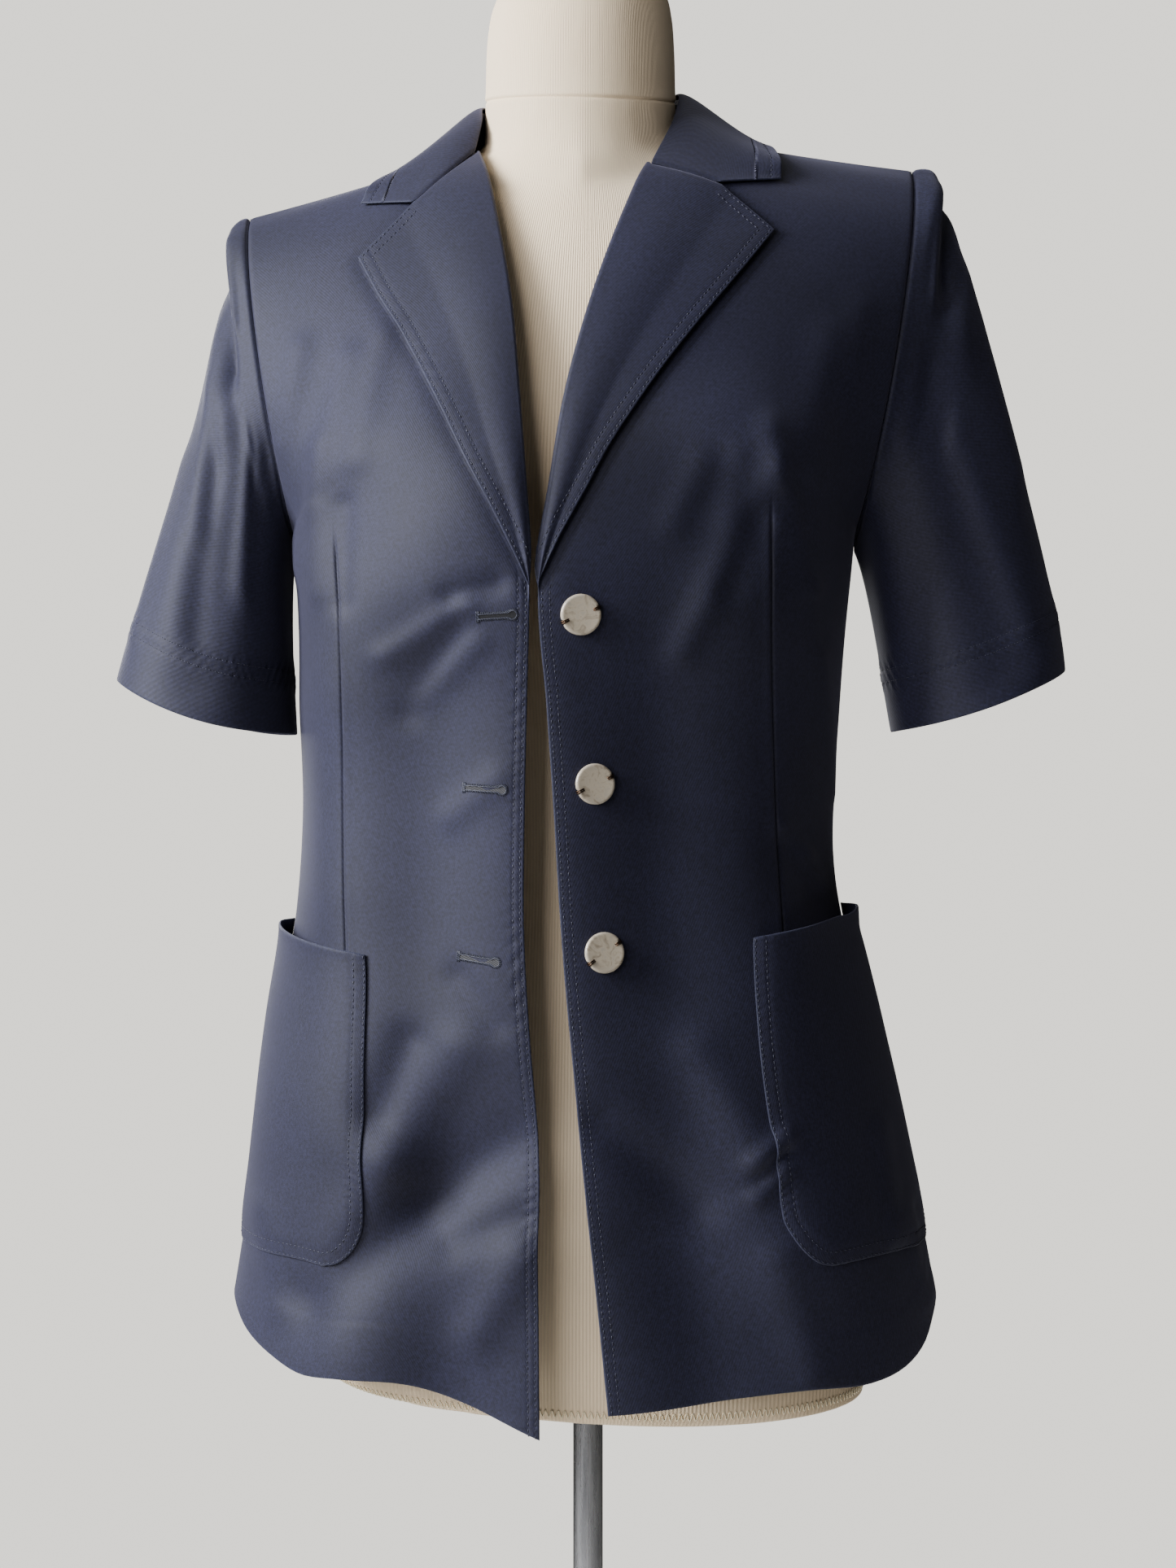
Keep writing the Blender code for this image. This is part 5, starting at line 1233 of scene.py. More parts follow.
def twill(name, sizes):
    """Navy cotton twill, woven and piece dyed: matt and dark, with a dusty blue sheen where light
    rakes it, fine steep ribs and a little paler on worn edges."""
    made, tree, shader, places = new_material(name, {
        "IOR": 1.45, "Specular IOR Level": 0.36,
        "Sheen Weight": sizes.sheen, "Sheen Roughness": 0.5, "Sheen Tint": linear("#BAB9D3")})
    flat = add_node(tree, "ShaderNodeUVMap", {"uv_map": "flat"})
    turned = add_node(tree, "ShaderNodeMapping", None,
                      {"Vector": (flat, "UV"), "Rotation": (0, 0, math.radians(27))})
    ribs = add_node(tree, "ShaderNodeTexWave", {"bands_direction": "X"},
                    {"Vector": (turned, "Vector"),
                     "Scale": band_scale(sizes.twill_spacing / MM),
                     "Distortion": 1.2, "Detail": 2.0, "Detail Scale": 1.5})
    cloud = add_node(tree, "ShaderNodeTexNoise", None,
                     {"Vector": places, "Scale": 9.0, "Detail": 3.0})
    slub = add_node(tree, "ShaderNodeTexNoise", None,
                    {"Vector": places, "Scale": 580.0, "Detail": 3.0})
    shade = add_node(tree, "ShaderNodeValToRGB", None, {"Fac": (cloud, "Fac")},
                     [(0.3, sizes.dark_hex), (0.7, sizes.light_hex)])
    grain = add_node(tree, "ShaderNodeMapRange", None,
                     {"Value": (slub, "Fac"), "From Min": 0.3, "From Max": 0.7,
                      "To Min": 0.58, "To Max": 1.42})
    grained = add_node(tree, "ShaderNodeMix", {"data_type": "RGBA", "blend_type": "MULTIPLY"},
                       {"Factor": 1.0, "A": (shade, "Color"), "B": (grain, "Result")})
    ribbed = add_node(tree, "ShaderNodeMix", {"data_type": "RGBA", "blend_type": "MULTIPLY"},
                      {"Factor": 0.22, "A": (grained, "Result"), "B": (ribs, "Color")})
    wear = add_node(tree, "ShaderNodeAttribute", {"attribute_name": "wear"})
    rubbed = add_node(tree, "ShaderNodeMath", {"operation": "MULTIPLY"},
                      {0: (wear, "Fac"), 1: (slub, "Fac")})
    paled = add_node(tree, "ShaderNodeMix", {"data_type": "RGBA"},
                     {"Factor": (rubbed, "Value"), "A": (ribbed, "Result"),
                      "B": linear(sizes.worn_hex)})
    rough = add_node(tree, "ShaderNodeMapRange", None,
                     {"Value": (cloud, "Fac"), "To Min": 0.6, "To Max": 0.72})
    height = add_node(tree, "ShaderNodeMath", {"operation": "MULTIPLY_ADD"},
                      {0: (slub, "Fac"), 1: 0.9, 2: (ribs, "Fac")})
    relief = add_node(tree, "ShaderNodeBump", None,
                      {"Height": (height, "Value"), "Strength": 0.3, "Distance": 0.00012})
    set_inputs(shader, {"Base Color": (paled, "Result"), "Roughness": (rough, "Result"),
                        "Normal": (relief, "Normal")})
    return made


def thread(name, dark, light):
    """Spun polyester thread: twisted plies give small slanting bands and a low gloss. In near black, the same maker
    also gives the painted shade inside the buttonhole slits.
    """
    made, tree, shader, places = new_material(name, {"Roughness": 0.45, "IOR": 1.5})
    plies = add_node(tree, "ShaderNodeTexWave", {"bands_direction": "DIAGONAL"},
                     {"Vector": places, "Scale": band_scale(0.6)})
    shade = add_node(tree, "ShaderNodeValToRGB", None, {"Fac": (plies, "Fac")},
                     [(0.2, dark), (0.8, light)])
    relief = add_node(tree, "ShaderNodeBump", None,
                      {"Height": (plies, "Fac"), "Strength": 0.4, "Distance": 0.0001})
    set_inputs(shader, {"Base Color": (shade, "Color"), "Normal": (relief, "Normal")})
    return made


def jersey(name, sizes):
    """Rib-knit cotton jersey over a padded form: upright wales and a matt, faintly uneven cream."""
    made, tree, shader, places = new_material(name, {
        "Roughness": 0.85, "IOR": 1.45, "Specular IOR Level": 0.25,
        "Sheen Weight": 0.12, "Sheen Roughness": 0.5})
    apart = add_node(tree, "ShaderNodeSeparateXYZ", None, {"Vector": places})
    turn = add_node(tree, "ShaderNodeMath", {"operation": "ARCTAN2"},
                    {0: (apart, "Y"), 1: (apart, "X")})
    round_place = add_node(tree, "ShaderNodeCombineXYZ", None,
                           {"X": (turn, "Value"), "Y": (apart, "Z")})
    wales = add_node(tree, "ShaderNodeTexWave", {"bands_direction": "X"},
                     {"Vector": (round_place, "Vector"),
                      "Scale": 2 * math.pi / (20 * sizes.rib_spacing / sizes.form_radius),
                      "Distortion": 0.4, "Detail": 2.0, "Detail Scale": 3.0})
    cloud = add_node(tree, "ShaderNodeTexNoise", None,
                     {"Vector": places, "Scale": 6.0, "Detail": 4.0})
    fuzz = add_node(tree, "ShaderNodeTexNoise", None,
                    {"Vector": places, "Scale": 700.0, "Detail": 2.0})
    shade = add_node(tree, "ShaderNodeValToRGB", None, {"Fac": (cloud, "Fac")},
                     [(0.3, "#F0D8B2"), (0.75, "#F9E5C2")])
    ribbed = add_node(tree, "ShaderNodeMix", {"data_type": "RGBA", "blend_type": "MULTIPLY"},
                      {"Factor": 0.10, "A": (shade, "Color"), "B": (wales, "Color")})
    height = add_node(tree, "ShaderNodeMath", {"operation": "MULTIPLY_ADD"},
                      {0: (fuzz, "Fac"), 1: 0.6, 2: (wales, "Fac")})
    relief = add_node(tree, "ShaderNodeBump", None,
                      {"Height": (height, "Value"), "Strength": 0.5, "Distance": 0.0004})
    set_inputs(shader, {"Base Color": (ribbed, "Result"), "Normal": (relief, "Normal")})
    return made


def pearl(name):
    """Polished shell: clouded ivory layers under a thin clear gloss."""
    made, tree, shader, places = new_material(name, {
        "Roughness": 0.28, "IOR": 1.53, "Coat Weight": 0.5, "Coat Roughness": 0.12})
    layers = add_node(tree, "ShaderNodeTexNoise", None,
                      {"Vector": places, "Scale": 190.0, "Detail": 4.0, "Distortion": 1.6})
    shade = add_node(tree, "ShaderNodeValToRGB", None, {"Fac": (layers, "Fac")},
                     [(0.3, "#8F8471"), (0.5, "#B5AA94"), (0.72, "#A59E8E")])
    relief = add_node(tree, "ShaderNodeBump", None,
                      {"Height": (layers, "Fac"), "Strength": 0.12, "Distance": 0.0003})
    set_inputs(shader, {"Base Color": (shade, "Color"), "Normal": (relief, "Normal")})
    return made


def metal(name, dark, light, roughness, grain):
    """Plated or drawn metal: a fine grain breaks its reflections."""
    made, tree, shader, places = new_material(name, {"Metallic": 1.0})
    smear = add_node(tree, "ShaderNodeMapping", None,
                     {"Vector": places, "Scale": (grain, grain, grain * 0.05)})
    streaks = add_node(tree, "ShaderNodeTexNoise", None,
                       {"Vector": (smear, "Vector"), "Scale": 1.0, "Detail": 3.0})
    shade = add_node(tree, "ShaderNodeValToRGB", None, {"Fac": (streaks, "Fac")},
                     [(0.3, dark), (0.7, light)])
    rough = add_node(tree, "ShaderNodeMapRange", None,
                     {"Value": (streaks, "Fac"), "To Min": roughness * 0.7,
                      "To Max": roughness * 1.4})
    set_inputs(shader, {"Base Color": (shade, "Color"), "Roughness": (rough, "Result")})
    return made


def enamel(name):
    """Powder-coated steel: dark grey with the fine orange-peel of a baked coat."""
    made, tree, shader, places = new_material(name, {"Roughness": 0.42, "IOR": 1.5})
    peel = add_node(tree, "ShaderNodeTexNoise", None,
                    {"Vector": places, "Scale": 420.0, "Detail": 2.0})
    dust = add_node(tree, "ShaderNodeTexNoise", None,
                    {"Vector": places, "Scale": 14.0, "Detail": 5.0})
    shade = add_node(tree, "ShaderNodeValToRGB", None, {"Fac": (dust, "Fac")},
                     [(0.35, "#2B2C2E"), (0.8, "#3A3B3D")])
    relief = add_node(tree, "ShaderNodeBump", None,
                      {"Height": (peel, "Fac"), "Strength": 0.25, "Distance": 0.0002})
    set_inputs(shader, {"Base Color": (shade, "Color"), "Normal": (relief, "Normal")})
    return made


def pale_floor(name):
    """Painted studio floor: matt, with faint clouds that keep it from looking printed."""
    made, tree, shader, places = new_material(name, {"Roughness": 0.8})
    cloud = add_node(tree, "ShaderNodeTexNoise", None,
                     {"Vector": places, "Scale": 3.0, "Detail": 3.0})
    shade = add_node(tree, "ShaderNodeValToRGB", None, {"Fac": (cloud, "Fac")},
                     [(0.3, "#D4D1CB"), (0.7, "#DAD8D2")])
    set_inputs(shader, {"Base Color": (shade, "Color")})
    return made


@functools.cache
def finish(name):
    """The material of that name, made once."""
    sizes = bpy.context.scene.blazer_cloth
    makers = {
        "navy_twill": lambda: twill("navy_cotton_twill", sizes),
        "topstitch_thread": lambda: thread("navy_topstitch_thread", "#1C1D2A", "#2E303F"),
        "buttonhole_thread": lambda: thread("navy_buttonhole_twist", "#20222C", "#3E414F"),
        # near-black patches that are painted shade inside the buttonhole slits
        "slit": lambda: thread("buttonhole_slit_shadow", "#07080B", "#0D0E12"),
        "jersey": lambda: jersey("cream_rib_jersey", bpy.context.scene.blazer_form),
        "cream_thread": lambda: thread("cream_overlock_thread", "#E4D3A8", "#F6ECCF"),
        "pearl": lambda: pearl("ivory_pearl_shell"),
        "bronze": lambda: metal("bronze_wire", "#2B2019", "#5C4736", 0.34, 900.0),
        "chrome": lambda: metal("chrome_plated_steel", "#C6C8CB", "#EAEBEC", 0.26, 260.0),
        "enamel": lambda: enamel("dark_powder_coat"),
        "floor": lambda: pale_floor("pale_floor"),
    }
    return makers[name]()


# Fronts and backs

def seam_rows(panel, low_step, high_step, break_t):
    """Heights t of a panel's rows: close at the hem and at the shoulder."""
    first = panel.knots[1]
    hem = np.concatenate([HEM_LINES, np.arange(1.5, first, low_step * 0.45)])
    middle = np.arange(first, break_t, low_step)
    high = np.arange(break_t, panel.top - SEAM_LINES[-1] - 2, high_step)
    top = panel.top - SEAM - np.array(SEAM_LINES[::-1])
    return np.concatenate([hem, middle, high, top])


def panel_net(panel, t, dart, edge_lines, between, beyond):
    """Shares s of a panel's net: close at its edges and along its dart."""
    edge_lines = np.array(edge_lines)
    dart_lines = np.array(DART_LINES)
    side_lines = np.array(SEAM_LINES[::-1]) + SEAM
    nets = []
    for height in t:
        shares, line, lengths = panel.row_line(height)
        width = lengths[-1]
        miss = line[:, 0] - np.interp(line[:, 2], named(dart[::-1], "z"), named(dart[::-1], "x"))
        middle = float(np.interp(0, np.maximum.accumulate(miss), lengths))
        middle = min(max(middle, edge_lines[-1] + 14), width - 20)
        to_dart = np.linspace(edge_lines[-1], middle + dart_lines[0], between + 2)[1:-1]
        to_side = np.linspace(middle + dart_lines[-1], width - side_lines[0], beyond + 2)[1:-1]
        columns = np.concatenate([edge_lines, to_dart, middle + dart_lines, to_side,
                                  width - side_lines])
        nets.append(np.interp(columns, lengths, shares))
    return np.array(nets)


def dart_relief(sheet, dart):
    """A dart: a sharp groove pressed to one side, which fades at its upper point."""
    line = np.array(dart, float)
    places = sheet.points[..., [0, 2]]
    gap, along = gap_to(places, line)
    aside = places[..., 0] - np.interp(places[..., 1], line[::-1, 1], line[::-1, 0])
    strength = ramp(-2, 26, along) * (1 - ramp(line[0, 1] - 2, line[0, 1] + 3, places[..., 1]))
    sheet.relief -= DART_DEPTH * bump(0, DART_WIDTH, gap) * strength
    sheet.relief += DART_RIDGE * bump(-2.4, 1.9, aside) * strength * (gap < 8)


def panel_sheet(panel, s_net, t):
    """A sheet over a panel's net."""
    t_net = np.broadcast_to(t[:, None], s_net.shape)
    return Sheet(panel.point(s_net, t_net), panel.normal(s_net, t_net))


@functools.cache
def front_sheet(side):
    """A front's net with its edge, dart, hem and seams."""
    panel = front_panel(side)
    break_t = panel.knots[BREAK_ROW]
    t = seam_rows(panel, 2.1, 4.2, break_t)
    sheet = panel_sheet(panel, panel_net(panel, t, DARTS[side], EDGE_LINES, 26, 20), t)
    sheet.normals[-1] = seam_up()
    points = sheet.points.copy()
    sheet.front_line = points[t <= break_t, 0]
    sheet.free_edge(points[:, 0])
    sheet.free_edge(points[0])
    sheet.stitched(sheet.front_line, SEWING["front_" + side])
    gorge = GORGE[side]
    lapel = np.array([*LAPEL_EDGE[side], (gorge.notch_x, gorge.notch_z)])
    under, _ = gap_to(points[..., [0, 2]], lapel - [LAPEL_DIP_INSIDE, 0.0])
    sheet.relief -= LAPEL_DIP * bump(0, LAPEL_DIP_WIDTH, under)
    dart_relief(sheet, DARTS[side])
    gap = sheet.hemmed(points[0], 1.4)
    sheet.relief += HEM_RISE * (1 - ramp(BODY_HEM - 2, BODY_HEM, gap))
    sheet.seamed(points[:, -1])
    sheet.seamed(points[-1])
    return sheet


def add_front(side):
    """One front with its stitching and, on the right, its buttonholes."""
    name = "front_" + side
    sheet = front_sheet(side)
    made = add_shell(name, sheet, side)
    sewing = SEWING[name]
    lines = [inset_line(sheet, sheet.front_line, distance) for distance in sewing.rows]
    extras = [add_rows(name, sheet, lines, sewing, side)]
    if side == "right":
        extras.extend(add_buttonholes(sheet))
    declare(name, made, extras)


def hole_axes(hole):
    """A buttonhole's bar, its eye, its length and the flat directions along and across it."""
    bar = np.array([hole.bar_x, hole.bar_z])
    eye = np.array([hole.eye_x, hole.eye_z])
    length = np.linalg.norm(eye - bar)
    ahead = (eye - bar) / length
    return bar, eye, length, ahead, np.array([-ahead[1], ahead[0]])


def hole_outline(hole, edge):
    """Flat outline round a buttonhole's slit, swelling to its eye."""
    bar, eye, length, ahead, aside = hole_axes(hole)
    straight = np.linspace(0, length - edge.eye, 16)[:, None]
    turn = np.linspace(-EYE_TURN, EYE_TURN, 15)[:, None]
    upper = bar + straight * ahead + edge.offset * aside
    lower = bar + straight[::-1] * ahead - edge.offset * aside
    round_eye = eye + edge.eye * np.cos(turn) * ahead - edge.eye * np.sin(turn) * aside
    return np.concatenate([upper, round_eye, lower])


def on_front(sheet, flat, height):
    """Flat places laid on the right front at a height off it, with the normals there."""
    return sheet.seat(front_panel("right").over(flat, np.zeros(len(flat))), height)


def add_buttonholes(sheet):
    """Keyhole buttonholes: a purled edge of dark twist round a slit, and a bar. Each slit is a near-black patch just
    over the cloth, painted shade where the opening would show.
    """
    threads = []
    slit_shades = []
    even = np.linspace(0, 1, PURLS)
    for hole in BUTTONHOLES:
        edge = hole_outline(hole, CORD_EDGE)
        threads.append(tube(*on_front(sheet, edge, EDGE_CORD.rise), EDGE_CORD.radius))
        near, far = [read_line(outline, even * run_lengths(outline)[-1])
                     for outline in (edge, hole_outline(hole, PURL_EDGE))]
        spots = near[:, None] + (far - near)[:, None] * named(STITCH_RINGS, "along")[:, None]
        seated, upward = on_front(sheet, spots.reshape(-1, 2), np.tile(PURL_RISE, PURLS))
        shape = spots.shape[:2] + (3,)
        radius = np.broadcast_to(PURL_THICK, spots.shape[:2])
        threads.append(swept(seated.reshape(shape), upward.reshape(shape), radius, 5))
        bar, _, _, ahead, aside = hole_axes(hole)
        across = np.linspace(-BAR_REACH, BAR_REACH, 7)[:, None]
        for shift in BAR_SHIFTS:
            line = bar + across * aside + shift * ahead
            threads.append(tube(*on_front(sheet, line, BAR_CORD.rise), BAR_CORD.radius))
        # A near-black patch just over the cloth: painted shade inside the slit, not a real opening.
        points, _ = on_front(sheet, hole_outline(hole, SLIT_EDGE), SLIT_RISE)
        slit_shades.append((points, [list(range(len(points)))]))
    return [add_thread("buttonholes", threads, "right", "buttonhole_thread"),
            add_thread("buttonhole_slits", slit_shades, "right", "slit")]


@functools.cache
def back_sheet():
    """Half of the back with its dart, hem and seams."""
    panel = back_panel()
    t = seam_rows(panel, 3.4, 3.8, panel.knots[8])
    s_net = panel_net(panel, t, DARTS["back"], SEAM_LINES[:-1] + [7, 9], 18, 22)
    s_net[:, 0] = np.maximum(s_net[:, 0], 0.0009)
    sheet = panel_sheet(panel, s_net, t)
    sheet.normals[-1, s_net[-1] >= NECKLINE_SHARE] = seam_up()
    points = sheet.points.copy()
    sheet.free_edge(points[0])
    dart_relief(sheet, DARTS["back"])
    sheet.hemmed(points[0], 1.6)
    for line in (points[:, 0], points[:, -1], points[-1]):
        sheet.seamed(line)
    return sheet


# Sleeves

class SleeveSheet:
    """A set-in sleeve from its armhole to its cuff."""

    def __init__(self, side, front, back):
        self.sizes = SLEEVES[side]
        self.splay = UNDERARM_SPLAY[side]
        self.folds = [Fold(crease.around1 * SLEEVE_GIRTH, crease.along1 * SLEEVE_LENGTH,
                           crease.around2 * SLEEVE_GIRTH, crease.along2 * SLEEVE_LENGTH,
                           crease.height, crease.width) for crease in SLEEVE_FOLDS[side]]
        up_front = self.armhole(front)
        down_back = [rows[::-1] for rows in self.armhole(back)]
        top = unit(up_front[1][-1] + down_back[1][0])
        up_front[1][-1] = top
        up_front[3][-1] = top
        self.starts, self.leaves, self.faces, self.seams = [
            np.concatenate([up, down[1:]]) for up, down in zip(up_front, down_back)]
        self.places = np.linspace(0, 1, len(self.starts))

    def armhole(self, panel):
        """Points up a panel's armhole, with the directions in which its cloth arrives and faces
        there and the sleeve's seam leaves."""
        t = np.linspace(panel.underarm, panel.top, 60)
        lengths = run_lengths(panel.point(np.ones(60), t))
        t = np.interp(np.linspace(0, lengths[-1], 41), lengths, t)
        one = np.ones(41)
        edge = panel.point(one, t)
        leave = unit(edge - panel.point(one - 0.01, t))
        face = panel.normal(one, t)
        face[-1] = seam_up()
        along = unit(np.gradient(edge, axis=0))
        seam = unit(leave - along * (leave * along).sum(axis=1, keepdims=True))
        return [edge, leave, face, seam]

    def read(self, rows, around):
        """A value of the armhole ring at places around it."""
        return through(self.places, rows, around)

    def point(self, around, along):
        """Points of the outer face; around starts at the underarm and climbs the front."""
        around, along = paired(around, along)
        around = around % 1.0
        sizes = self.sizes
        turn = 2 * math.pi * around
        under = np.maximum(np.cos(turn), 0) ** 2
        first = unit(blend(self.read(self.seams, around), np.array([1.0, 0.0, 0.0]),
                           under[..., None]))
        start = self.read(self.starts, around) + 1.5 * SEAM * first
        down = np.array([self.splay, 0.0, -1.0])
        reach = blend(sizes.cap_reach, sizes.under_reach, under)
        leave = unit(blend(self.read(self.leaves, around), down, under[..., None]))
        end = np.stack([sizes.cuff_x - sizes.half_width * np.cos(turn),
                        sizes.cuff_y - sizes.half_depth * np.sin(turn),
                        sizes.cuff_z - sizes.drop * np.cos(turn) - sizes.dip * np.sin(turn) ** 2],
                       axis=-1)
        outer = (1 - np.cos(turn)) / 2
        length = end[..., 2] - start[..., 2]
        arrive = np.stack([blend(sizes.inner_flare, sizes.outer_flare, outer), 0 * length,
                           0.88 * length], axis=-1)
        points = hermite(start, leave * reach[..., None], end, arrive, along[..., None])
        points[..., 0] += sizes.bow * np.sin(along * math.pi) ** 2 * outer
        return points

    def folded(self, around, along):
        """Points of the outer face with its folds."""
        around, along = paired(around, along)
        height = fold_height(self.folds, (around % 1.0) * SLEEVE_GIRTH,
                             along * SLEEVE_LENGTH)
        height = height * ramp(0, 0.12, along)
        return self.point(around, along) + self.normal(around, along) * height[..., None]

    def normal(self, around, along, surface=None):
        """Unit normals of the outer face."""
        surface = surface or self.point
        small = 0.006
        by_around = surface(around + small, along) - surface(around - small, along)
        by_along = (surface(around, np.minimum(along + small, 1))
                    - surface(around, np.maximum(along - small, 0)))
        return unit(np.cross(by_along, by_around))

    def offset(self, around, along):
        """Unit normals that meet the body's cloth face to face at the armhole."""
        own = self.normal(around, along, self.folded)
        under = np.maximum(np.cos(2 * math.pi * around), 0)[..., None] ** 2
        seam = unit(blend(self.read(self.faces, around % 1.0), np.array([0, 0, -1.0]), under))
        return np.where((along < 1e-9)[..., None], seam, own)


def add_sleeve(side):
    """A sleeve with its twice-stitched hem."""
    name = "sleeve_" + side
    maker = SleeveSheet(side, front_panel(side), back_panel())
    around = np.linspace(0, 1, SLEEVE_SIDES, endpoint=False)
    along = np.concatenate([SLEEVE_SEAM_ROWS, np.linspace(0.05, 0.80, 58),
                            np.linspace(0.81, 0.985, 30), SLEEVE_CUFF_ROWS])
    around, along = np.meshgrid(around, along, indexing="xy")
    sheet = Sheet(maker.folded(around, along), maker.offset(around, along), ring=True)
    points = sheet.points.copy()
    sewing = SEWING["sleeve"]
    sheet.free_edge(closed(points[-1]))
    sheet.stitched(closed(points[-1]), sewing)
    sheet.seamed(closed(points[0]))
    made = add_shell(name, sheet, side)
    lines = [sleeve_line(points, distance) for distance in sewing.rows]
    declare(name, made, [add_rows(name, sheet, lines, sewing, side, CUFF_STITCH)])


def sleeve_line(points, distance):
    """A closed line a distance above the cuff."""
    columns = points[::-1].swapaxes(0, 1)
    return closed(np.array([read_line(column, distance) for column in columns]))


# Lapels

def lapel_height(share):
    """How far the lapel's outer face stands off the front, from roll line to edge."""
    return (LAPEL_REST + CLOTH + 1.2 * np.sin(np.clip(share * 1.6, 0, 1) * math.pi)
            + LAPEL_SPRING * ramp(0.6, 1.0, share))


def notched(start, notch, end, share, drop=0.0):
    """Flat line from start over a point a drop below the notch, NOTCH_SHARE along it, to end."""
    to_notch = np.clip(share / NOTCH_SHARE, 0, 1)[:, None]
    past_notch = np.clip((share - NOTCH_SHARE) / (1 - NOTCH_SHARE), 0, 1)[:, None]
    return blend(blend(start, notch, to_notch) - [0.0, drop], end, past_notch)


def lapel_sheet(side):
    """A lapel's net, from the far side of its rolled fold to its outer edge."""
    panel = front_panel(side)
    gorge = GORGE[side]
    up = np.concatenate([np.linspace(0, 0.94, 120), 1 - np.array(LAPEL_TOP_ROWS)])
    outer_edge = np.array(LAPEL_EDGE[side], float)
    lengths = run_lengths(outer_edge)
    outer_edge = through(lengths / lengths[-1], outer_edge, up)
    t = blend(panel.knots[BREAK_ROW] - 4.0, panel.height_at(gorge.roll_level), up)
    roll = panel.point(np.zeros(len(up)), t)[:, [0, 2]]
    widths = np.hypot(outer_edge[:, 0] - roll[:, 0], outer_edge[:, 1] - roll[:, 1])
    lines = np.array(EDGE_LINES[:-1])
    shares = []
    for width in widths:
        fitted = lines * min(1.0, 0.6 * width / lines[-1])
        rest = np.linspace(0, width - fitted[-1], 26)[:-1]
        shares.append(np.concatenate([rest, width - fitted[::-1]]) / max(width, 1e-6))
    s_net = np.array(shares)
    flat = blend(roll[:, None], outer_edge[:, None], s_net[..., None])
    top = notched(roll[-1], [gorge.notch_x, gorge.notch_z], outer_edge[-1], s_net[-1], 2 * SEAM)
    bend = (ramp(0.72, 1.0, up) ** 1.5)[:, None, None]
    flat = flat + bend * (top - flat[-1])
    height = lapel_height(s_net) * ramp(-0.03, 0.05, up)[:, None]
    height += 0.25 * (1 - ramp(0, 0.05, up))[:, None]
    spot_s, spot_t = panel.locate(flat[..., 0], flat[..., 1])
    spot_s[:, 0] = 0.0
    spot_t[:, 0] = t
    points = panel.raised(spot_s, spot_t, height)
    normals = panel.normal(spot_s, spot_t)
    wrapped, outward = wrap_roll(points[:, 0], normals[:, 0], points[:, 0] - points[:, 1], up)
    sheet = Sheet(np.concatenate([wrapped, points], axis=1),
                  np.concatenate([outward, normals], axis=1), thick=LAPEL_SHELL)
    return sheet, s_net, len(ROLL_ANGLES)


def wrap_roll(edge, normals, away, up):
    """Columns of cloth that turn round the roll line and end behind it."""
    away = unit(away - normals * (away * normals).sum(axis=1, keepdims=True))
    radius = ROLL_RADIUS * ramp(-0.02, 0.06, up)[:, None]
    centre = edge - normals * radius + away * ROLL_FORWARD
    columns = []
    outward = []
    for angle in ROLL_ANGLES:
        swell = 1 + ROLL_SWELL * math.cos(angle)
        columns.append(centre + radius * (normals * math.sin(angle)
                                          + away * math.cos(angle) * swell))
        outward.append(unit(normals * math.sin(angle) + away * math.cos(angle)))
    return np.stack(columns, axis=1), np.stack(outward, axis=1)


def add_lapel(side):
    """A lapel rolled back over its front, with its notch and stitched edges."""
    name = "lapel_" + side
    sheet, s_net, first = lapel_sheet(side)
    points = sheet.points.copy()
    notch = first + int(np.argmin(np.abs(s_net[-1] - NOTCH_SHARE)))
    edge_line = points[:, -1]
    notch_line = points[-1, notch:]
    for line in (edge_line, notch_line, points[:, 0]):
        sheet.free_edge(line)
    sewing = SEWING[name]
    sheet.stitched(np.concatenate([edge_line, notch_line[-2::-1]]), sewing)
    sheet.seamed(points[-1, first:notch], *GORGE_SEAM)
    sheet.relief *= ramp(0.3, 3.0, gap_to(points, points[:3, first])[0])
    made = add_shell(name, sheet, side)
    lines = []
    for distance in sewing.rows:
        line = inset_round(sheet, edge_line[6:], notch_line[-2::-1], distance)
        from_roll, _ = gap_to(line, points[:, first])
        lines.append(line[from_roll > 2][:-1])
    declare(name, made, [add_rows(name, sheet, lines, sewing, side)])


# Collar

def collar_stations(v):
    """Rows of the fall, its crests and its feet, from the right gorge round to the left."""
    back = back_panel()
    height = COLLAR_REST + COLLAR_WALL
    stations = []
    for side in SIDES:
        panel = front_panel(side)
        gorge = GORGE[side]
        start = panel.point(np.zeros(1), np.array([panel.height_at(gorge.roll_level)]))[0]
        flat = notched(start[[0, 2]], [gorge.notch_x, gorge.notch_z],
                       [gorge.collar_x, gorge.collar_z], v)
        end = panel.over(flat + [0.0, 2 * SEAM], np.full(len(v), height + SEAM))
        half = [(end, end[0], end[0])]
        for index, row in enumerate([COLLAR_FORE[side]] + COLLAR_ROUND):
            crest = np.array([row.crest_x, row.crest_y, row.crest_z])
            if index == 1:
                edge = np.array([row.edge_x, SHOULDER_TIP[1], row.edge_z])
            else:
                under = panel if index == 0 else back
                lift = height + TIP_LIFT if index == 0 else height
                edge = under.over(np.array([row.edge_x, row.edge_z - 2.0]), lift)
            half.append((fall_row(crest, edge, row, v), crest, neck_foot(crest, panel)))
        mirror = np.array([SIDES[side], 1.0, 1.0])
        half = [[part * mirror for part in station] for station in half]
        if side == "left":
            stations.extend(half[::-1])
            continue
        stations.extend(half)
        row = COLLAR_BACK
        crest = np.array([0.0, row.crest_y, row.crest_z])
        edge = back.over(np.array([0.0, row.edge_z]), height)
        stations.append((fall_row(crest, edge, row, v), crest, neck_foot(crest, panel)))
    return [np.array(parts) for parts in zip(*stations)]


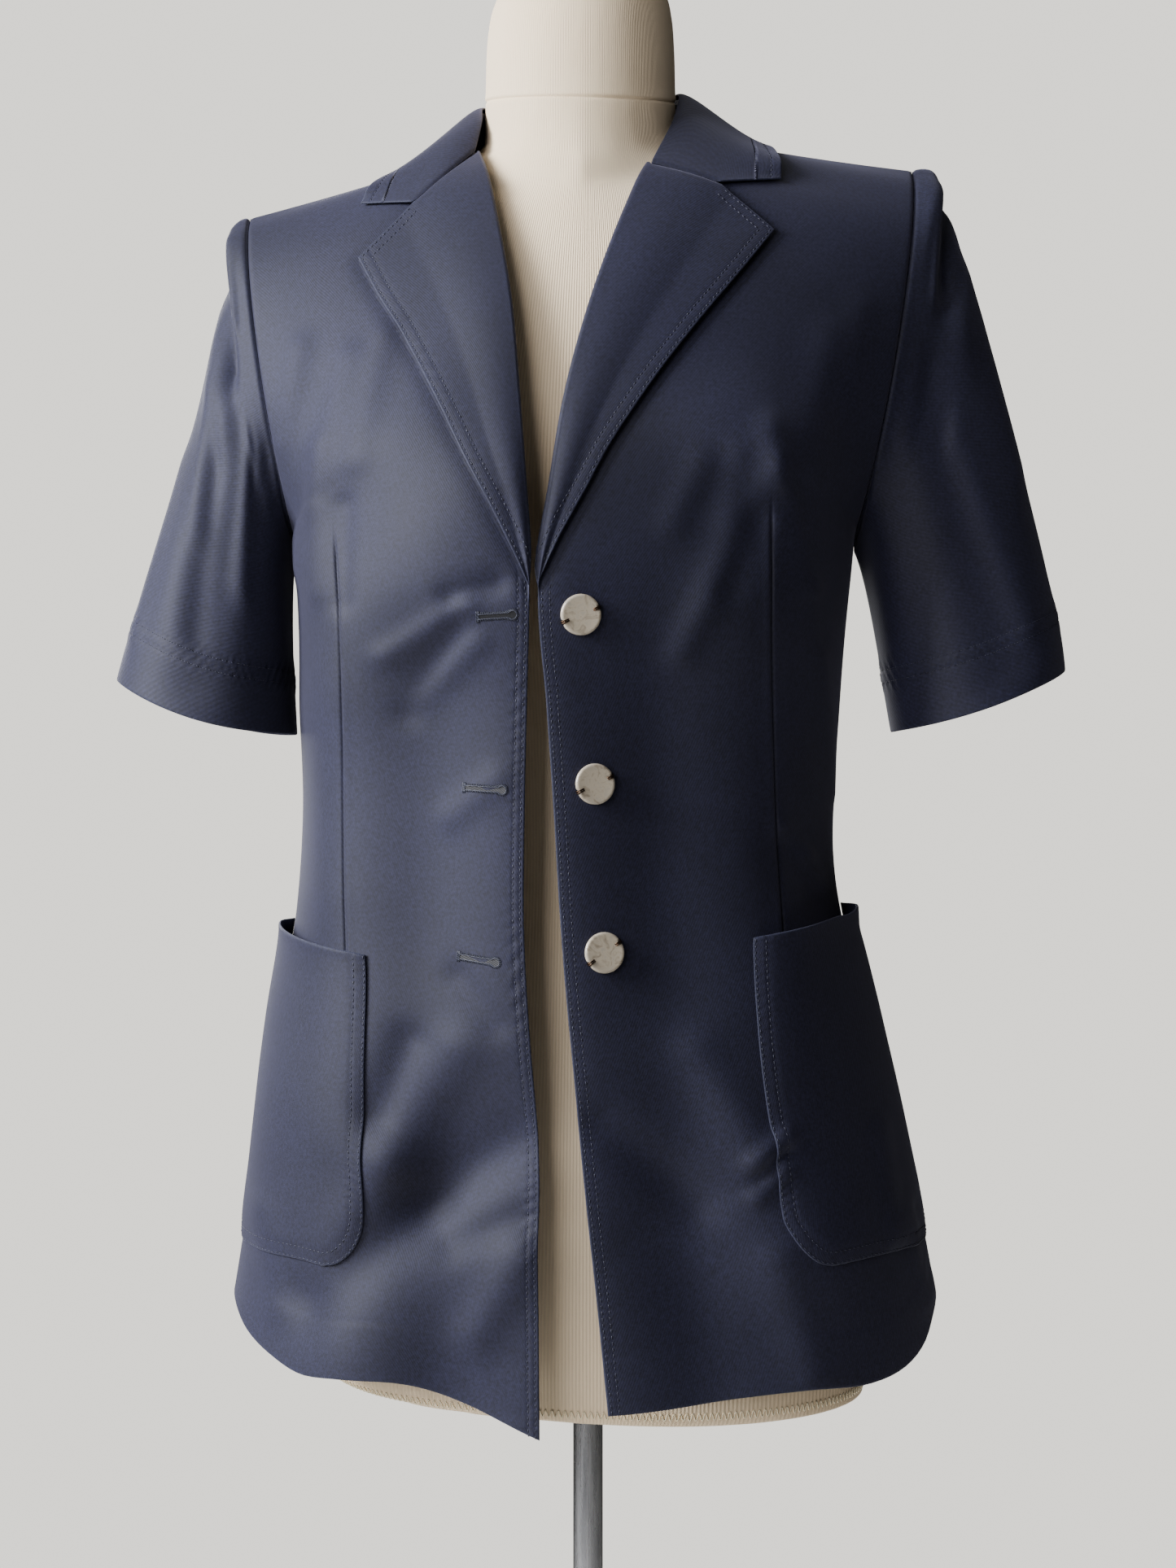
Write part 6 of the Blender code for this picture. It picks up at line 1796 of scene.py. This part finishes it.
def fall_row(crest, edge, row, v):
    """One line of the fall from the crest down to its outer edge."""
    out = unit(np.array([crest[0], crest[1] - NECK_CENTRE_Y, 0.0]))
    first = crest + out * row.roll + np.array([0.0, 0.0, CREST_RISE])
    second = blend(edge, crest, 0.35) - np.array([0.0, 0.0, row.sag])
    return bezier(crest, first, second, edge, v[:, None])


def neck_foot(crest, front):
    """Foot of the stand under a crest point, just above the panels' neck edge."""
    point_y = NECK_POINT[1]
    if crest[1] > point_y:
        share = (crest[1] - point_y) / (COLLAR_BACK.crest_y - point_y)
        foot = np.array([NECK_POINT[0] * math.sqrt(1 - share * share),
                         blend(point_y, CENTRE_BACK[-1].y, share),
                         blend(NECK_POINT[2], CENTRE_BACK[-1].z, share)])
    else:
        levels = front.edge[-4:]
        foot = np.array([np.interp(crest[1], levels[:, 1], levels[:, axis]) for axis in range(3)])
    return foot + np.array([0.0, 0.0, FOOT_RISE])


def add_collar():
    """The collar: a fall rolled over a stand, stitched round its outer edge."""
    v = np.concatenate([[0], np.linspace(0.012, 0.80, 34),
                        1 - np.array(EDGE_LINES[::-1]) / COLLAR_WIDEST])
    falls, crests, feet = collar_stations(v)
    knots = run_lengths(crests)
    fine = [np.linspace(a, b, 16, endpoint=False) for a, b in zip(knots[:-1], knots[1:])]
    close = np.array(COLLAR_END_LINES)
    places = np.unique(np.concatenate(fine + [knots[-1:], close, knots[-1] - close]))
    rows = through(knots, falls.reshape(len(falls), -1), places).reshape(len(places), -1, 3)
    normal = unit(np.cross(np.gradient(rows, axis=1), np.gradient(rows, axis=0)))
    normal *= np.sign(normal[len(normal) // 2, len(v) // 2, 1])
    sheet = Sheet(rows, normal, thick=FOLDED_SHELL)
    points = rows.copy()
    notch = int(np.argmin(np.abs(v - NOTCH_SHARE)))
    outline = np.concatenate([points[0, notch:], points[1:-1, -1], points[-1, notch:][::-1]])
    sewing = SEWING["collar"]
    sheet.free_edge(outline)
    sheet.stitched(points[:, -1], sewing)
    for end in (0, -1):
        sheet.seamed(points[end, :notch], *GORGE_SEAM)
    made = add_shell("collar_fall", sheet)
    lines = [inset_line(sheet, points[3:-3, -1], distance) for distance in sewing.rows]
    declare("collar_fall", made, [add_rows("collar", sheet, lines, sewing)])
    add_stand_piece(knots, crests, feet, places)


def add_stand_piece(knots, crests, feet, places):
    """The collar's stand, from the neckline up to the underside of the roll."""
    top = through(knots, crests, places)
    foot = through(knots, feet, places)
    out = top - np.array([0.0, NECK_CENTRE_Y, 0.0])
    out[:, 2] = 0
    out = unit(out)
    top = top - np.array([0.0, 0.0, COLLAR_WALL + 0.4 + FOLDED_SHELL])
    foot = foot - CLOTH * out
    levels = np.linspace(0, 1, 9)[None, :, None]
    outer = foot[:, None] + (top - foot)[:, None] * levels + CLOTH * out[:, None]
    keep = (places >= knots[1]) & (places <= knots[-2])
    outward = np.broadcast_to(out[:, None], outer.shape)
    declare("collar_stand", add_shell("collar_stand", Sheet(outer[keep], outward[keep])), [])


# Pockets

def pocket_net(panel, sizes):
    """A pocket's net on its front: s and t, and the height of its outer face there."""
    across = np.concatenate([POCKET_SIDE_LINES, np.linspace(0.125, 0.875, 34),
                             1 - POCKET_SIDE_LINES[::-1]])
    up = np.concatenate([POCKET_LOW_LINES, np.linspace(0.062, 0.93, 92), POCKET_MOUTH_LINES])
    side_t = np.linspace(0, panel.underarm, 80)
    side_z = panel.point(np.ones(80), side_t)[:, 2]
    tall = sizes.top_front - sizes.bottom
    low_reach = panel.from_side(sizes.front_bottom, sizes.bottom)
    high_reach = panel.from_side(sizes.front_top, sizes.top_front)
    shares = np.linspace(0, 1, 60)
    s_net = np.empty((len(up), len(across)))
    t_net = np.empty_like(s_net)
    lift = np.empty_like(s_net)
    for row, share in enumerate(up):
        cut = max(POCKET_CORNER - share * tall, 0)
        cut = POCKET_CORNER - math.sqrt(max(POCKET_CORNER ** 2 - cut ** 2, 0))
        front = blend(low_reach, high_reach, share) - cut
        front += sizes.belly * math.sin(share * math.pi)
        reach = blend(front, sizes.back + cut, across)
        z = blend(sizes.bottom, blend(sizes.top_front, sizes.top_side, across), share)
        t_net[row] = np.interp(z, side_z, side_t)
        lines = panel.point(np.repeat(shares[None], len(across), 0),
                            np.repeat(t_net[row][:, None], 60, 1))
        for column in range(len(across)):
            lengths = run_lengths(lines[column, ::-1])
            s_net[row, column] = np.interp(reach[column], lengths, shares[::-1])
        open_by = sizes.gape * share ** 6 * np.sin(across * math.pi) ** 0.8
        bulge = sizes.fill * ramp(0.1, 0.9, share) * ramp(0.3, 0.9, across)
        bulge *= 1 - ramp(0.86, 1.0, across)
        slack = POCKET_SLACK * math.sin(share * math.pi) * np.sin(across * math.pi)
        lift[row] = POCKET_REST + POCKET_WALL + open_by + bulge + slack
    return s_net, t_net, lift


def sewn_edge(points):
    """A pocket's three stitched sides, from its mouth down the front and round to the side."""
    return np.concatenate([points[::-1, 0], points[0, 1:-1], points[:, -1]])


def add_pocket(side):
    """A patch pocket with rounded corners, stitched down on three sides, its mouth open."""
    name = "pocket_" + side
    panel = front_panel(side)
    s_net, t_net, lift = pocket_net(panel, POCKETS[side])
    points = panel.raised(s_net, t_net, lift)
    normals = unit(np.cross(np.gradient(points, axis=1), np.gradient(points, axis=0)))
    normals *= np.sign((normals * panel.normal(s_net, t_net)).sum(axis=-1, keepdims=True))
    pressed = POCKET_PRESSED * (1 - ramp(1, 12, gap_to(points, sewn_edge(points))[0]))
    sheet = Sheet(points - normals * pressed[..., None], normals, thick=FOLDED_SHELL)
    points = sheet.points.copy()
    outline = sewn_edge(points)
    sewing = SEWING["pocket"]
    sheet.free_edge(outline)
    sheet.free_edge(points[-1])
    sheet.stitched(outline, sewing)
    gap, _ = gap_to(points, points[-1])
    sheet.relief += 0.25 * (1 - ramp(1.5, 4.0, gap))
    made = add_shell(name, sheet, side)
    lines = [inset_line(sheet, resampled(outline, 2.5), distance) for distance in sewing.rows]
    declare(name, made, [add_rows(name, sheet, lines, sewing, side)])


# Buttons

def button_place(node):
    """Centre and direction of a button as far off the shown cloth as its solid is off its own."""
    corners = np.array([vertex.co[:] for vertex in node.data.vertices])
    centre = corners.mean(axis=0)
    flat = np.linalg.svd(corners - centre)[2]
    solid = frame["nodes"]["front_left"].data
    solid_tree = BVHTree.FromPolygons([vertex.co[:] for vertex in solid.vertices],
                                      [face.vertices[:] for face in solid.polygons])
    off_cloth = solid_tree.find_nearest(centre.tolist())[3]
    sheet = front_sheet("left")
    shown = place(sheet.points, "left")
    tree = BVHTree.FromPolygons(shown.reshape(-1, 3).tolist(), sheet.faces().tolist())
    outward = np.zeros(3)
    for angle in np.linspace(0, 2 * math.pi, 12, endpoint=False):
        spot = centre + BUTTON_FOOT * MM * (flat[0] * math.cos(angle) + flat[1] * math.sin(angle))
        normal = np.array(tree.find_nearest(spot.tolist())[1])
        outward += normal if normal[1] < 0 else -normal
    outward = unit(outward)
    return np.array(tree.find_nearest(centre.tolist())[0]) + outward * off_cloth, outward


def add_button(spot):
    """A shell button: a shallow dish with a soft rim, and two wire loops at its rim notches."""
    centre, outward = button_place(frame["nodes"][spot.name])
    axis_x = unit(np.cross([0.0, 0.0, 1.0], outward))
    axis_y = np.cross(outward, axis_x)
    sizes = bpy.context.scene.blazer_button
    radius = sizes.diameter / 2
    half = sizes.thickness / 2
    turn = math.radians(spot.turn)
    vertices = []
    for ring in BUTTON_RINGS:
        for step in range(BUTTON_SIDES):
            angle = 2 * math.pi * step / BUTTON_SIDES
            apart = min(abs(math.remainder(angle, 2 * math.pi)),
                        abs(math.remainder(angle - math.pi, 2 * math.pi)))
            bite = sizes.notch * math.exp(-(apart * radius / sizes.notch / 0.9) ** 2)
            reach = max(radius * ring.reach - bite * (ring.reach > 0.9), 0.0)
            direction = axis_x * math.cos(angle + turn) + axis_y * math.sin(angle + turn)
            vertices.append(centre + direction * reach + outward * half * ring.rise)
    faces = grid_faces(len(BUTTON_RINGS), BUTTON_SIDES, True).tolist()
    disc = add_mesh(spot.name + "_disc", vertices, faces, finish("pearl"))
    close_up(disc, 1e-6)
    state(disc, "ivory_pearl", spot.name)
    loops = []
    angle = np.linspace(-0.45 * math.pi, 0.95 * math.pi, 15)[:, None]
    for facing in (0.0, math.pi):
        direction = axis_x * math.cos(turn + facing) + axis_y * math.sin(turn + facing)
        aside = np.cross(outward, direction)
        middle = centre + direction * (radius - WIRE_INSIDE * MM)
        for shift in (-WIRE_APART * MM, WIRE_APART * MM):
            path = (middle + aside * shift + direction * (WIRE_REACH * MM * np.cos(angle))
                    + outward * ((half + WIRE_OVER * MM) * np.sin(angle)))
            loops.append(tube(path, aside, sizes.wire / 2, 8))
    wires = add_mesh(spot.name + "_wire_loops", *joined(loops), finish("bronze"))
    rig.ride(wires, "root")


# Dress form and stand

def cast(tree, start, direction):
    """Where a ray meets the form."""
    found = tree.ray_cast(start.tolist(), direction.tolist())[0]
    if found is None:
        raise RuntimeError("the form has no face at %s" % start)
    return np.array(found)


def form_tree():
    """Search tree over the form's solid, smoothed, in millimetres."""
    node = frame["nodes"]["form_torso"]
    rough = add_object("form_rough", node.data.copy())
    close_up(rough, 2e-5)
    smooth = rough.modifiers.new("smooth", "SUBSURF")
    smooth.levels = 2
    fine = rough.evaluated_get(bpy.context.evaluated_depsgraph_get()).to_mesh()
    corners = [(vertex.co / MM)[:] for vertex in fine.vertices]
    faces = [face.vertices[:] for face in fine.polygons]
    bpy.data.objects.remove(rough, do_unlink=True)
    return BVHTree.FromPolygons(corners, faces)


def form_net():
    """Rings of points up the form, close at its rim and at the seam of its neck."""
    tree = form_tree()
    angles = np.linspace(0, 2 * math.pi, FORM_SIDES, endpoint=False)
    axis = np.array([0.0, NECK_CENTRE_Y, 0.0])
    upward = np.array([0.0, 0.0, 1.0])
    middle = np.linspace(0, 1, 130)[1:-1]
    upper = np.linspace(0, 1, 22)[1:]
    columns = []
    for angle in angles:
        direction = np.array([np.cos(angle), np.sin(angle), 0.0])
        rim_z = cast(tree, axis + direction * FORM_PROBE + [0, 0, DATUM - FORM_BELOW], upward)[2]
        seam_z = DATUM + NECK_SEAM_FRONT + (NECK_SEAM_BACK - NECK_SEAM_FRONT) * (
            1 + np.sin(angle)) / 2
        low = rim_z + RIM_LINES
        near = seam_z + NECK_LINES
        heights = np.concatenate([low, blend(low[-1], near[0], middle), near,
                                  blend(near[-1], DATUM + FORM_TOP, upper)])
        columns.append([cast(tree, axis + [0, 0, z] + direction * FORM_OUTSIDE, -direction)
                        for z in heights])
    seam_row = len(RIM_LINES) + len(middle) + int(np.argmin(np.abs(NECK_LINES)))
    return np.stack(columns, axis=1), seam_row


def add_dress_form():
    """The form's jersey skin with the seam of its neck piece and its overlocked rim."""
    points, seam_row = form_net()
    across = np.roll(points, -1, axis=1) - np.roll(points, 1, axis=1)
    normals = unit(np.cross(across, np.gradient(points, axis=0)))
    if (normals * (points - points.mean(axis=(0, 1)))).sum() < 0:
        normals = -normals
    sheet = Sheet(points, normals, ring=True)
    gap, _ = gap_to(points, closed(points[seam_row]))
    above = points[..., 2] > points[seam_row, :, 2][None]
    sheet.relief = 0.45 * np.exp(-(gap / 4) ** 2) * above - 1.0 * np.exp(-(gap / 0.9) ** 2)
    rows, columns = points.shape[:2]
    faces = sheet.faces().tolist()
    faces.append(list(range(columns))[::-1])
    faces.append(list(range((rows - 1) * columns, rows * columns)))
    made = add_mesh("form_jersey", sheet.outer().reshape(-1, 3) * MM, faces, finish("jersey"))
    close_up(made)
    state(made, "cream_jersey", "form_torso")
    rim = closed(points[RIM_ROW])
    length = run_lengths(rim)[-1]
    count = int(length / OVERLOCK_PITCH) * OVERLOCK_STEPS
    path = read_line(rim, np.linspace(0, length, count))
    path[:, 2] += OVERLOCK_HEIGHT * np.sin(np.arange(count) * 2 * math.pi / OVERLOCK_STEPS)
    vertices, faces = tube(*sheet.seat(path, OVERLOCK_CORD.rise), OVERLOCK_CORD.radius, 5)
    state(add_mesh("form_overlock", vertices * MM, faces, finish("cream_thread")),
          "cream_jersey")


def finish_stand():
    """Better finishes for the stand's nodes, whose shapes are right."""
    for name, kind in (("pole", "chrome"), ("base_hub", "chrome"), ("form_flange", "enamel"),
                       ("base", "enamel")):
        node = frame["nodes"][name]
        for slot_place in node.material_slots:
            slot_place.material = finish(kind)


# Stage

def add_stage(sizes):
    """Floor, lights and the camera at the photograph's place."""
    turn = np.linspace(0, 2 * math.pi, FLOOR_SIDES, endpoint=False)
    vertices = [(radius * math.cos(angle), radius * math.sin(angle), 0.0)
                for radius in FLOOR_RINGS for angle in turn]
    faces = grid_faces(len(FLOOR_RINGS), FLOOR_SIDES, True).tolist()
    floor = add_mesh("floor", vertices, faces, finish("floor"))
    close_up(floor, 1e-6)
    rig.stage(floor)
    for lamp in LAMPS:
        add_light(lamp)
    world = bpy.data.worlds.new("studio")
    world.use_nodes = True
    tree = world.node_tree
    ground = tree.nodes["Background"]
    set_inputs(ground, {"Color": linear("#CFCDC8"), "Strength": 0.06})
    seen = add_node(tree, "ShaderNodeBackground", None,
                    {"Color": linear(sizes.backdrop_hex), "Strength": sizes.backdrop_strength})
    path = add_node(tree, "ShaderNodeLightPath")
    mixed = add_node(tree, "ShaderNodeMixShader", None,
                     {0: (path, "Is Camera Ray"), 1: (ground, "Background"),
                      2: (seen, "Background")})
    set_inputs(tree.nodes["World Output"], {"Surface": (mixed, "Shader")})
    bpy.context.scene.world = world
    camera = bpy.data.cameras.new("camera")
    camera.lens = sizes.lens
    camera.sensor_width = 36.0
    holder = add_object("camera", camera)
    holder.location = (0.0, -sizes.camera_distance, sizes.camera_height)
    holder.rotation_euler = (math.radians(90), 0.0, 0.0)
    bpy.context.scene.camera = holder


def add_light(lamp):
    """A soft rectangular light."""
    light = bpy.data.lights.new(lamp.name, "AREA")
    light.shape = "RECTANGLE"
    light.size, light.size_y = lamp.size
    light.energy = lamp.power
    light.color = linear(lamp.colour)[:3]
    holder = add_object(lamp.name, light)
    back = np.array(lamp.at) - np.array(lamp.aim)
    holder.location = lamp.at
    holder.rotation_euler = (math.acos(back[2] / np.linalg.norm(back)), 0.0,
                             math.atan2(back[1], back[0]) + math.pi / 2)


# Settings

class BlazerCloth(bpy.types.PropertyGroup):
    """Sizes of the blazer's cloth."""

    # The real ribs are 0.6 mm apart, too fine to show.
    twill_spacing: bpy.props.FloatProperty(
        name="Twill spacing", description="Distance between the twill's ribs", default=0.0014,
        unit="LENGTH")
    sheen: bpy.props.FloatProperty(
        name="Sheen", description="Strength of the cloth's dusty sheen", default=0.19, min=0.0,
        max=1.0, subtype="FACTOR")
    dark_hex: bpy.props.StringProperty(
        name="Dark navy", description="sRGB colour of the deeper dye", default="#151626")
    light_hex: bpy.props.StringProperty(
        name="Light navy", description="sRGB colour of the paler dye", default="#1C1D31")
    worn_hex: bpy.props.StringProperty(
        name="Worn navy", description="sRGB colour of rubbed edges", default="#2E3244")


class BlazerButton(bpy.types.PropertyGroup):
    """Sizes of the buttons."""

    diameter: bpy.props.FloatProperty(
        name="Diameter", description="Across a button", default=0.023, unit="LENGTH")
    thickness: bpy.props.FloatProperty(
        name="Thickness", description="From a button's back to its rim", default=0.003,
        unit="LENGTH")
    notch: bpy.props.FloatProperty(
        name="Notch", description="Depth of a rim notch", default=0.0013, unit="LENGTH")
    wire: bpy.props.FloatProperty(
        name="Wire", description="Diameter of the wire loops", default=0.0008, unit="LENGTH")


class BlazerForm(bpy.types.PropertyGroup):
    """Sizes of the dress form's jersey."""

    rib_spacing: bpy.props.FloatProperty(
        name="Rib spacing", description="Distance between the jersey's ribs", default=0.0021,
        unit="LENGTH")
    form_radius: bpy.props.FloatProperty(
        name="Form radius", description="Average radius the ribs run round", default=0.12,
        unit="LENGTH")


class BlazerStage(bpy.types.PropertyGroup):
    """Camera and backdrop."""

    camera_distance: bpy.props.FloatProperty(
        name="Camera distance", description="From the camera to the middle of the form",
        default=1.433, unit="LENGTH")
    camera_height: bpy.props.FloatProperty(
        name="Camera height", description="Above the floor", default=1.07, unit="LENGTH")
    lens: bpy.props.FloatProperty(
        name="Lens", description="Focal length in millimetres", default=54.07, unit="CAMERA")
    backdrop_hex: bpy.props.StringProperty(
        name="Backdrop", description="sRGB colour behind the object", default="#DAD7D0")
    backdrop_strength: bpy.props.FloatProperty(
        name="Backdrop strength", description="Brightness of the backdrop", default=2.1)


class BLAZER_OT_fronts(bpy.types.Operator):
    """Both fronts with their stitching and buttonholes."""

    bl_idname = "blazer.fronts"
    bl_label = "Fronts"

    def execute(self, context):
        for side in SIDES:
            add_front(side)
        return {"FINISHED"}


class BLAZER_OT_backs(bpy.types.Operator):
    """Both halves of the back."""

    bl_idname = "blazer.backs"
    bl_label = "Backs"

    def execute(self, context):
        for side in SIDES:
            declare("back_" + side, add_shell("back_" + side, back_sheet(), side), [])
        return {"FINISHED"}


class BLAZER_OT_sleeves(bpy.types.Operator):
    """Both short sleeves."""

    bl_idname = "blazer.sleeves"
    bl_label = "Sleeves"

    def execute(self, context):
        for side in SIDES:
            add_sleeve(side)
        return {"FINISHED"}


class BLAZER_OT_lapels(bpy.types.Operator):
    """Both notched lapels."""

    bl_idname = "blazer.lapels"
    bl_label = "Lapels"

    def execute(self, context):
        for side in SIDES:
            add_lapel(side)
        return {"FINISHED"}


class BLAZER_OT_collar(bpy.types.Operator):
    """Collar fall and stand."""

    bl_idname = "blazer.collar"
    bl_label = "Collar"

    def execute(self, context):
        add_collar()
        return {"FINISHED"}


class BLAZER_OT_pockets(bpy.types.Operator):
    """Both patch pockets."""

    bl_idname = "blazer.pockets"
    bl_label = "Pockets"

    def execute(self, context):
        for side in SIDES:
            add_pocket(side)
        return {"FINISHED"}


class BLAZER_OT_buttons(bpy.types.Operator):
    """The three buttons and their wire loops."""

    bl_idname = "blazer.buttons"
    bl_label = "Buttons"

    def execute(self, context):
        for spot in BUTTONS:
            add_button(spot)
        return {"FINISHED"}


class BLAZER_OT_form(bpy.types.Operator):
    """The dress form and the finishes of its stand."""

    bl_idname = "blazer.form"
    bl_label = "Dress form"

    def execute(self, context):
        add_dress_form()
        finish_stand()
        return {"FINISHED"}


class BLAZER_OT_stage(bpy.types.Operator):
    """Floor, lights and camera."""

    bl_idname = "blazer.stage"
    bl_label = "Stage"

    def execute(self, context):
        add_stage(context.scene.blazer_stage)
        return {"FINISHED"}


OPERATORS = [BLAZER_OT_fronts, BLAZER_OT_backs, BLAZER_OT_sleeves, BLAZER_OT_lapels,
             BLAZER_OT_collar, BLAZER_OT_pockets, BLAZER_OT_buttons, BLAZER_OT_form,
             BLAZER_OT_stage]
SETTINGS = {"blazer_cloth": BlazerCloth, "blazer_button": BlazerButton,
            "blazer_form": BlazerForm, "blazer_stage": BlazerStage}


class BLAZER_PT_panel(bpy.types.Panel):
    """Settings and steps of the blazer."""

    bl_label = "Blazer"
    bl_idname = "BLAZER_PT_panel"
    bl_space_type = "VIEW_3D"
    bl_region_type = "UI"
    bl_category = "Blazer"

    def draw(self, context):
        for name, group in SETTINGS.items():
            box = self.layout.box()
            for field in group.__annotations__:
                box.prop(getattr(context.scene, name), field)
        for operator in OPERATORS:
            self.layout.operator(operator.bl_idname)


def register():
    """Add the settings, steps and panel."""
    for group in SETTINGS.values():
        bpy.utils.register_class(group)
    for operator in OPERATORS:
        bpy.utils.register_class(operator)
    bpy.utils.register_class(BLAZER_PT_panel)
    for name, group in SETTINGS.items():
        setattr(bpy.types.Scene, name, bpy.props.PointerProperty(type=group))


def unregister():
    """Take them out again."""
    for name in SETTINGS:
        delattr(bpy.types.Scene, name)
    bpy.utils.unregister_class(BLAZER_PT_panel)
    for group in OPERATORS[::-1] + list(SETTINGS.values())[::-1]:
        bpy.utils.unregister_class(group)


def main():
    """Build every piece in order, and note the frame's box and the finished one."""
    register()
    for operator in OPERATORS:
        step = operator.bl_idname.split(".")[1]
        if getattr(bpy.ops.blazer, step)() != {"FINISHED"}:
            raise RuntimeError("step " + step + " did not finish")
    low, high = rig.bounds()
    sizes = {"cad": [list(CAD_LOW), list(CAD_HIGH)], "visual": [list(low), list(high)]}
    with open(SIZE_FILE, "w") as file:
        json.dump(sizes, file)


if __name__ == "__main__":
    main()
